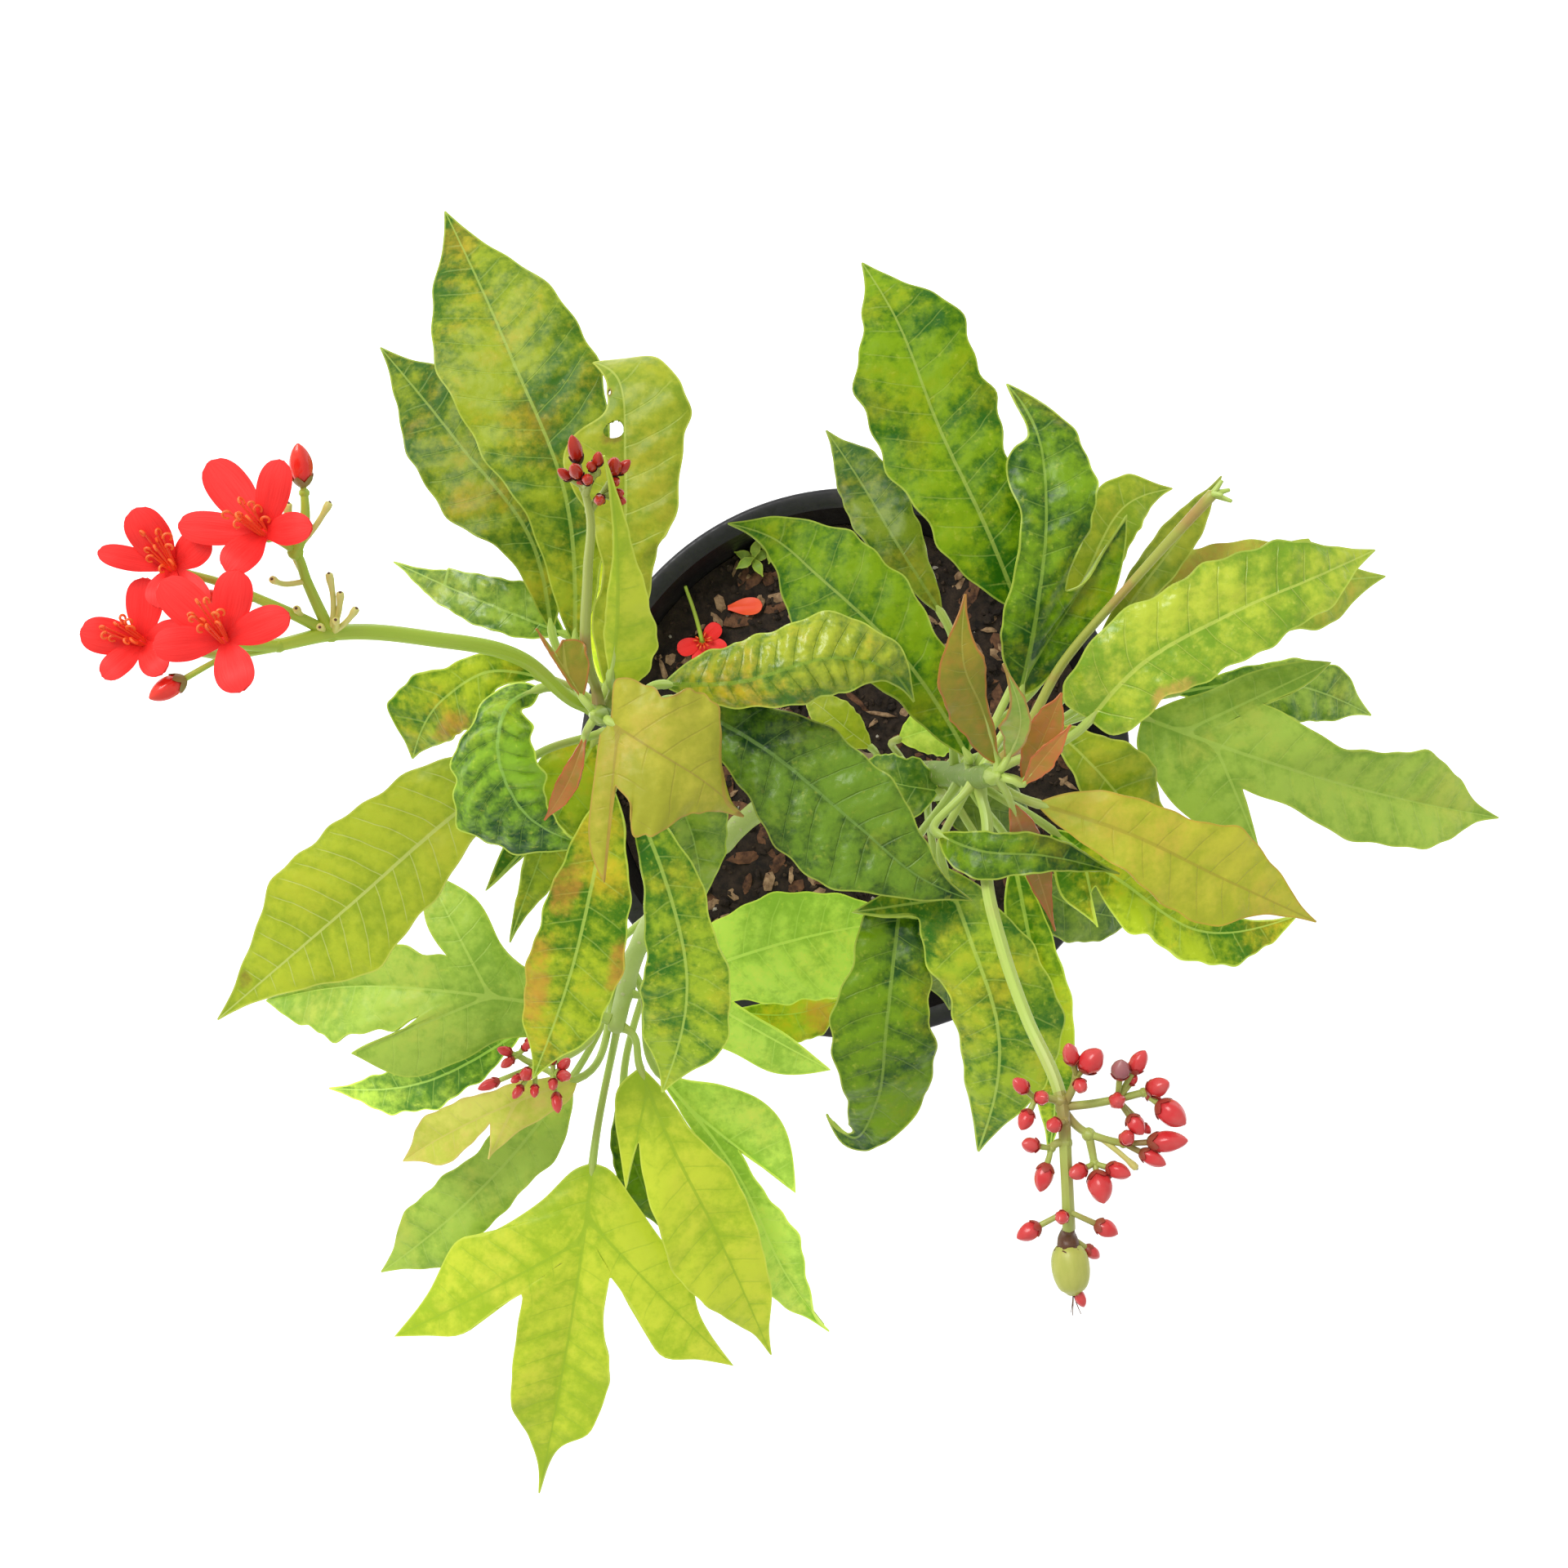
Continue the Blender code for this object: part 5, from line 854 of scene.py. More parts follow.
def blade(rib, left, right, fold, rows=84, half=9, quilt=QUILT, spacing=VEIN_STEP, holes=(), stains_and_highlights=(),
          waves=WAVES, light=1.0):
    """A leaf blade: at each place along the midrib, out to each margin by the side's outline.
    Height is the rib's, plus fold times the distance out, less SAG times its square, plus
    RIPPLE times two sines that grow to the margin; between side veins the blade is puffed up
    by quilt times half a cosine. holes and stains are ovals (place, share of the way out, half
    length, half width); they are brown marks, save one on a glossy leaf that is a painted
    highlight. light multiplies the skin's colour: partly the leaf's own tone and partly painted
    light that brightens leaves lying in shade. The blade is BLADE_THICKNESS thick and thins to
    0.62 of it at the margin."""
    at, length = blade_rows(rib, left, right, rows)
    share = np.concatenate([np.linspace(0.0, 0.9, half), [0.96, 1.0]])
    spread = np.concatenate([-share[:0:-1], share])
    centre, level = rib_at(rib, at)
    phase = 0.1 * sum(rib[0][:2])
    edges = [wavy_edge(side, at, phase, i, waves) for i, side in enumerate((right, left))]
    leftward = spread >= 0.0
    out, ahead = (np.where(leftward, edges[1][:, k, None], edges[0][:, k, None]) * np.abs(spread)
                  for k in (0, 1))
    sign = np.where(leftward, 1.0, -1.0)
    side = np.stack([-level[:, 1], level[:, 0]], axis=-1)
    wave = np.sin(2.0 * np.pi * 3.0 * at[:, None] + phase + sign) * spread**2
    wave += 0.45 * np.sin(2.0 * np.pi * 8.0 * at[:, None] + 3.0 * phase + 2.0 * sign) * np.abs(spread)**3
    slope = np.where(leftward, fold[0], fold[1])
    middle = np.empty((rows, len(spread), 3))
    middle[..., :2] = centre[:, None, :2] + side[:, None] * (out * sign)[..., None]
    middle[..., :2] += level[:, None] * ahead[..., None]
    middle[..., 2] = centre[:, 2:] + slope * out - SAG * out**2 + RIPPLE * wave * np.minimum(1.0, out / 8.0)

    place, over = np.meshgrid(at, spread, indexing="ij")
    keep = np.ones((rows - 1, len(spread) - 1), bool)
    for hole in holes:
        cut_hole(middle, keep, place, over, hole)
    half = len(share) - 1
    ribs = [(middle[:, half], 0, MIDRIB * min(1.0, length / 80.0))]
    for sign_of, outline in ((1, left), (-1, right)):
        ribs += [(middle[np.abs(at - row[0]).argmin(), half::sign_of], sign_of, LOBE_RIB)
                 for row in edge_points(outline) if row[3]]
    points = middle.reshape(-1, 3)
    margin = nearest_on(np.concatenate([middle[:, 0], middle[::-1, -1]]), points)[0]
    half_of = np.broadcast_to(sign, middle.shape[:2]).ravel()
    vein, fade, near, reach = side_veins(points, ribs, half_of, margin, spacing)
    puff = 0.5 - 0.5 * np.cos(2.0 * np.pi * (vein + 0.5 * (half_of < 0)))
    middle[..., 2] += (quilt * puff * fade * np.minimum(1.0, near / 5.0)).reshape(middle.shape[:2])
    stain_and_highlight = np.zeros(middle.shape[:2])
    for spot_at, spot_over, long, wide in stains_and_highlights:
        stain_and_highlight = np.maximum(stain_and_highlight, ease(1.6 - np.hypot((place - spot_at) / long, (over - spot_over) / wide)))
    marks = np.stack([vein, fade, reach, margin / 10.0, stain_and_highlight.ravel(), np.full(len(points), light)], axis=-1)
    thickness = BLADE_THICKNESS * (0.62 + 0.38 * ease(margin / 4.0)).reshape(middle.shape[:2])
    marks = marks.reshape(*middle.shape[:2], 6)
    points, faces, corner_marks, looks_down = sheet(middle, thickness, marks, keep)
    column = faces % len(spread)
    corner_marks[..., 0] += np.where(column.mean(axis=1) < half, 0.5, 0.0)[:, None]
    return [(points, faces, corner_marks, np.where(looks_down, UNDERSIDE, SKIN))], ribs


def shoot_at(shoot, height):
    """The place on a shoot at a height, the way it grows there, and its radius."""
    rows = shoot_paths[shoot]
    here, above, below = (np.array([np.interp(height + step, rows[:, 2], column) for column in rows.T])
                          for step in (0.0, 3.0, -3.0))
    return here[:3], unit((above - below)[:3]), here[3]


def leave_shoot(shoot, height, towards):
    """Where a stalk leaves the bark, and the way it sets out, square to the shoot."""
    axis, way, radius = shoot_at(shoot, height)
    away = np.asarray(towards, float) - axis
    away = unit(away - way * (away @ way))
    return axis + away * (radius - 0.4), away


def leaf_stalk(shoot, height, rib, radius=STALK_RADIUS):
    """A cubic from the bark to the blade's foot, then on under the blade as its midrib, thinning
    to the tip; the stalk is a little swollen at its foot."""
    inside = rib_at(rib, np.linspace(0.0, 0.97, 26))[0]
    start, away = leave_shoot(shoot, height, inside[0])
    arrival = unit(inside[2] - inside[0])
    reach = np.linalg.norm(inside[0] - start)
    t = np.linspace(0.0, 1.0, 16)[:, None]
    first, second = start + away * (0.38 * reach + 1.5), inside[0] - arrival * reach * 0.38
    bow = (1 - t)**3 * start + 3 * t * (1 - t)**2 * first + 3 * t**2 * (1 - t) * second + t**3 * inside[0]
    under = inside[1:] - [0.0, 0.0, 0.55]
    radii = np.concatenate([radius * (1.0 + 0.45 * np.exp(-12.0 * t[:, 0]) + 0.12 * t[:, 0]**6),
                            np.linspace(radius * 0.72, 0.3, 25)])
    return stalk(np.concatenate([bow, under]), radii, 8)


def lobe_rib(line):
    """A thinner rib under a lobe, from the midrib to the lobe's tip."""
    line = smooth_path(line, 16)[1:-1] - [0.0, 0.0, 0.45]
    return stalk(line, np.linspace(0.55, 0.22, len(line)), 6)


def marks_of(tree, layer):
    """The marks that assemble() keeps in that layer, as X and Y."""
    return fit(tree, "SeparateXYZ", {"Vector": fit(tree, "UVMap", uv_map=layer).outputs[0]}).outputs


def leaf_figure():
    """The markings that all blades share, read from their maps and from their place. figure
    holds the side veins' count and how clear they are, reach the distance to the nearest rib
    in half rib widths and to the margin in centimetres, and the third map the brown stained
    patches (one of them a painted highlight) and how bright the blade is, partly its own tone
    and partly painted light."""
    tree = bpy.data.node_groups.new("leaf_figure", "ShaderNodeTree")
    tree.interface.new_socket("Patch Scale", in_out="INPUT", socket_type="NodeSocketFloat")
    patch_scale = tree.nodes.new("NodeGroupInput").outputs["Patch Scale"]
    result = tree.nodes.new("NodeGroupOutput")
    place = place_in(tree)
    figure, reach, stains_and_lighting = (marks_of(tree, layer) for layer in ("figure", "reach", "stains_and_lighting"))

    def noise(scale, detail, rough=0.5, shift=0.0):
        moved = fit(tree, "Mapping", {"Vector": place, "Location": (shift, 0.6 * shift, 0.2 * shift)})
        return noise_in(tree, moved.outputs[0], scale, detail, rough)

    def sum_of(*terms):
        total = 0.0
        for value, share in terms:
            total = reckon(tree, "MULTIPLY_ADD", value, share, total)
        return total

    def step(value, low, high):
        return ramp(tree, value, low, high, interpolation_type="SMOOTHSTEP")

    grain = noise(900.0, 3.0)
    off_vein = reckon(tree, "PINGPONG", sum_of((figure["X"], 1.0), (noise(110.0, 1.5), 0.22)), 0.5)
    veins = reckon(tree, "MULTIPLY", step(off_vein, 0.042, 0.010), figure["Y"])
    # between rises from the side veins to midway between them; in Patches it keeps the blade deep green along
    # the sunk veins: partly the leaf's own colour, partly painted shade in the vein grooves.
    between = reckon(tree, "MULTIPLY", off_vein, figure["Y"])
    net = fit(tree, "TexVoronoi", {"Vector": place, "Scale": 460.0}, feature="DISTANCE_TO_EDGE").outputs[0]
    broad = noise_in(tree, place, patch_scale, 5.0, 0.62)
    # open_blade keeps the blade deep green beside the ribs: partly its own colour, partly painted shade along
    # the rib grooves.
    open_blade = ramp(tree, reach["X"], 1.0, 6.0)
    fine = noise(420.0, 3.0, 0.65)
    masks = {
        "Ribs": step(sum_of((reach["X"], 1.0), (grain, 0.4)), 1.5, 0.95),
        "Veins": veins,
        "Margin": step(reach["Y"], 0.055, 0.025),
        "Patches": step(sum_of((broad, 0.75), (fine, 0.30), (between, 0.15), (open_blade, 0.06)), 0.47, 0.72),
        "Turning": step(sum_of((noise(46.0, 5.0, 0.64, 0.3), 0.85), (fine, 0.20), (between, 0.07)), 0.52, 0.76),
        "Flecks": step(noise(560.0, 2.0, 0.6, 0.5), 0.58, 0.80),
        "Stain and highlight": step(sum_of((stains_and_lighting["X"], 0.8), (noise(190.0, 5.0, 0.7), 1.7)), 1.10, 1.95),
        # Painted light: each blade's own factor, partly its tone and partly a brightening for the shade it lies
        # in.
        "Tone and painted light": stains_and_lighting["Y"],
        "Height": sum_of((noise(150.0, 2.0, 0.5, 0.9), 1.8), (grain, 0.05), (step(net, 0.10, 0.02), -0.015),
                         (veins, -0.2)),
    }
    for name, mask in masks.items():
        tree.interface.new_socket(name, in_out="OUTPUT", socket_type="NodeSocketFloat")
        tree.links.new(mask, result.inputs[name])
    return tree


leaf_markings = leaf_figure()
LIME_LINE = (176, 194, 76)
PALE_VEIN = (158, 182, 78)
PALE_FLECK = (190, 198, 76)
BROWN = (120, 78, 40)


def leaf_finish(name, deep, clear, turned_to, turning, vein=PALE_VEIN, margin=LIME_LINE, rough=0.42, flecks=0.3,
                patch_scale=38.0, relief=0.4, shine=0.3, vein_share=0.36, stain_and_highlight=BROWN):
    """A blade's skin: deep green with clearer patches, part of it turned yellow, pale flecks,
    then the side veins, the midrib, the thin margin line and brown stained patches over them, one
    of which, on the glossy skin, is a painted pale orange highlight. Last the colour is scaled by
    the blade's factor of own tone and painted light."""
    tree, made = blank_finish(name, Roughness=rough, Specular_IOR_Level=shine)
    marks = fit(tree, "Group", {"Patch Scale": patch_scale}, node_tree=leaf_markings).outputs
    skin = blend(tree, marks["Patches"], paint(*deep), paint(*clear))
    for mask, share, colour in (("Turning", turning, turned_to), ("Flecks", flecks, PALE_FLECK),
                                ("Veins", vein_share, vein), ("Ribs", 0.7, vein), ("Margin", 0.65, margin),
                                ("Stain and highlight", 0.65, stain_and_highlight)):
        skin = blend(tree, reckon(tree, "MULTIPLY", marks[mask], share), skin, paint(*colour))
    # Painted light: the skin is scaled by the blade's factor, which brightens blades lying in shade.
    skin = fit(tree, "VectorMath", {0: skin, "Scale": marks["Tone and painted light"]}, operation="SCALE").outputs[0]
    plug_in(tree, skin, marks["Height"], relief, 0.0011)
    return made


# Each sort of skin: its deep green, its clearer patches, the colour that parts of it turn, how
# far they turn, and what else differs from leaf_finish's usual values.
LEAF_SHADES = {
    "mottled": ((58, 102, 12), (150, 168, 36), (198, 162, 38), 0.6, dict(shine=0.2, stain_and_highlight=(180, 122, 52))),
    "singed": ((120, 146, 40), (164, 180, 60), (186, 150, 60), 0.5, dict(stain_and_highlight=(176, 130, 54))),
    "clear": ((44, 98, 2), (128, 164, 12), (172, 174, 24), 0.5, dict(patch_scale=55.0, rough=0.5, shine=0.15)),
    "teal": ((20, 62, 20), (112, 150, 38), (152, 162, 42), 0.4, dict(vein=(120, 156, 70), rough=0.34, shine=0.3,
        relief=0.8)),
    "speckled": ((50, 100, 14), (140, 164, 36), (196, 176, 40), 0.45, dict(patch_scale=60.0, flecks=0.4)),
    "dark": ((28, 72, 2), (108, 144, 12), (164, 154, 20), 0.5, dict(vein=(128, 158, 60), rough=0.36, shine=0.3,
        relief=0.6)),
    "quilted": ((62, 104, 10), (158, 170, 38), (210, 158, 48), 0.7, dict(vein=(120, 150, 40), rough=0.3,
        shine=0.5, relief=0.8)),
    "lime": ((140, 164, 30), (176, 192, 44), (190, 188, 50), 0.35, dict(vein=(196, 208, 110),
        margin=(196, 206, 90), flecks=0.2, vein_share=0.6)),
    "moss": ((112, 138, 20), (160, 170, 42), (176, 160, 44), 0.45, dict(vein=(170, 184, 80),
        margin=(184, 194, 80), flecks=0.2)),
    "olive": ((158, 160, 46), (182, 178, 60), (200, 168, 82), 0.5, dict(vein=(156, 140, 60),
        margin=(176, 140, 66), flecks=0.05, vein_share=0.25)),
    "amber": ((160, 168, 42), (186, 184, 56), (204, 166, 70), 0.45, dict(vein=(160, 150, 48),
        margin=(186, 150, 56), flecks=0.05, vein_share=0.25)),
    "bright": ((152, 180, 36), (190, 204, 54), (210, 206, 70), 0.4, dict(vein=(146, 176, 40),
        margin=(196, 210, 80), flecks=0.15, relief=0.25)),
    "fresh": ((120, 156, 50), (158, 186, 72), (190, 190, 80), 0.45, dict(vein=(166, 192, 84), flecks=0.3)),
    # The glossy skin's pale orange stained-patch colour is a painted highlight.
    "glossy": ((112, 150, 20), (176, 192, 52), (204, 202, 76), 0.45, dict(vein=(184, 200, 84), rough=0.3,
        flecks=0.5, relief=0.7, shine=0.5, stain_and_highlight=(208, 156, 80))),
    "dull": ((58, 96, 24), (134, 160, 56), (164, 164, 66), 0.4, dict(vein=(146, 172, 80), rough=0.34,
        shine=0.45, relief=0.6)),
    "pale": ((178, 186, 66), (204, 204, 92), (196, 160, 84), 0.5, dict(vein=(196, 188, 96),
        margin=(200, 180, 100), flecks=0.1)),
    "bronze": ((124, 128, 30), (150, 134, 40), (170, 106, 44), 0.6, dict(vein=(162, 158, 66),
        margin=(180, 104, 56), rough=0.34, flecks=0.0, patch_scale=90.0, shine=0.35)),
    "ruddy": ((150, 122, 44), (174, 118, 56), (188, 96, 54), 0.7, dict(vein=(182, 140, 72),
        margin=(194, 98, 58), rough=0.34, flecks=0.0, patch_scale=90.0, shine=0.35)),
    "tender": ((128, 160, 54), (160, 180, 74), (178, 132, 72), 0.35, dict(vein=(176, 190, 96),
        margin=(180, 112, 64), rough=0.3, flecks=0.0, patch_scale=60.0, shine=0.5)),
}
LEAF_LOOKS = {sort: leaf_finish(sort + "_leaf", *shades, **rest)
              for sort, (*shades, rest) in LEAF_SHADES.items()}
LEAF_BACK = leaf_finish("leaf_underside", (104, 134, 52), (138, 162, 76), (160, 166, 82), 0.3,
                        vein=(166, 188, 108), rough=0.6, flecks=0.1)

# The leaves of each sort, and how bright each is beside the colours above: partly the leaf's
# own tone and partly painted light, which brightens leaves that lie in shade under others.
LEAF_SORTS = {
    "mottled": {"leaf_left_01": 0.96, "leaf_left_02": 0.84, "leaf_left_07": 1.35, "leaf_left_13": 1.43,
                "leaf_right_15": 2.09, "leaf_right_12": 1.95, "leaf_left_11": 1.36, "leaf_trunk_02": 1.75},
    "speckled": {"leaf_left_14": 1.47, "leaf_right_14": 1.30, "leaf_right_02": 0.71},
    "teal": {"leaf_left_08": 1.80, "leaf_left_16": 0.86},
    "singed": {"leaf_right_06": 1.11},
    "dark": {"leaf_right_13": 1.02, "leaf_right_16": 1.04, "leaf_right_03": 1.14},
    "quilted": {"leaf_left_15": 1.15},
    "lime": {"leaf_left_09": 0.97},
    "moss": {"leaf_left_04": 1.02, "leaf_right_04": 1.25, "leaf_right_05": 0.80, "leaf_left_06": 3.30,
             "leaf_right_11": 1.24},
    "olive": {"leaf_left_12": 1.01},
    "amber": {"leaf_right_10": 1.08},
    "bright": {"leaf_low_01": 1.15, "leaf_low_02": 1.14, "leaf_left_05": 1.08},
    "fresh": {"leaf_low_03": 2.04, "leaf_low_04": 2.12, "leaf_low_05": 1.23, "leaf_low_08": 1.20,
              "leaf_right_08": 1.16, "leaf_trunk_01": 1.75},
    "glossy": {"leaf_right_07": 1.11},
    "dull": {"leaf_low_06": 2.60, "leaf_right_09": 1.66, "leaf_right_18": 1.06, "leaf_left_03": 1.31,
             "leaf_left_17": 1.33, "leaf_right_17": 1.60},
    "pale": {"leaf_low_07": 1.21},
    "clear": {"leaf_right_00": 0.84, "leaf_right_01": 0.87},
}

# By sort or by leaf: how high the blade is puffed up and how far apart its side veins
# stand, both in millimetres, and how wavy its margin is.
QUILTING = {"quilted": 1.8, "teal": 0.8, "amber": 0.3, "dark": 0.75, "glossy": 0.7, "dull": 0.9, "bright": 0.2,
            "olive": 0.3, "lime": 0.35, "leaf_left_08": 2.1, "leaf_left_15": 1.4}
VEIN_STEPS = {"leaf_left_08": 5.0, "leaf_left_15": 4.8, "leaf_left_09": 6.5}
EDGE_WAVES = {"leaf_low_01": 0.012, "leaf_low_02": 0.02, "leaf_right_01": 0.06, "leaf_right_00": 0.05,
              "leaf_right_12": 0.07, "leaf_low_05": 0.07, "leaf_low_06": 0.08, "leaf_left_08": 0.07,
              "leaf_right_07": 0.05, "leaf_low_03": 0.07, "leaf_right_16": 0.05, "leaf_left_15": 0.05}

# Bites and stains are ovals: place along the midrib, share of the way out to the margin (to the
# right where negative), half length and half width. The oval on leaf_right_07 is a painted
# highlight.
BITES = {"leaf_left_04": [(0.707, 0.25, 0.024, 0.23), (0.835, 0.80, 0.010, 0.10)]}
STAINS_AND_HIGHLIGHTS = {"leaf_left_04": [(0.692, 0.28, 0.020, 0.20), (0.83, 0.80, 0.016, 0.16)],
          "leaf_left_07": [(0.62, 0.7, 0.16, 0.36)],
          "leaf_left_09": [(0.865, -0.55, 0.024, 0.36)],
          "leaf_left_12": [(0.97, 0.0, 0.03, 0.9)],
          "leaf_left_13": [(0.64, -0.8, 0.16, 0.44), (0.30, -0.6, 0.10, 0.36), (0.50, 0.9, 0.08, 0.22)],
          "leaf_right_06": [(0.40, 0.8, 0.28, 0.45)],
          # Painted highlight: a pale orange patch where the glossy blade catches the lamp.
          "leaf_right_07": [(0.23, -0.9, 0.08, 0.22)],
          "leaf_trunk_02": [(0.75, -0.2, 0.16, 0.7)]}

# Four small leaves that the others nearly hide, under the right crown, by the fork of the stems
# and under the low pale leaf. Their rows end with the leaf's sort and how bright it is, partly
# its own tone and partly painted light and shade.
HIDDEN_LEAVES = {
    "crown_underleaf": ("right", 316, [(18, -12, 328), (28, -14, 331), (38, -16, 329), (48, -18, 322)],
        (7, 9.5, 9.5, 6), (7, 9.5, 9.5, 6), "dull", 0.75),
    "low_underleaf": ("low", 300, [(-77, -104, 303), (-76, -118, 303), (-71, -134, 299), (-65, -150, 290)],
        (5, 7, 6.5, 4), (4, 6, 6, 4), "dark", 1.0),
    "front_underleaf": ("right", 320, [(17, -30, 336), (18, -45, 337), (20, -60, 331), (23, -76, 320)],
        (6, 9, 8, 5), (6, 9, 8, 5), "dull", 0.9),
    "fork_underleaf": ("right", 266, [(1, 4, 277), (-7, 10, 281), (-14, 16, 280), (-21, 21, 273)],
        (4.5, 6.5, 6, 3.5), (4.5, 6.5, 6, 3.5), "lime", 1.0),
}

for name, (shoot, height, rib, left, right) in LEAVES.items():
    sort = next(key for key, names in LEAF_SORTS.items() if name in names)
    lobed = any(row[3] for edge in (left, right) for row in edge_points(edge))
    grid = {"rows": 170, "half": 22} if name in BITES else {"rows": 130 if lobed else 84}
    parts, ribs = blade(rib, left, right, LEAF_FOLDS.get(name, SHALLOW_V), **grid,
                        quilt=QUILTING.get(name, QUILTING.get(sort, QUILT)),
                        spacing=VEIN_STEPS.get(name, VEIN_STEP), holes=BITES.get(name, ()),
                        stains_and_highlights=STAINS_AND_HIGHLIGHTS.get(name, ()), waves=EDGE_WAVES.get(name, WAVES),
                        light=LEAF_SORTS[sort][name])
    parts += [(*leaf_stalk(shoot, height, rib), RIB)]
    parts += [(*lobe_rib(line), RIB) for line, _, _ in ribs[1:]]
    piece = assemble(name + "_blade", parts, [LEAF_LOOKS[sort], LEAF_BACK, green_stalk])
    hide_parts(name)

for name, (shoot, height, rib, left, right, sort, light) in HIDDEN_LEAVES.items():
    parts = blade(rib, left, right, SHALLOW_V, quilt=QUILT, light=light)[0]
    parts += [(*leaf_stalk(shoot, height, rib), RIB)]
    piece = assemble(name, parts, [LEAF_LOOKS[sort], LEAF_BACK, green_stalk])


# The youngest leaves at the tips of the two tall shoots: still small, bronze and glossy.
# They unfold round the growing point, a short green core that tops the wood.
#
# Each leaf has its look, its midrib and its two sides.
SHOOT_TIPS = {
    "right_shoot_tip": ("right", [
        ("bronze", [(25, -3, 430), (20, 10, 440), (15, 20, 448), (15, 36, 452)],
         (5.5, 8, 7, 3), (1.5, 2, 5, 2.5)),
        ("tender", [(27, -2, 432), (29, 7, 442), (24, 20, 450)], (3, 5, 2.5, 1), (2, 2.5, 2, 1)),
        ("ruddy", [(32, -7, 424), (36, 3, 430), (40, 14, 434)], (3, 4.5, 4.5, 3), (2.5, 3.5, 3.5, 2.5)),
        ("ruddy", [(31, -8, 432), (35, -2, 438), (41, 6, 442)], (1.5, 2.5, 2, 1), (2, 3, 2.5, 1.5)),
        ("ruddy", [(30, -13, 416), (37, -27, 402), (45, -47, 388)], (3.5, 4, 3.5, 1.5), (3, 3.5, 3, 1.5)),
    ]),
    "left_shoot_tip": ("left", [
        ("bronze", [(-76, 13, 432), (-80, 20, 436), (-86, 29, 440)], (1, 1, 1, 0.5),
         [(0.1, 5, 3), (0.25, 7, 6), (0.4, 3.5, 6.5, TIP), (0.6, -0.5, 1), (0.8, -0.5, 1)]),
        ("ruddy", [(-76, 4, 424), (-79, -5, 424), (-87, -17, 416)],
         (1.5, 2.5, 2.5, 1.5), (1.5, 2.5, 2.5, 1.5)),
    ]),
}
YOUNG_LOOKS = ("bronze", "ruddy", "tender")
CORE = len(YOUNG_LOOKS)
for name, (shoot, members) in SHOOT_TIPS.items():
    top, way, _ = shoot_at(shoot, SHOOTS[shoot][-1][2])
    core = [top + way * step for step in np.linspace(-1.0, 9.0, 10)]
    parts = [(*stalk(core, 2.5 - 1.9 * np.linspace(0.0, 1.0, 10)**2, 10), CORE)]
    for i, (look, rib, left, right) in enumerate(members):
        young = blade(rib, left, right, (0.25, 0.25), rows=44, half=6, quilt=0.15, spacing=4.0)[0][0]
        parts += [(*young[:3], YOUNG_LOOKS.index(look))]
        root = top + way * (2.5 + 0.9 * i)
        bend = root + 0.6 * (np.array(rib[0], float) - root) + [0.0, 0.0, 2.0]
        inside = rib_at(rib, np.linspace(0.05, 0.9, 6))[0] - [0.0, 0.0, 0.5]
        parts += [(*stalk(smooth_path([root, bend, rib[0], *inside], 30),
                          np.linspace(STALK_RADIUS, 0.3, 30), 8), CORE)]
    piece = assemble(name + "_leaves", parts, [LEAF_LOOKS[look] for look in YOUNG_LOOKS] + [green_stalk])
    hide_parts(name)


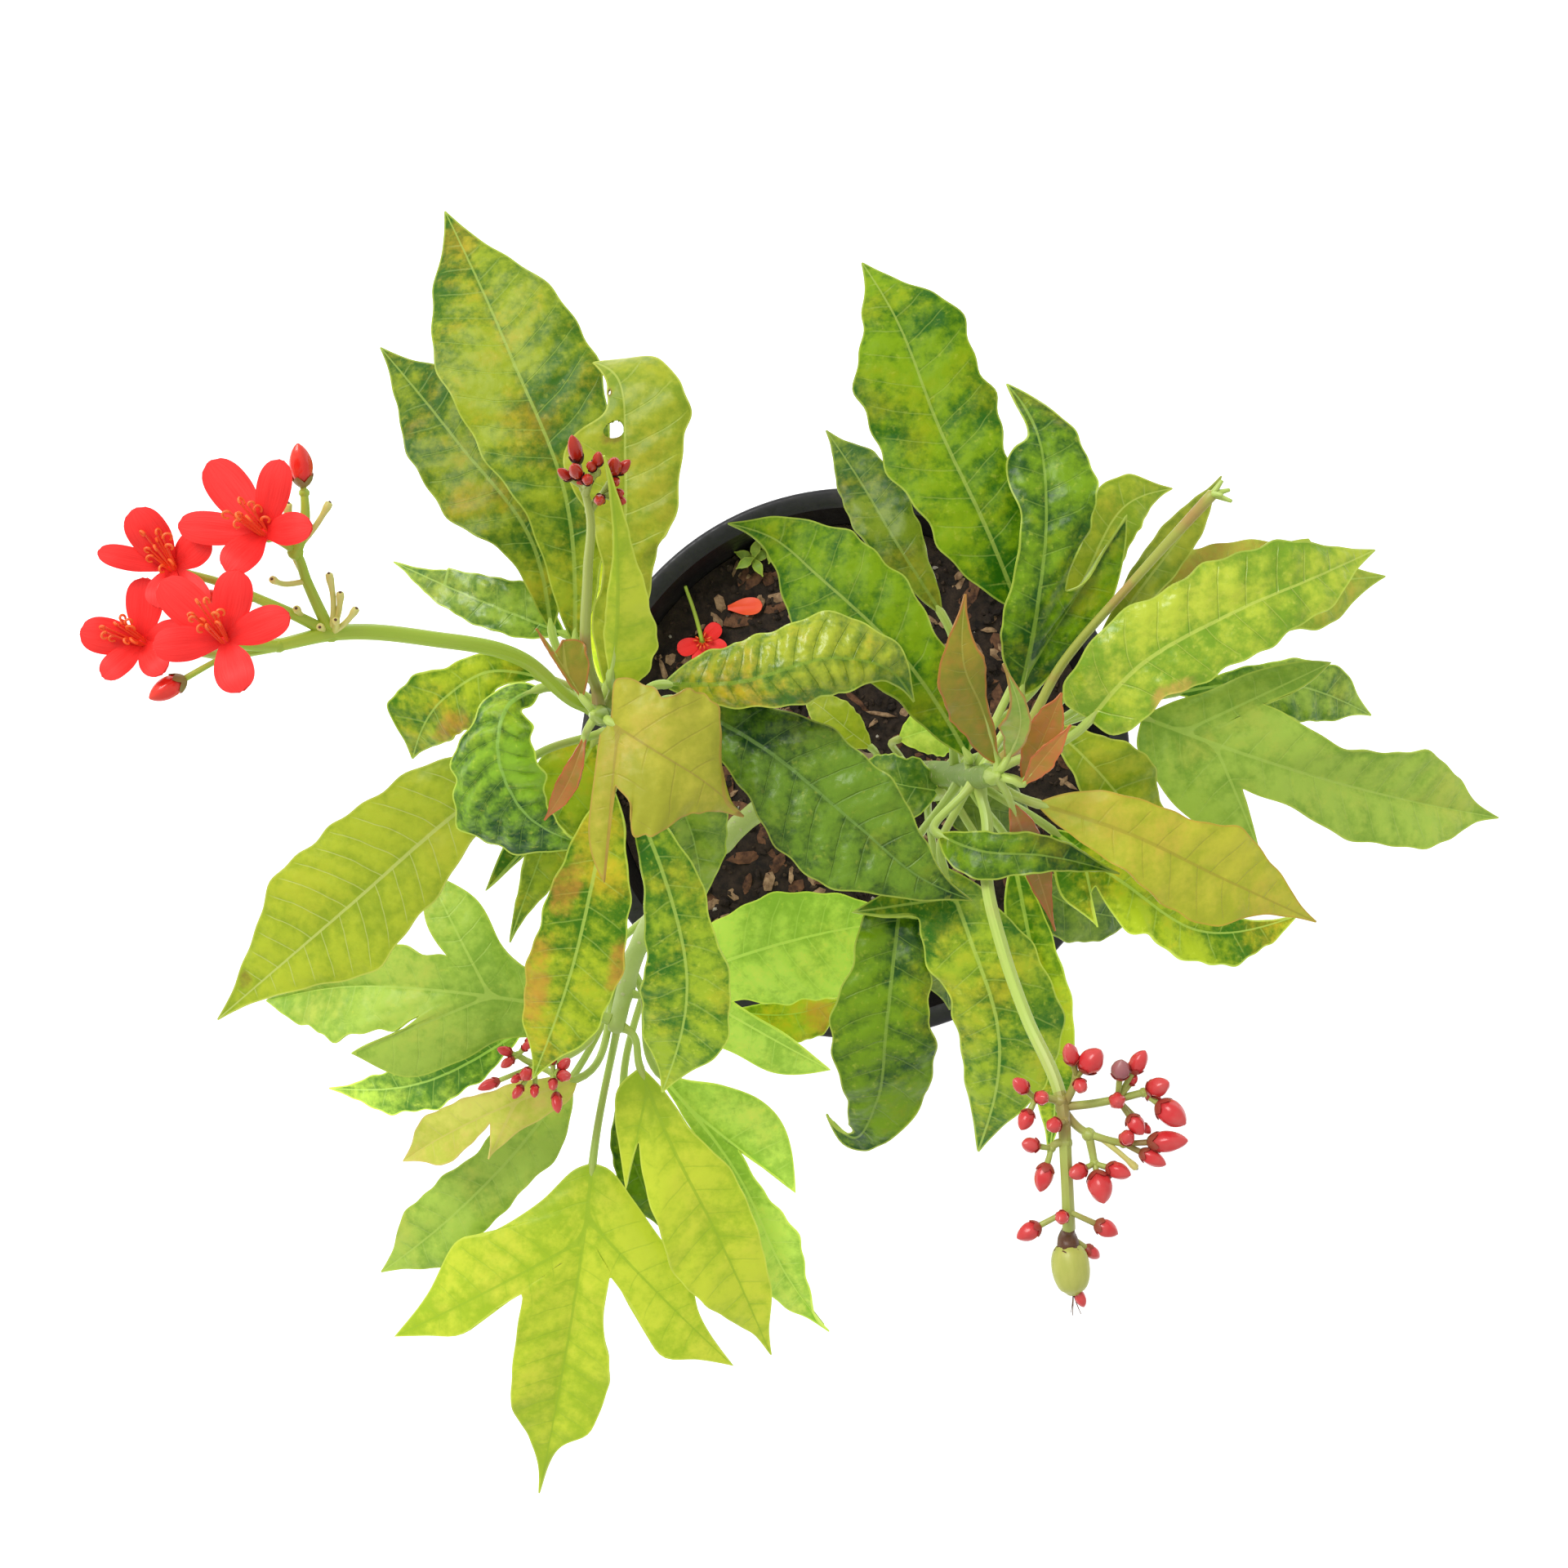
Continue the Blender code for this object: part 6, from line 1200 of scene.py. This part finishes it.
# The flower sprays: a firm green stalk that forks again and again, with a bud on each end.
# A bud is five crimson petals rolled to a point in a cup of five brown-green sepals; where a
# flower has dropped, a short tan stub with a dark spot stays. One young fruit hangs on.
#
# Each row gives the shoot and height that carry the spray, its main stalk, side stalks and
# bare stubs, and at each fork its buds as (x, y, z, radius, length). One bud is mauve.
SPRAYS = {
    "spray_buds_left": (
        "left", 422.5,
        [(-74.5, 20, 428, 1.35), (-72.8, 42, 448, 1.15), (-71.3, 54, 458.5, 0.95), (-72.3, 59, 461.5, 0.85)],
        [[(-71.4, 54.4, 458), (-70.3, 55.9, 458.5), (-68.4, 57.9, 458)],
         [(-72, 58, 461), (-70.8, 60, 464), (-69.1, 61.9, 466)],
         [(-68.4, 57.9, 458), (-66.9, 59.8, 460), (-65.9, 61.3, 461)]],
        [],
        [((-72.3, 59, 461.5),
          [(-73.6, 66.5, 468, 1.7, 7.6), (-76.1, 61.4, 466, 1.25, 4.6), (-73.3, 61.6, 469, 1.6, 5.8),
           (-70.7, 59.8, 469, 1.3, 3.8)]),
         ((-69.1, 61.9, 466),
          [(-68.4, 64.3, 469, 1.3, 4.2), (-69.9, 62.7, 469, 1.1, 3.6), (-72.1, 59.9, 467, 1, 3)]),
         ((-65.9, 61.3, 461),
          [(-65.2, 63.3, 465, 1.8, 6.2), (-63.3, 63.5, 463, 1.3, 5), (-65, 60, 464, 1.1, 3.2)]),
         ((-68.4, 57.9, 458),
          [(-68.5, 55.8, 465, 1.3, 4.4), (-64.5, 57.8, 462, 1.2, 3.6), (-64.2, 56.3, 461, 1.2, 3.6)])]),
    "spray_flowers": (
        "left", 414,
        [(-79, 12.5, 416, 1.6), (-90, 22, 426, 1.8), (-109, 26, 446, 1.8), (-129.5, 26, 462, 1.7),
         (-140, 23, 467, 1.4), (-150.5, 20.5, 471, 1.2)],
        [[(-129.5, 26, 462), (-134, 37.5, 466), (-135.5, 43.5, 470), (-138.5, 45.8, 474), (-139, 46, 476.5)],
         [(-129.5, 26, 462), (-137, 30, 466), (-143.5, 33, 469), (-153, 37, 469), (-159.5, 38.8, 470.5),
          (-160, 39, 472.5)],
         [(-140, 23, 467), (-145, 22.5, 473), (-146, 22.5, 481.5)],
         [(-150.5, 20.5, 471), (-160, 22, 466.5), (-167, 23, 467.5), (-167.5, 23, 469.5)],
         [(-135.5, 43.5, 470), (-133, 49, 472), (-132.5, 56, 474)]],
        [[(-134.2, 45, 470.5), (-130.5, 49.5, 471), (-127.5, 54, 472)],
         [(-129.5, 26, 462), (-128, 33, 466), (-128, 38.5, 470)],
         [(-129.5, 26, 462), (-124.5, 29, 466), (-122.5, 31, 468)],
         [(-134, 37.5, 466), (-137, 46, 469.5), (-136, 53.5, 474)],
         [(-129.5, 26, 462), (-127, 31, 465), (-126, 34.5, 468)],
         [(-132, 27, 463), (-135, 29.5, 465), (-135.5, 31, 469)],
         [(-134, 37.5, 466), (-138, 36.5, 469), (-139.5, 37, 474)],
         [(-131, 26, 462.5), (-130.7, 27, 465), (-130.5, 27, 468)],
         [(-129, 26, 462), (-127.5, 27.5, 465), (-127, 28.5, 468)]],
        [((-132.5, 56, 474), [(-132.5, 61.5, 477, 2.6, 10)]),
         ((-150.5, 20.5, 471), [(-162, 13, 475.5, 2.5, 9)]),
         ((-143.5, 33, 469), [(-153.5, 33, 474.5, 1.9, 7)])]),
    "spray_buds_right": (
        "right", 396,
        [(25.5, -16, 398, 1.5), (25, -32, 404, 1.6), (27, -48, 420, 1.6), (31, -64, 438, 1.5),
         (37.4, -81, 449, 1.5), (38.5, -97, 450.5, 1.4), (39.5, -112, 448, 1.5)],
        [[(38, -83.3, 448.7), (39.9, -79.4, 450), (40.9, -75.9, 451)],
         [(38, -83.3, 448.7), (45.3, -82.4, 449.5), (50.5, -81.3, 450), (56.5, -79.7, 450.5)],
         [(38, -83.7, 448.7), (42.5, -88.7, 449), (46.5, -90.3, 450), (52, -91.6, 450)],
         [(44, -89.7, 449.2), (44.7, -93.2, 449.5), (45.2, -96.2, 450)],
         [(37.5, -81.8, 449.5), (34.6, -81.2, 450), (31.5, -81.2, 450)],
         [(38.4, -91.4, 450.5), (36.3, -91.4, 451), (35.1, -92.6, 450.5)]],
        [[(46.5, -90.3, 450), (50.9, -93.7, 450), (54.9, -97.3, 450)]],
        [((40.9, -75.9, 451),
          [(43.8, -71.8, 454, 2.9, 7.5), (39.1, -70.3, 454, 1.9, 6.2), (41.2, -77.5, 455, 1.7, 4)]),
         ((50.5, -81.3, 450),
          [(49.7, -81, 454.5, 1.9, 4.4), (50.5, -73.8, 454.5, 2.2, 5.5, "mauve"), (54.9, -72.3, 453, 2, 6.5),
           (53.9, -76.7, 451.5, 1, 3), (54.3, -86.7, 453, 2.1, 5.5), (57, -88, 451, 1.1, 3)]),
         ((56.5, -79.7, 450.5),
          [(59.3, -77.9, 453.5, 2.3, 6.5), (58.7, -80.6, 451, 1.4, 4), (62.2, -83.9, 454, 3, 8.2)]),
         ((52, -91.6, 450),
          [(52.1, -89.5, 454, 1.8, 4.6), (61.5, -90.6, 453, 2.5, 9.5), (58.3, -94.6, 452, 1.9, 6.8)]),
         ((45.2, -96.2, 450),
          [(40.9, -97.6, 453, 1.9, 5.2), (46, -101, 453, 2.9, 8), (50.2, -97.4, 453, 2, 6.2)]),
         ((31.5, -81.2, 450),
          [(27.8, -77.8, 452, 1.8, 5), (32.5, -80.3, 454, 1.7, 3.8), (29, -85.7, 452, 1.9, 5.4)]),
         ((38.2, -86.1, 451), [(35, -86.5, 455, 1.8, 4.2)]),
         ((35.1, -92.6, 450.5), [(30, -91.4, 453, 1.8, 4.8), (33.3, -99.2, 451, 2.2, 7)]),
         ((38.9, -107.3, 449.5),
          [(30, -112.1, 450, 2.1, 6.4), (47.9, -111.4, 450, 2.1, 6), (37, -108, 454, 1.6, 3.6)]),
         ((40.5, -114.4, 446), [(45.6, -118.4, 444, 1.5, 5)])]),
    "spray_buds_low": (
        "low", 332,
        [(-84, -82.5, 339, 1.5), (-91, -87, 344, 1.3), (-98, -88.5, 349, 1.2)],
        [[(-98, -88.5, 349), (-101.6, -86.3, 351), (-102.8, -85.2, 352)],
         [(-98, -88.5, 349), (-94.1, -90, 351), (-92.6, -90.8, 352)]],
        [],
        [((-102.8, -85.2, 352),
          [(-106.1, -83.6, 355, 1.4, 5.2), (-105.3, -86.9, 355, 1.4, 5.2), (-99.9, -82.2, 355, 1.2, 4.2),
           (-99.1, -80.5, 354, 1.1, 3.6)]),
         ((-98, -88.5, 349),
          [(-99.8, -90, 357, 1.9, 5), (-102.9, -91.5, 355, 1.2, 4), (-110.7, -93.3, 354, 1.6, 6.8),
           (-102.4, -95.2, 355, 1.4, 5), (-97.5, -94.8, 356, 1.3, 4.6)]),
         ((-92.6, -90.8, 352),
          [(-91.2, -98, 356, 1.6, 6.4), (-92.3, -93, 356, 1.4, 4.6), (-89, -90.3, 357, 1.7, 6.2),
           (-89.2, -87.3, 355, 1.6, 5.4), (-92.7, -86.1, 354, 1.1, 3.6)])]),
}
# The young fruit: its stalk's end, its foot and its middle, its radius and half its length.
FRUIT = ((39.5, -112, 448), (39.6, -114.6, 446), (40.3, -121.6, 446), 4.6, 5.7)
STALK, SCAR, BUD, SEPALS, FRUIT_SKIN, SPOT, COLLAR, MAUVE, PLAIN_GREEN = range(9)


def bud_girth(share):
    """A bud's radius along its length as a share of the greatest: a fattened sine."""
    return 1.04 * np.sin(np.pi * share) ** 0.56 * (1.04 - 0.14 * share)


def bud(root, tip, radius, sides=20):
    """A bud from root to tip, less a shallow furrow of five petals that winds round it."""
    share = np.concatenate([[0.012], np.linspace(0.05, 0.94, 13), [0.985]])
    girth = radius * bud_girth(share)
    winding = 2.5 * (around(sides) + share[:, None])
    furrow = -0.10 / 1.04 * girth[:, None] * np.abs(np.cos(winding)) ** 3
    return stalk(root + np.outer(share, tip - root), girth, sides, furrow)


def sepals(root, tip, radius, rise_to=0.30, sides=20):
    """Five pointed scales round a bud's foot: a cup with an outer and an inner skin, whose rim
    rises to five points."""
    length = np.linalg.norm(tip - root)
    way = (tip - root) / length
    across = np.cross(way, np.linalg.svd(way[None])[2][-1])
    angle = around(sides)
    point = np.abs(np.cos(2.5 * angle)) ** 1.5
    rise = length * (0.02 + np.outer(np.linspace(0.0, 1.0, 6), 0.5 * rise_to * (1.0 + point)))
    girth = radius * bud_girth(np.clip(rise / length, 0.01, 0.99))
    out = (across[:, None] * np.cos(angle) + np.cross(way, across)[:, None] * np.sin(angle)).T
    skins = [root + rise[..., None] * way + out * (girth + gap)[..., None] for gap in (0.28, 0.02)]
    points = np.concatenate([skins[0], skins[1][::-1]])
    return points.reshape(-1, 3), ring_faces(12, sides), 0.0


def young_fruit(stalk_end, foot, middle, radius, half_length, sides=24):
    """The fruit: a ribbed barrel, blunt at both ends, in a dark toothed collar, with the dried
    threads and one pink scrap of the flower at its tip."""
    stalk_end, foot, middle = (np.array(place, float) for place in (stalk_end, foot, middle))
    way = unit(middle - foot)
    root, tip = middle - way * half_length, middle + way * half_length
    share = np.concatenate([[0.015], np.linspace(0.06, 0.94, 15), [0.985]])
    girth = radius * np.sin(np.pi * share) ** 0.24 * (1.03 - 0.06 * share)
    furrow = -0.06 * girth[:, None] * np.abs(np.cos(3.0 * around(sides))) ** 4
    parts = [(*stalk(root + np.outer(share, tip - root), girth, sides, furrow), FRUIT_SKIN)]
    parts += [(*stalk(smooth_path([stalk_end, foot, root + way], 12),
                      [1.5, 1.5, 1.6, 1.7, 1.9, 2.1, 2.3, 2.4, 2.5, 2.6, 2.6, 2.4], 14), COLLAR)]
    parts += [(*sepals(root - way * 0.6, tip, radius * 1.02, 0.14), COLLAR)]
    for i in range(5):
        bend = np.array([1.44 * np.cos(2.1 * i), -0.96, 1.44 * np.sin(2.1 * i)])
        curl = np.outer(np.linspace(0.0, 1.0, 8) ** 1.6, bend)
        thread = tip + np.outer(np.linspace(-0.3, 4.2, 8), way) + curl
        parts += [(*stalk(thread, np.linspace(0.16, 0.08, 8), 5), SPOT)]
    scrap = tip + [0.9, 0.7, 0.2]
    parts += [(*bud(scrap, scrap + way * 4.2 + [1.2, 0.0, 0.0], 1.35), BUD)]
    return parts


def stub(path, radius=0.66):
    """A scar left by a dropped flower: a short stalk that widens to a round flat end."""
    radii = np.full(len(path), radius)
    radii[-3:] *= (1.15, 1.4, 1.3)
    return stalk(path, radii, 10)


def bud_finish(name, foot, petal, tip, rough):
    """Satin petals: dark at the foot, crimson in the middle and paler at the point, with fine
    streaks along them."""
    tree, made = blank_finish(name, Roughness=rough)
    along = marks_of(tree, "figure")["X"]
    noise = noise_in(tree, place_in(tree), 300.0, 4.0)
    low = blend(tree, ramp(tree, along, 0.10, 0.40), paint(*foot), paint(*petal))
    high = blend(tree, ramp(tree, along, 0.60, 1.0, 0.0, 0.35), low, paint(*tip))
    colour = blend(tree, ramp(tree, noise, 0.42, 0.75, 0.0, 0.4), high, paint(*tip))
    plug_in(tree, colour, noise, 0.15, 0.0003)
    return made


spray_skins = {name: bud_finish(name, *shades) for name, shades in {
    "pink_bud": ((150, 40, 38), (206, 52, 54), (206, 104, 98), 0.24),
    "red_bud": ((150, 24, 20), (228, 46, 36), (238, 104, 80), 0.2),
    "mauve_bud": ((120, 56, 58), (156, 92, 96), (176, 130, 120), 0.35),
    "dark_bud": ((70, 24, 14), (168, 38, 22), (192, 76, 50), 0.24)}.items()}
spray_skins.update({name: stalk_finish(name, *shades) for name, shades in {
    "sepal_skin": ((176, 76, 62), (140, 38, 36), (120, 84, 50), 0.6),
    "olive_sepals": ((150, 136, 70), (118, 92, 50), (150, 96, 64), 0.5),
    "dark_sepals": ((84, 34, 30), (50, 20, 20), (90, 60, 34), 0.5),
    "tinted_stalk": ((180, 190, 100), (148, 164, 70), (146, 100, 66), 0.75),
    "flower_stalk": ((176, 200, 72), (146, 180, 44), (170, 170, 86), 0.3),
    "scar_skin": ((224, 216, 134), (200, 202, 100), (196, 170, 96), 0.3),
    "scar_spot": ((110, 76, 40), (76, 50, 30), (60, 38, 24), 0.4),
    "fruit_skin": ((190, 190, 96), (160, 168, 70), (170, 160, 84), 0.3),
    "collar_skin": ((110, 74, 44), (72, 40, 30), (58, 26, 24), 0.8)}.items()})
spray_skins["green_stalk"] = green_stalk
SPRAY_FINISHES = {"spray_flowers": ("flower_stalk", "red_bud", "olive_sepals"),
                  "spray_buds_low": ("green_stalk", "pink_bud", "sepal_skin"),
                  "spray_buds_left": ("tinted_stalk", "dark_bud", "dark_sepals"),
                  "spray_buds_right": ("tinted_stalk", "pink_bud", "sepal_skin")}
MAIN_SIDES = 14

for name, (shoot, height, main, side_stalks, stubs, forks) in SPRAYS.items():
    open_flowers = name == "spray_flowers"
    start, away = leave_shoot(shoot, height, main[0][:3])
    rows = [(*start, main[0][3] * 1.25), (*(start + away * 3.0), main[0][3])] + list(main)
    path = smooth_path(rows, 70)
    swell = 0.08 * path[:, 3:] * np.cos(5.0 * around(MAIN_SIDES))
    knots = {route[0]: np.abs(path[:, :3] - route[0]).sum(axis=1).argmin() for route in side_stalks}
    main_stalk = stalk(path[:, :3], path[:, 3], MAIN_SIDES, swell)
    below_knots = np.arange(len(main_stalk[1])) < MAIN_SIDES * min(knots.values())
    below = PLAIN_GREEN if name == "spray_buds_right" else STALK
    parts = [(*main_stalk, np.where(below_knots, below, STALK))]
    for route in side_stalks:
        radii = np.linspace(1.45 if open_flowers else 1.05, 0.85, 20)
        parts += [(*stalk(smooth_path(route, 20), radii, 10), STALK)]
    for knot, nearest in sorted(knots.items()):
        lump = knot + np.outer(np.linspace(-1.5, 1.5, 7), (0.3, 0.2, 0.93))
        girth = 1.2 * path[nearest, 3] * np.array([0.3, 0.75, 0.95, 1.0, 0.95, 0.75, 0.3])
        parts += [(*stalk(lump, girth, 12), STALK)]
    for route in stubs:
        route = smooth_path(route, 12)
        way = unit(route[-1] - route[-2])
        spot = stalk([route[-1] + way * 0.3, route[-1] + way * 0.45], 0.34, 8)
        parts += [(*stub(route), SCAR), (*spot, SPOT)]
    for fork, buds in forks:
        fork = np.array(fork, float)
        lump = fork + np.outer(np.linspace(-1.0, 1.0, 5), (0.2, 0.1, 0.97))
        parts += [(*stalk(lump, [0.5, 1.0, 1.2, 1.0, 0.5], 10), STALK)]
        for x, y, z, radius, length, *mauve in buds:
            middle = np.array((x, y, z), float)
            way = unit(middle - fork)
            root, tip = middle - way * length / 2.0, middle + way * length / 2.0
            parts += [(*bud(root, tip, radius), MAUVE if mauve else BUD), (*sepals(root, tip, radius), SEPALS)]
            foot = root + way * 0.4
            path = smooth_path([fork, (fork + foot) / 2.0 + [0.0, 0.0, 0.3], foot], 10)
            parts += [(*stalk(path, np.linspace(0.62, 0.74, 10), 8), STALK)]
    if name == "spray_buds_right":
        parts += young_fruit(*FRUIT)
    own_stalk, own_bud, own_sepals = SPRAY_FINISHES[name]
    piece = assemble(name + "_stalks", parts, [spray_skins[skin] for skin in (
        own_stalk, "scar_skin", own_bud, own_sepals, "fruit_skin", "scar_spot", "collar_skin", "mauve_bud",
        "green_stalk")])
    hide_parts(name)


# The open flowers: five soft red petals round a throat, with a tuft of orange stamens.
# Each petal is broad and rounded, and bends down a little at its sides; the stamens lean up
# and to one side and curl at their tips.
#
# Each row gives the throat, the way the stamens lean, and every petal's tip and half width.
FLOWERS = {
    "flower_1": ((-139, 46, 482), (-0.6, 0.7), [
        (-151, 61.5, 482, 4.6), (-134, 61, 487, 3.7), (-127, 46.5, 489, 3.5), (-145, 37, 489, 3.8),
        (-157, 47.5, 484, 3.6)]),
    "flower_2": ((-160, 39, 478), (-0.35, 0.8), [
        (-166.5, 51, 484, 4.4), (-175, 42, 482, 2.6), (-162, 30, 482, 3.6), (-152, 30, 481, 3.4),
        (-151.5, 45.5, 481, 3.8)]),
    "flower_3": ((-167.5, 23, 475), (-0.7, 0.5), [
        (-179.5, 25, 480, 4.0), (-174.5, 15, 480, 2.9), (-161.5, 16, 480, 3.4), (-157, 25, 478, 3.6),
        (-166.5, 37, 477, 4.0)]),
    "flower_4": ((-146, 22.5, 487), (-0.4, 0.8), [
        (-159, 35, 489, 4.4), (-142, 37, 491, 4.2), (-131, 27.5, 492, 3.7), (-141, 11.5, 492, 4.3),
        (-160, 21, 491, 3.8)]),
}
PETAL, STAMEN, ANTHER, CUP = range(4)
PETAL_ROWS = 22
PETAL_COLUMNS = 15
PETAL_THICKNESS = 0.5
WIDEST = 0.62


def petal(throat, tip, half_width):
    """A petal from the throat to its tip: its half width swells as a quarter sine to WIDEST along
    its length, then closes as a blunt quarter oval; its sides droop by the square of the
    distance out, and a shallow furrow runs down the middle."""
    away = tip - throat
    flat = away * [1.0, 1.0, 0.0]
    rib = [throat, throat + flat * 0.36 + [0.0, 0.0, away[2] * 0.55],
           throat + flat * 0.72 + [0.0, 0.0, away[2] * 0.95], tip]
    at = np.linspace(0.0, 1.0, PETAL_ROWS)
    centre, level = rib_at(rib, at)
    spread = np.linspace(-1.0, 1.0, PETAL_COLUMNS)
    widening = 0.26 + 0.74 * np.sin(np.pi / 2.0 * np.clip(at / WIDEST, 0.0, 1.0)) ** 1.2
    closing = np.sqrt(np.clip(1.0 - (np.clip(at - WIDEST, 0.0, None) / 0.382) ** 2.6, 0.0, 1.0))
    width = half_width * widening * closing
    out = np.outer(width, spread)
    side = np.stack([-level[:, 1], level[:, 0]], axis=-1)
    middle = np.empty((*out.shape, 3))
    middle[..., :2] = centre[:, None, :2] + side[:, None] * out[..., None]
    droop = 0.028 * out**2 * (0.4 + at[:, None])
    furrow = 0.35 * np.exp(-(out / 0.8) ** 2) * (1.0 - at[:, None])
    middle[..., 2] = centre[:, 2:] - droop - furrow + 0.15 * np.sin(9.0 * at[:, None]) * spread**2
    marks = np.stack(np.broadcast_arrays(at[:, None], spread), axis=-1)
    points, faces, marks, _ = sheet(middle, np.full(out.shape, PETAL_THICKNESS), marks)
    return points, faces, marks, PETAL


def petal_finish():
    """Velvety scarlet, deeper along fine veins that run to the tip, and darker towards the throat, which is
    painted shade where the petals cup round it.
    """
    tree, made = blank_finish("petal_red", Roughness=0.5, Specular_IOR_Level=0.25)
    figure = fit(tree, "UVMap", uv_map="figure").outputs[0]
    along = fit(tree, "SeparateXYZ", {"Vector": figure}).outputs["X"]
    streaks = noise_in(tree, stretch(tree, figure, (1.5, 9.0, 1.0)), 1.6, 3.0)
    skin = blend(tree, noise_in(tree, place_in(tree), 60.0, 2.0), paint(240, 42, 42), paint(248, 64, 58))
    veined = blend(tree, ramp(tree, streaks, 0.40, 0.70, 0.0, 0.5), skin, paint(226, 30, 30))
    # Painted shade: the petals darken towards the throat where they cup.
    colour = blend(tree, ramp(tree, along, 0.45, 0.05, 0.0, 0.6), veined, paint(200, 18, 14))
    plug_in(tree, colour, streaks, 0.25, 0.0003)
    return made


def stamens(throat, lean, length, seed):
    """Ten threads from the throat that lean one way and spread a little, each with an anther at
    its end rolled into most of a ring."""
    dice = np.random.default_rng(seed)
    parts = []
    for i in range(10):
        turn = 2.0 * np.pi * (i + dice.uniform(-0.3, 0.3)) / 10.0
        out = np.array([np.cos(turn), np.sin(turn), 0.0])
        tall = length * dice.uniform(0.4, 1.1)
        t = np.linspace(0.0, 1.0, 10)[:, None]
        route = throat + t * tall * np.array([*lean, 0.9]) + out * (0.8 + 1.2 * t) + [0.0, 0.0, 0.3]
        parts += [(*stalk(route, np.linspace(0.28, 0.22, 10), 6), STAMEN)]
        way = unit(route[-1] - route[-2])
        across = out - way * (out @ way)
        roll = np.linspace(0.0, 4.4, 12)[:, None]
        ring = route[-1] + dice.uniform(0.6, 0.95) * (np.sin(roll) * way + (1.0 - np.cos(roll)) * across)
        parts += [(*stalk(ring, np.linspace(0.34, 0.26, 12), 6), ANTHER)]
    return parts


petal_skins = [petal_finish(), stalk_finish("stamen_red", (252, 92, 50), (240, 64, 36), (255, 112, 54), 0.6),
               stalk_finish("anther_orange", (254, 116, 46), (246, 88, 38), (255, 136, 54), 0.5),
               spray_skins["flower_stalk"]]

for seed, (name, (throat, lean, tips)) in enumerate(FLOWERS.items(), 31):
    throat = np.array(throat, float)
    parts = [petal(throat, np.array(tip[:3], float), tip[3]) for tip in tips]
    cup = [throat + [0.0, 0.0, step] for step in (-5.2, -4.4, -3.4, -2.4, -1.6, -0.9)]
    parts += [(*stalk(cup, [0.95, 1.35, 1.6, 1.65, 1.5, 1.1], 10), CUP)]
    heart = [throat + [0.0, 0.0, step] for step in (-1.2, -0.4, 0.4, 0.9)]
    parts += [(*stalk(heart, [1.5, 1.7, 1.4, 0.6], 10), PETAL)]
    parts += stamens(throat, lean, 6.6, seed)
    piece = assemble(name + "_petals", parts, petal_skins)
    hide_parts(name)


# What has dropped on the soil: one whole flower, limp on its stalk, and a single petal.
# Both lie a hair above the ground and are a little wilted. Three weeds grow beside them.
#
# The flower's petals (tip, half width) and its stalk are given from the throat.
FALLEN_FLOWER = (-59, 48, SOIL_TOP + 3.0)
FALLEN_PETALS = [(-1, -10, 0.6, 3.4), (9.5, -4, 1.2, 3.4), (7, 6, 1.8, 3.2), (-9.5, -4, 1.4, 3.4)]
FALLEN_STALK = [(0, 0, 1.6), (-2, 8, 4.0), (-6, 20, 12.0)]
FALLEN_PETAL = [(-49, 61, SOIL_TOP + 2.4), (-35.5, 62, SOIL_TOP + 2.4)]
WEED_LEAF = (1.2, 2.0, 1.8, 1.0)
UP = np.array([0.0, 0.0, 1.0])

rest = np.array(FALLEN_FLOWER)
parts = [petal(rest, rest + tip[:3], tip[3]) for tip in FALLEN_PETALS]
parts += [(*stalk([rest + UP * step for step in (-1.0, 0.2, 1.0)], [1.2, 1.5, 1.0], 8), CUP)]
parts += [(*stalk(smooth_path([rest + step for step in FALLEN_STALK], 16), np.linspace(0.9, 0.7, 16), 8), CUP)]
parts += stamens(rest, (0.1, -0.1), 4.0, 40)
piece = assemble("dropped_flower", parts, petal_skins)
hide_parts("fallen_flower")

first, last = np.array(FALLEN_PETAL)
piece = assemble("dropped_petal", [(*petal(first, last, 3.4)[:3], STAMEN)], petal_skins)
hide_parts("fallen_petal")

parts = []
for x, y, size, turn in ((-39, 80, 1.0, 0.4), (-31, 84, 0.8, 2.0), (-22, 72, 0.7, 4.0)):
    foot = np.array([x, y, soil_height(x, y) - 0.6])
    for i in range(5):
        angle = turn + GOLDEN_TURN * i
        out = size * np.array([np.cos(angle), np.sin(angle), 0.0])
        rib = [foot + out * run + UP * (rise + i) for run, rise in ((0.0, 2.5), (3.5, 4.5), (8.0, 4.0))]
        parts += blade(rib, WEED_LEAF, WEED_LEAF, (0.2, 0.2), rows=14, half=4, quilt=0.1, spacing=3.0)[0]
        path = [foot, foot + [0.1, 0.1, 1.6], rib[0], foot + out * 2.0 + UP * (3.4 + i)]
        parts += [(*stalk(path, 0.35, 6), RIB)]
weeds = assemble("soil_weeds", parts, [LEAF_LOOKS["fresh"], LEAF_BACK, green_stalk])
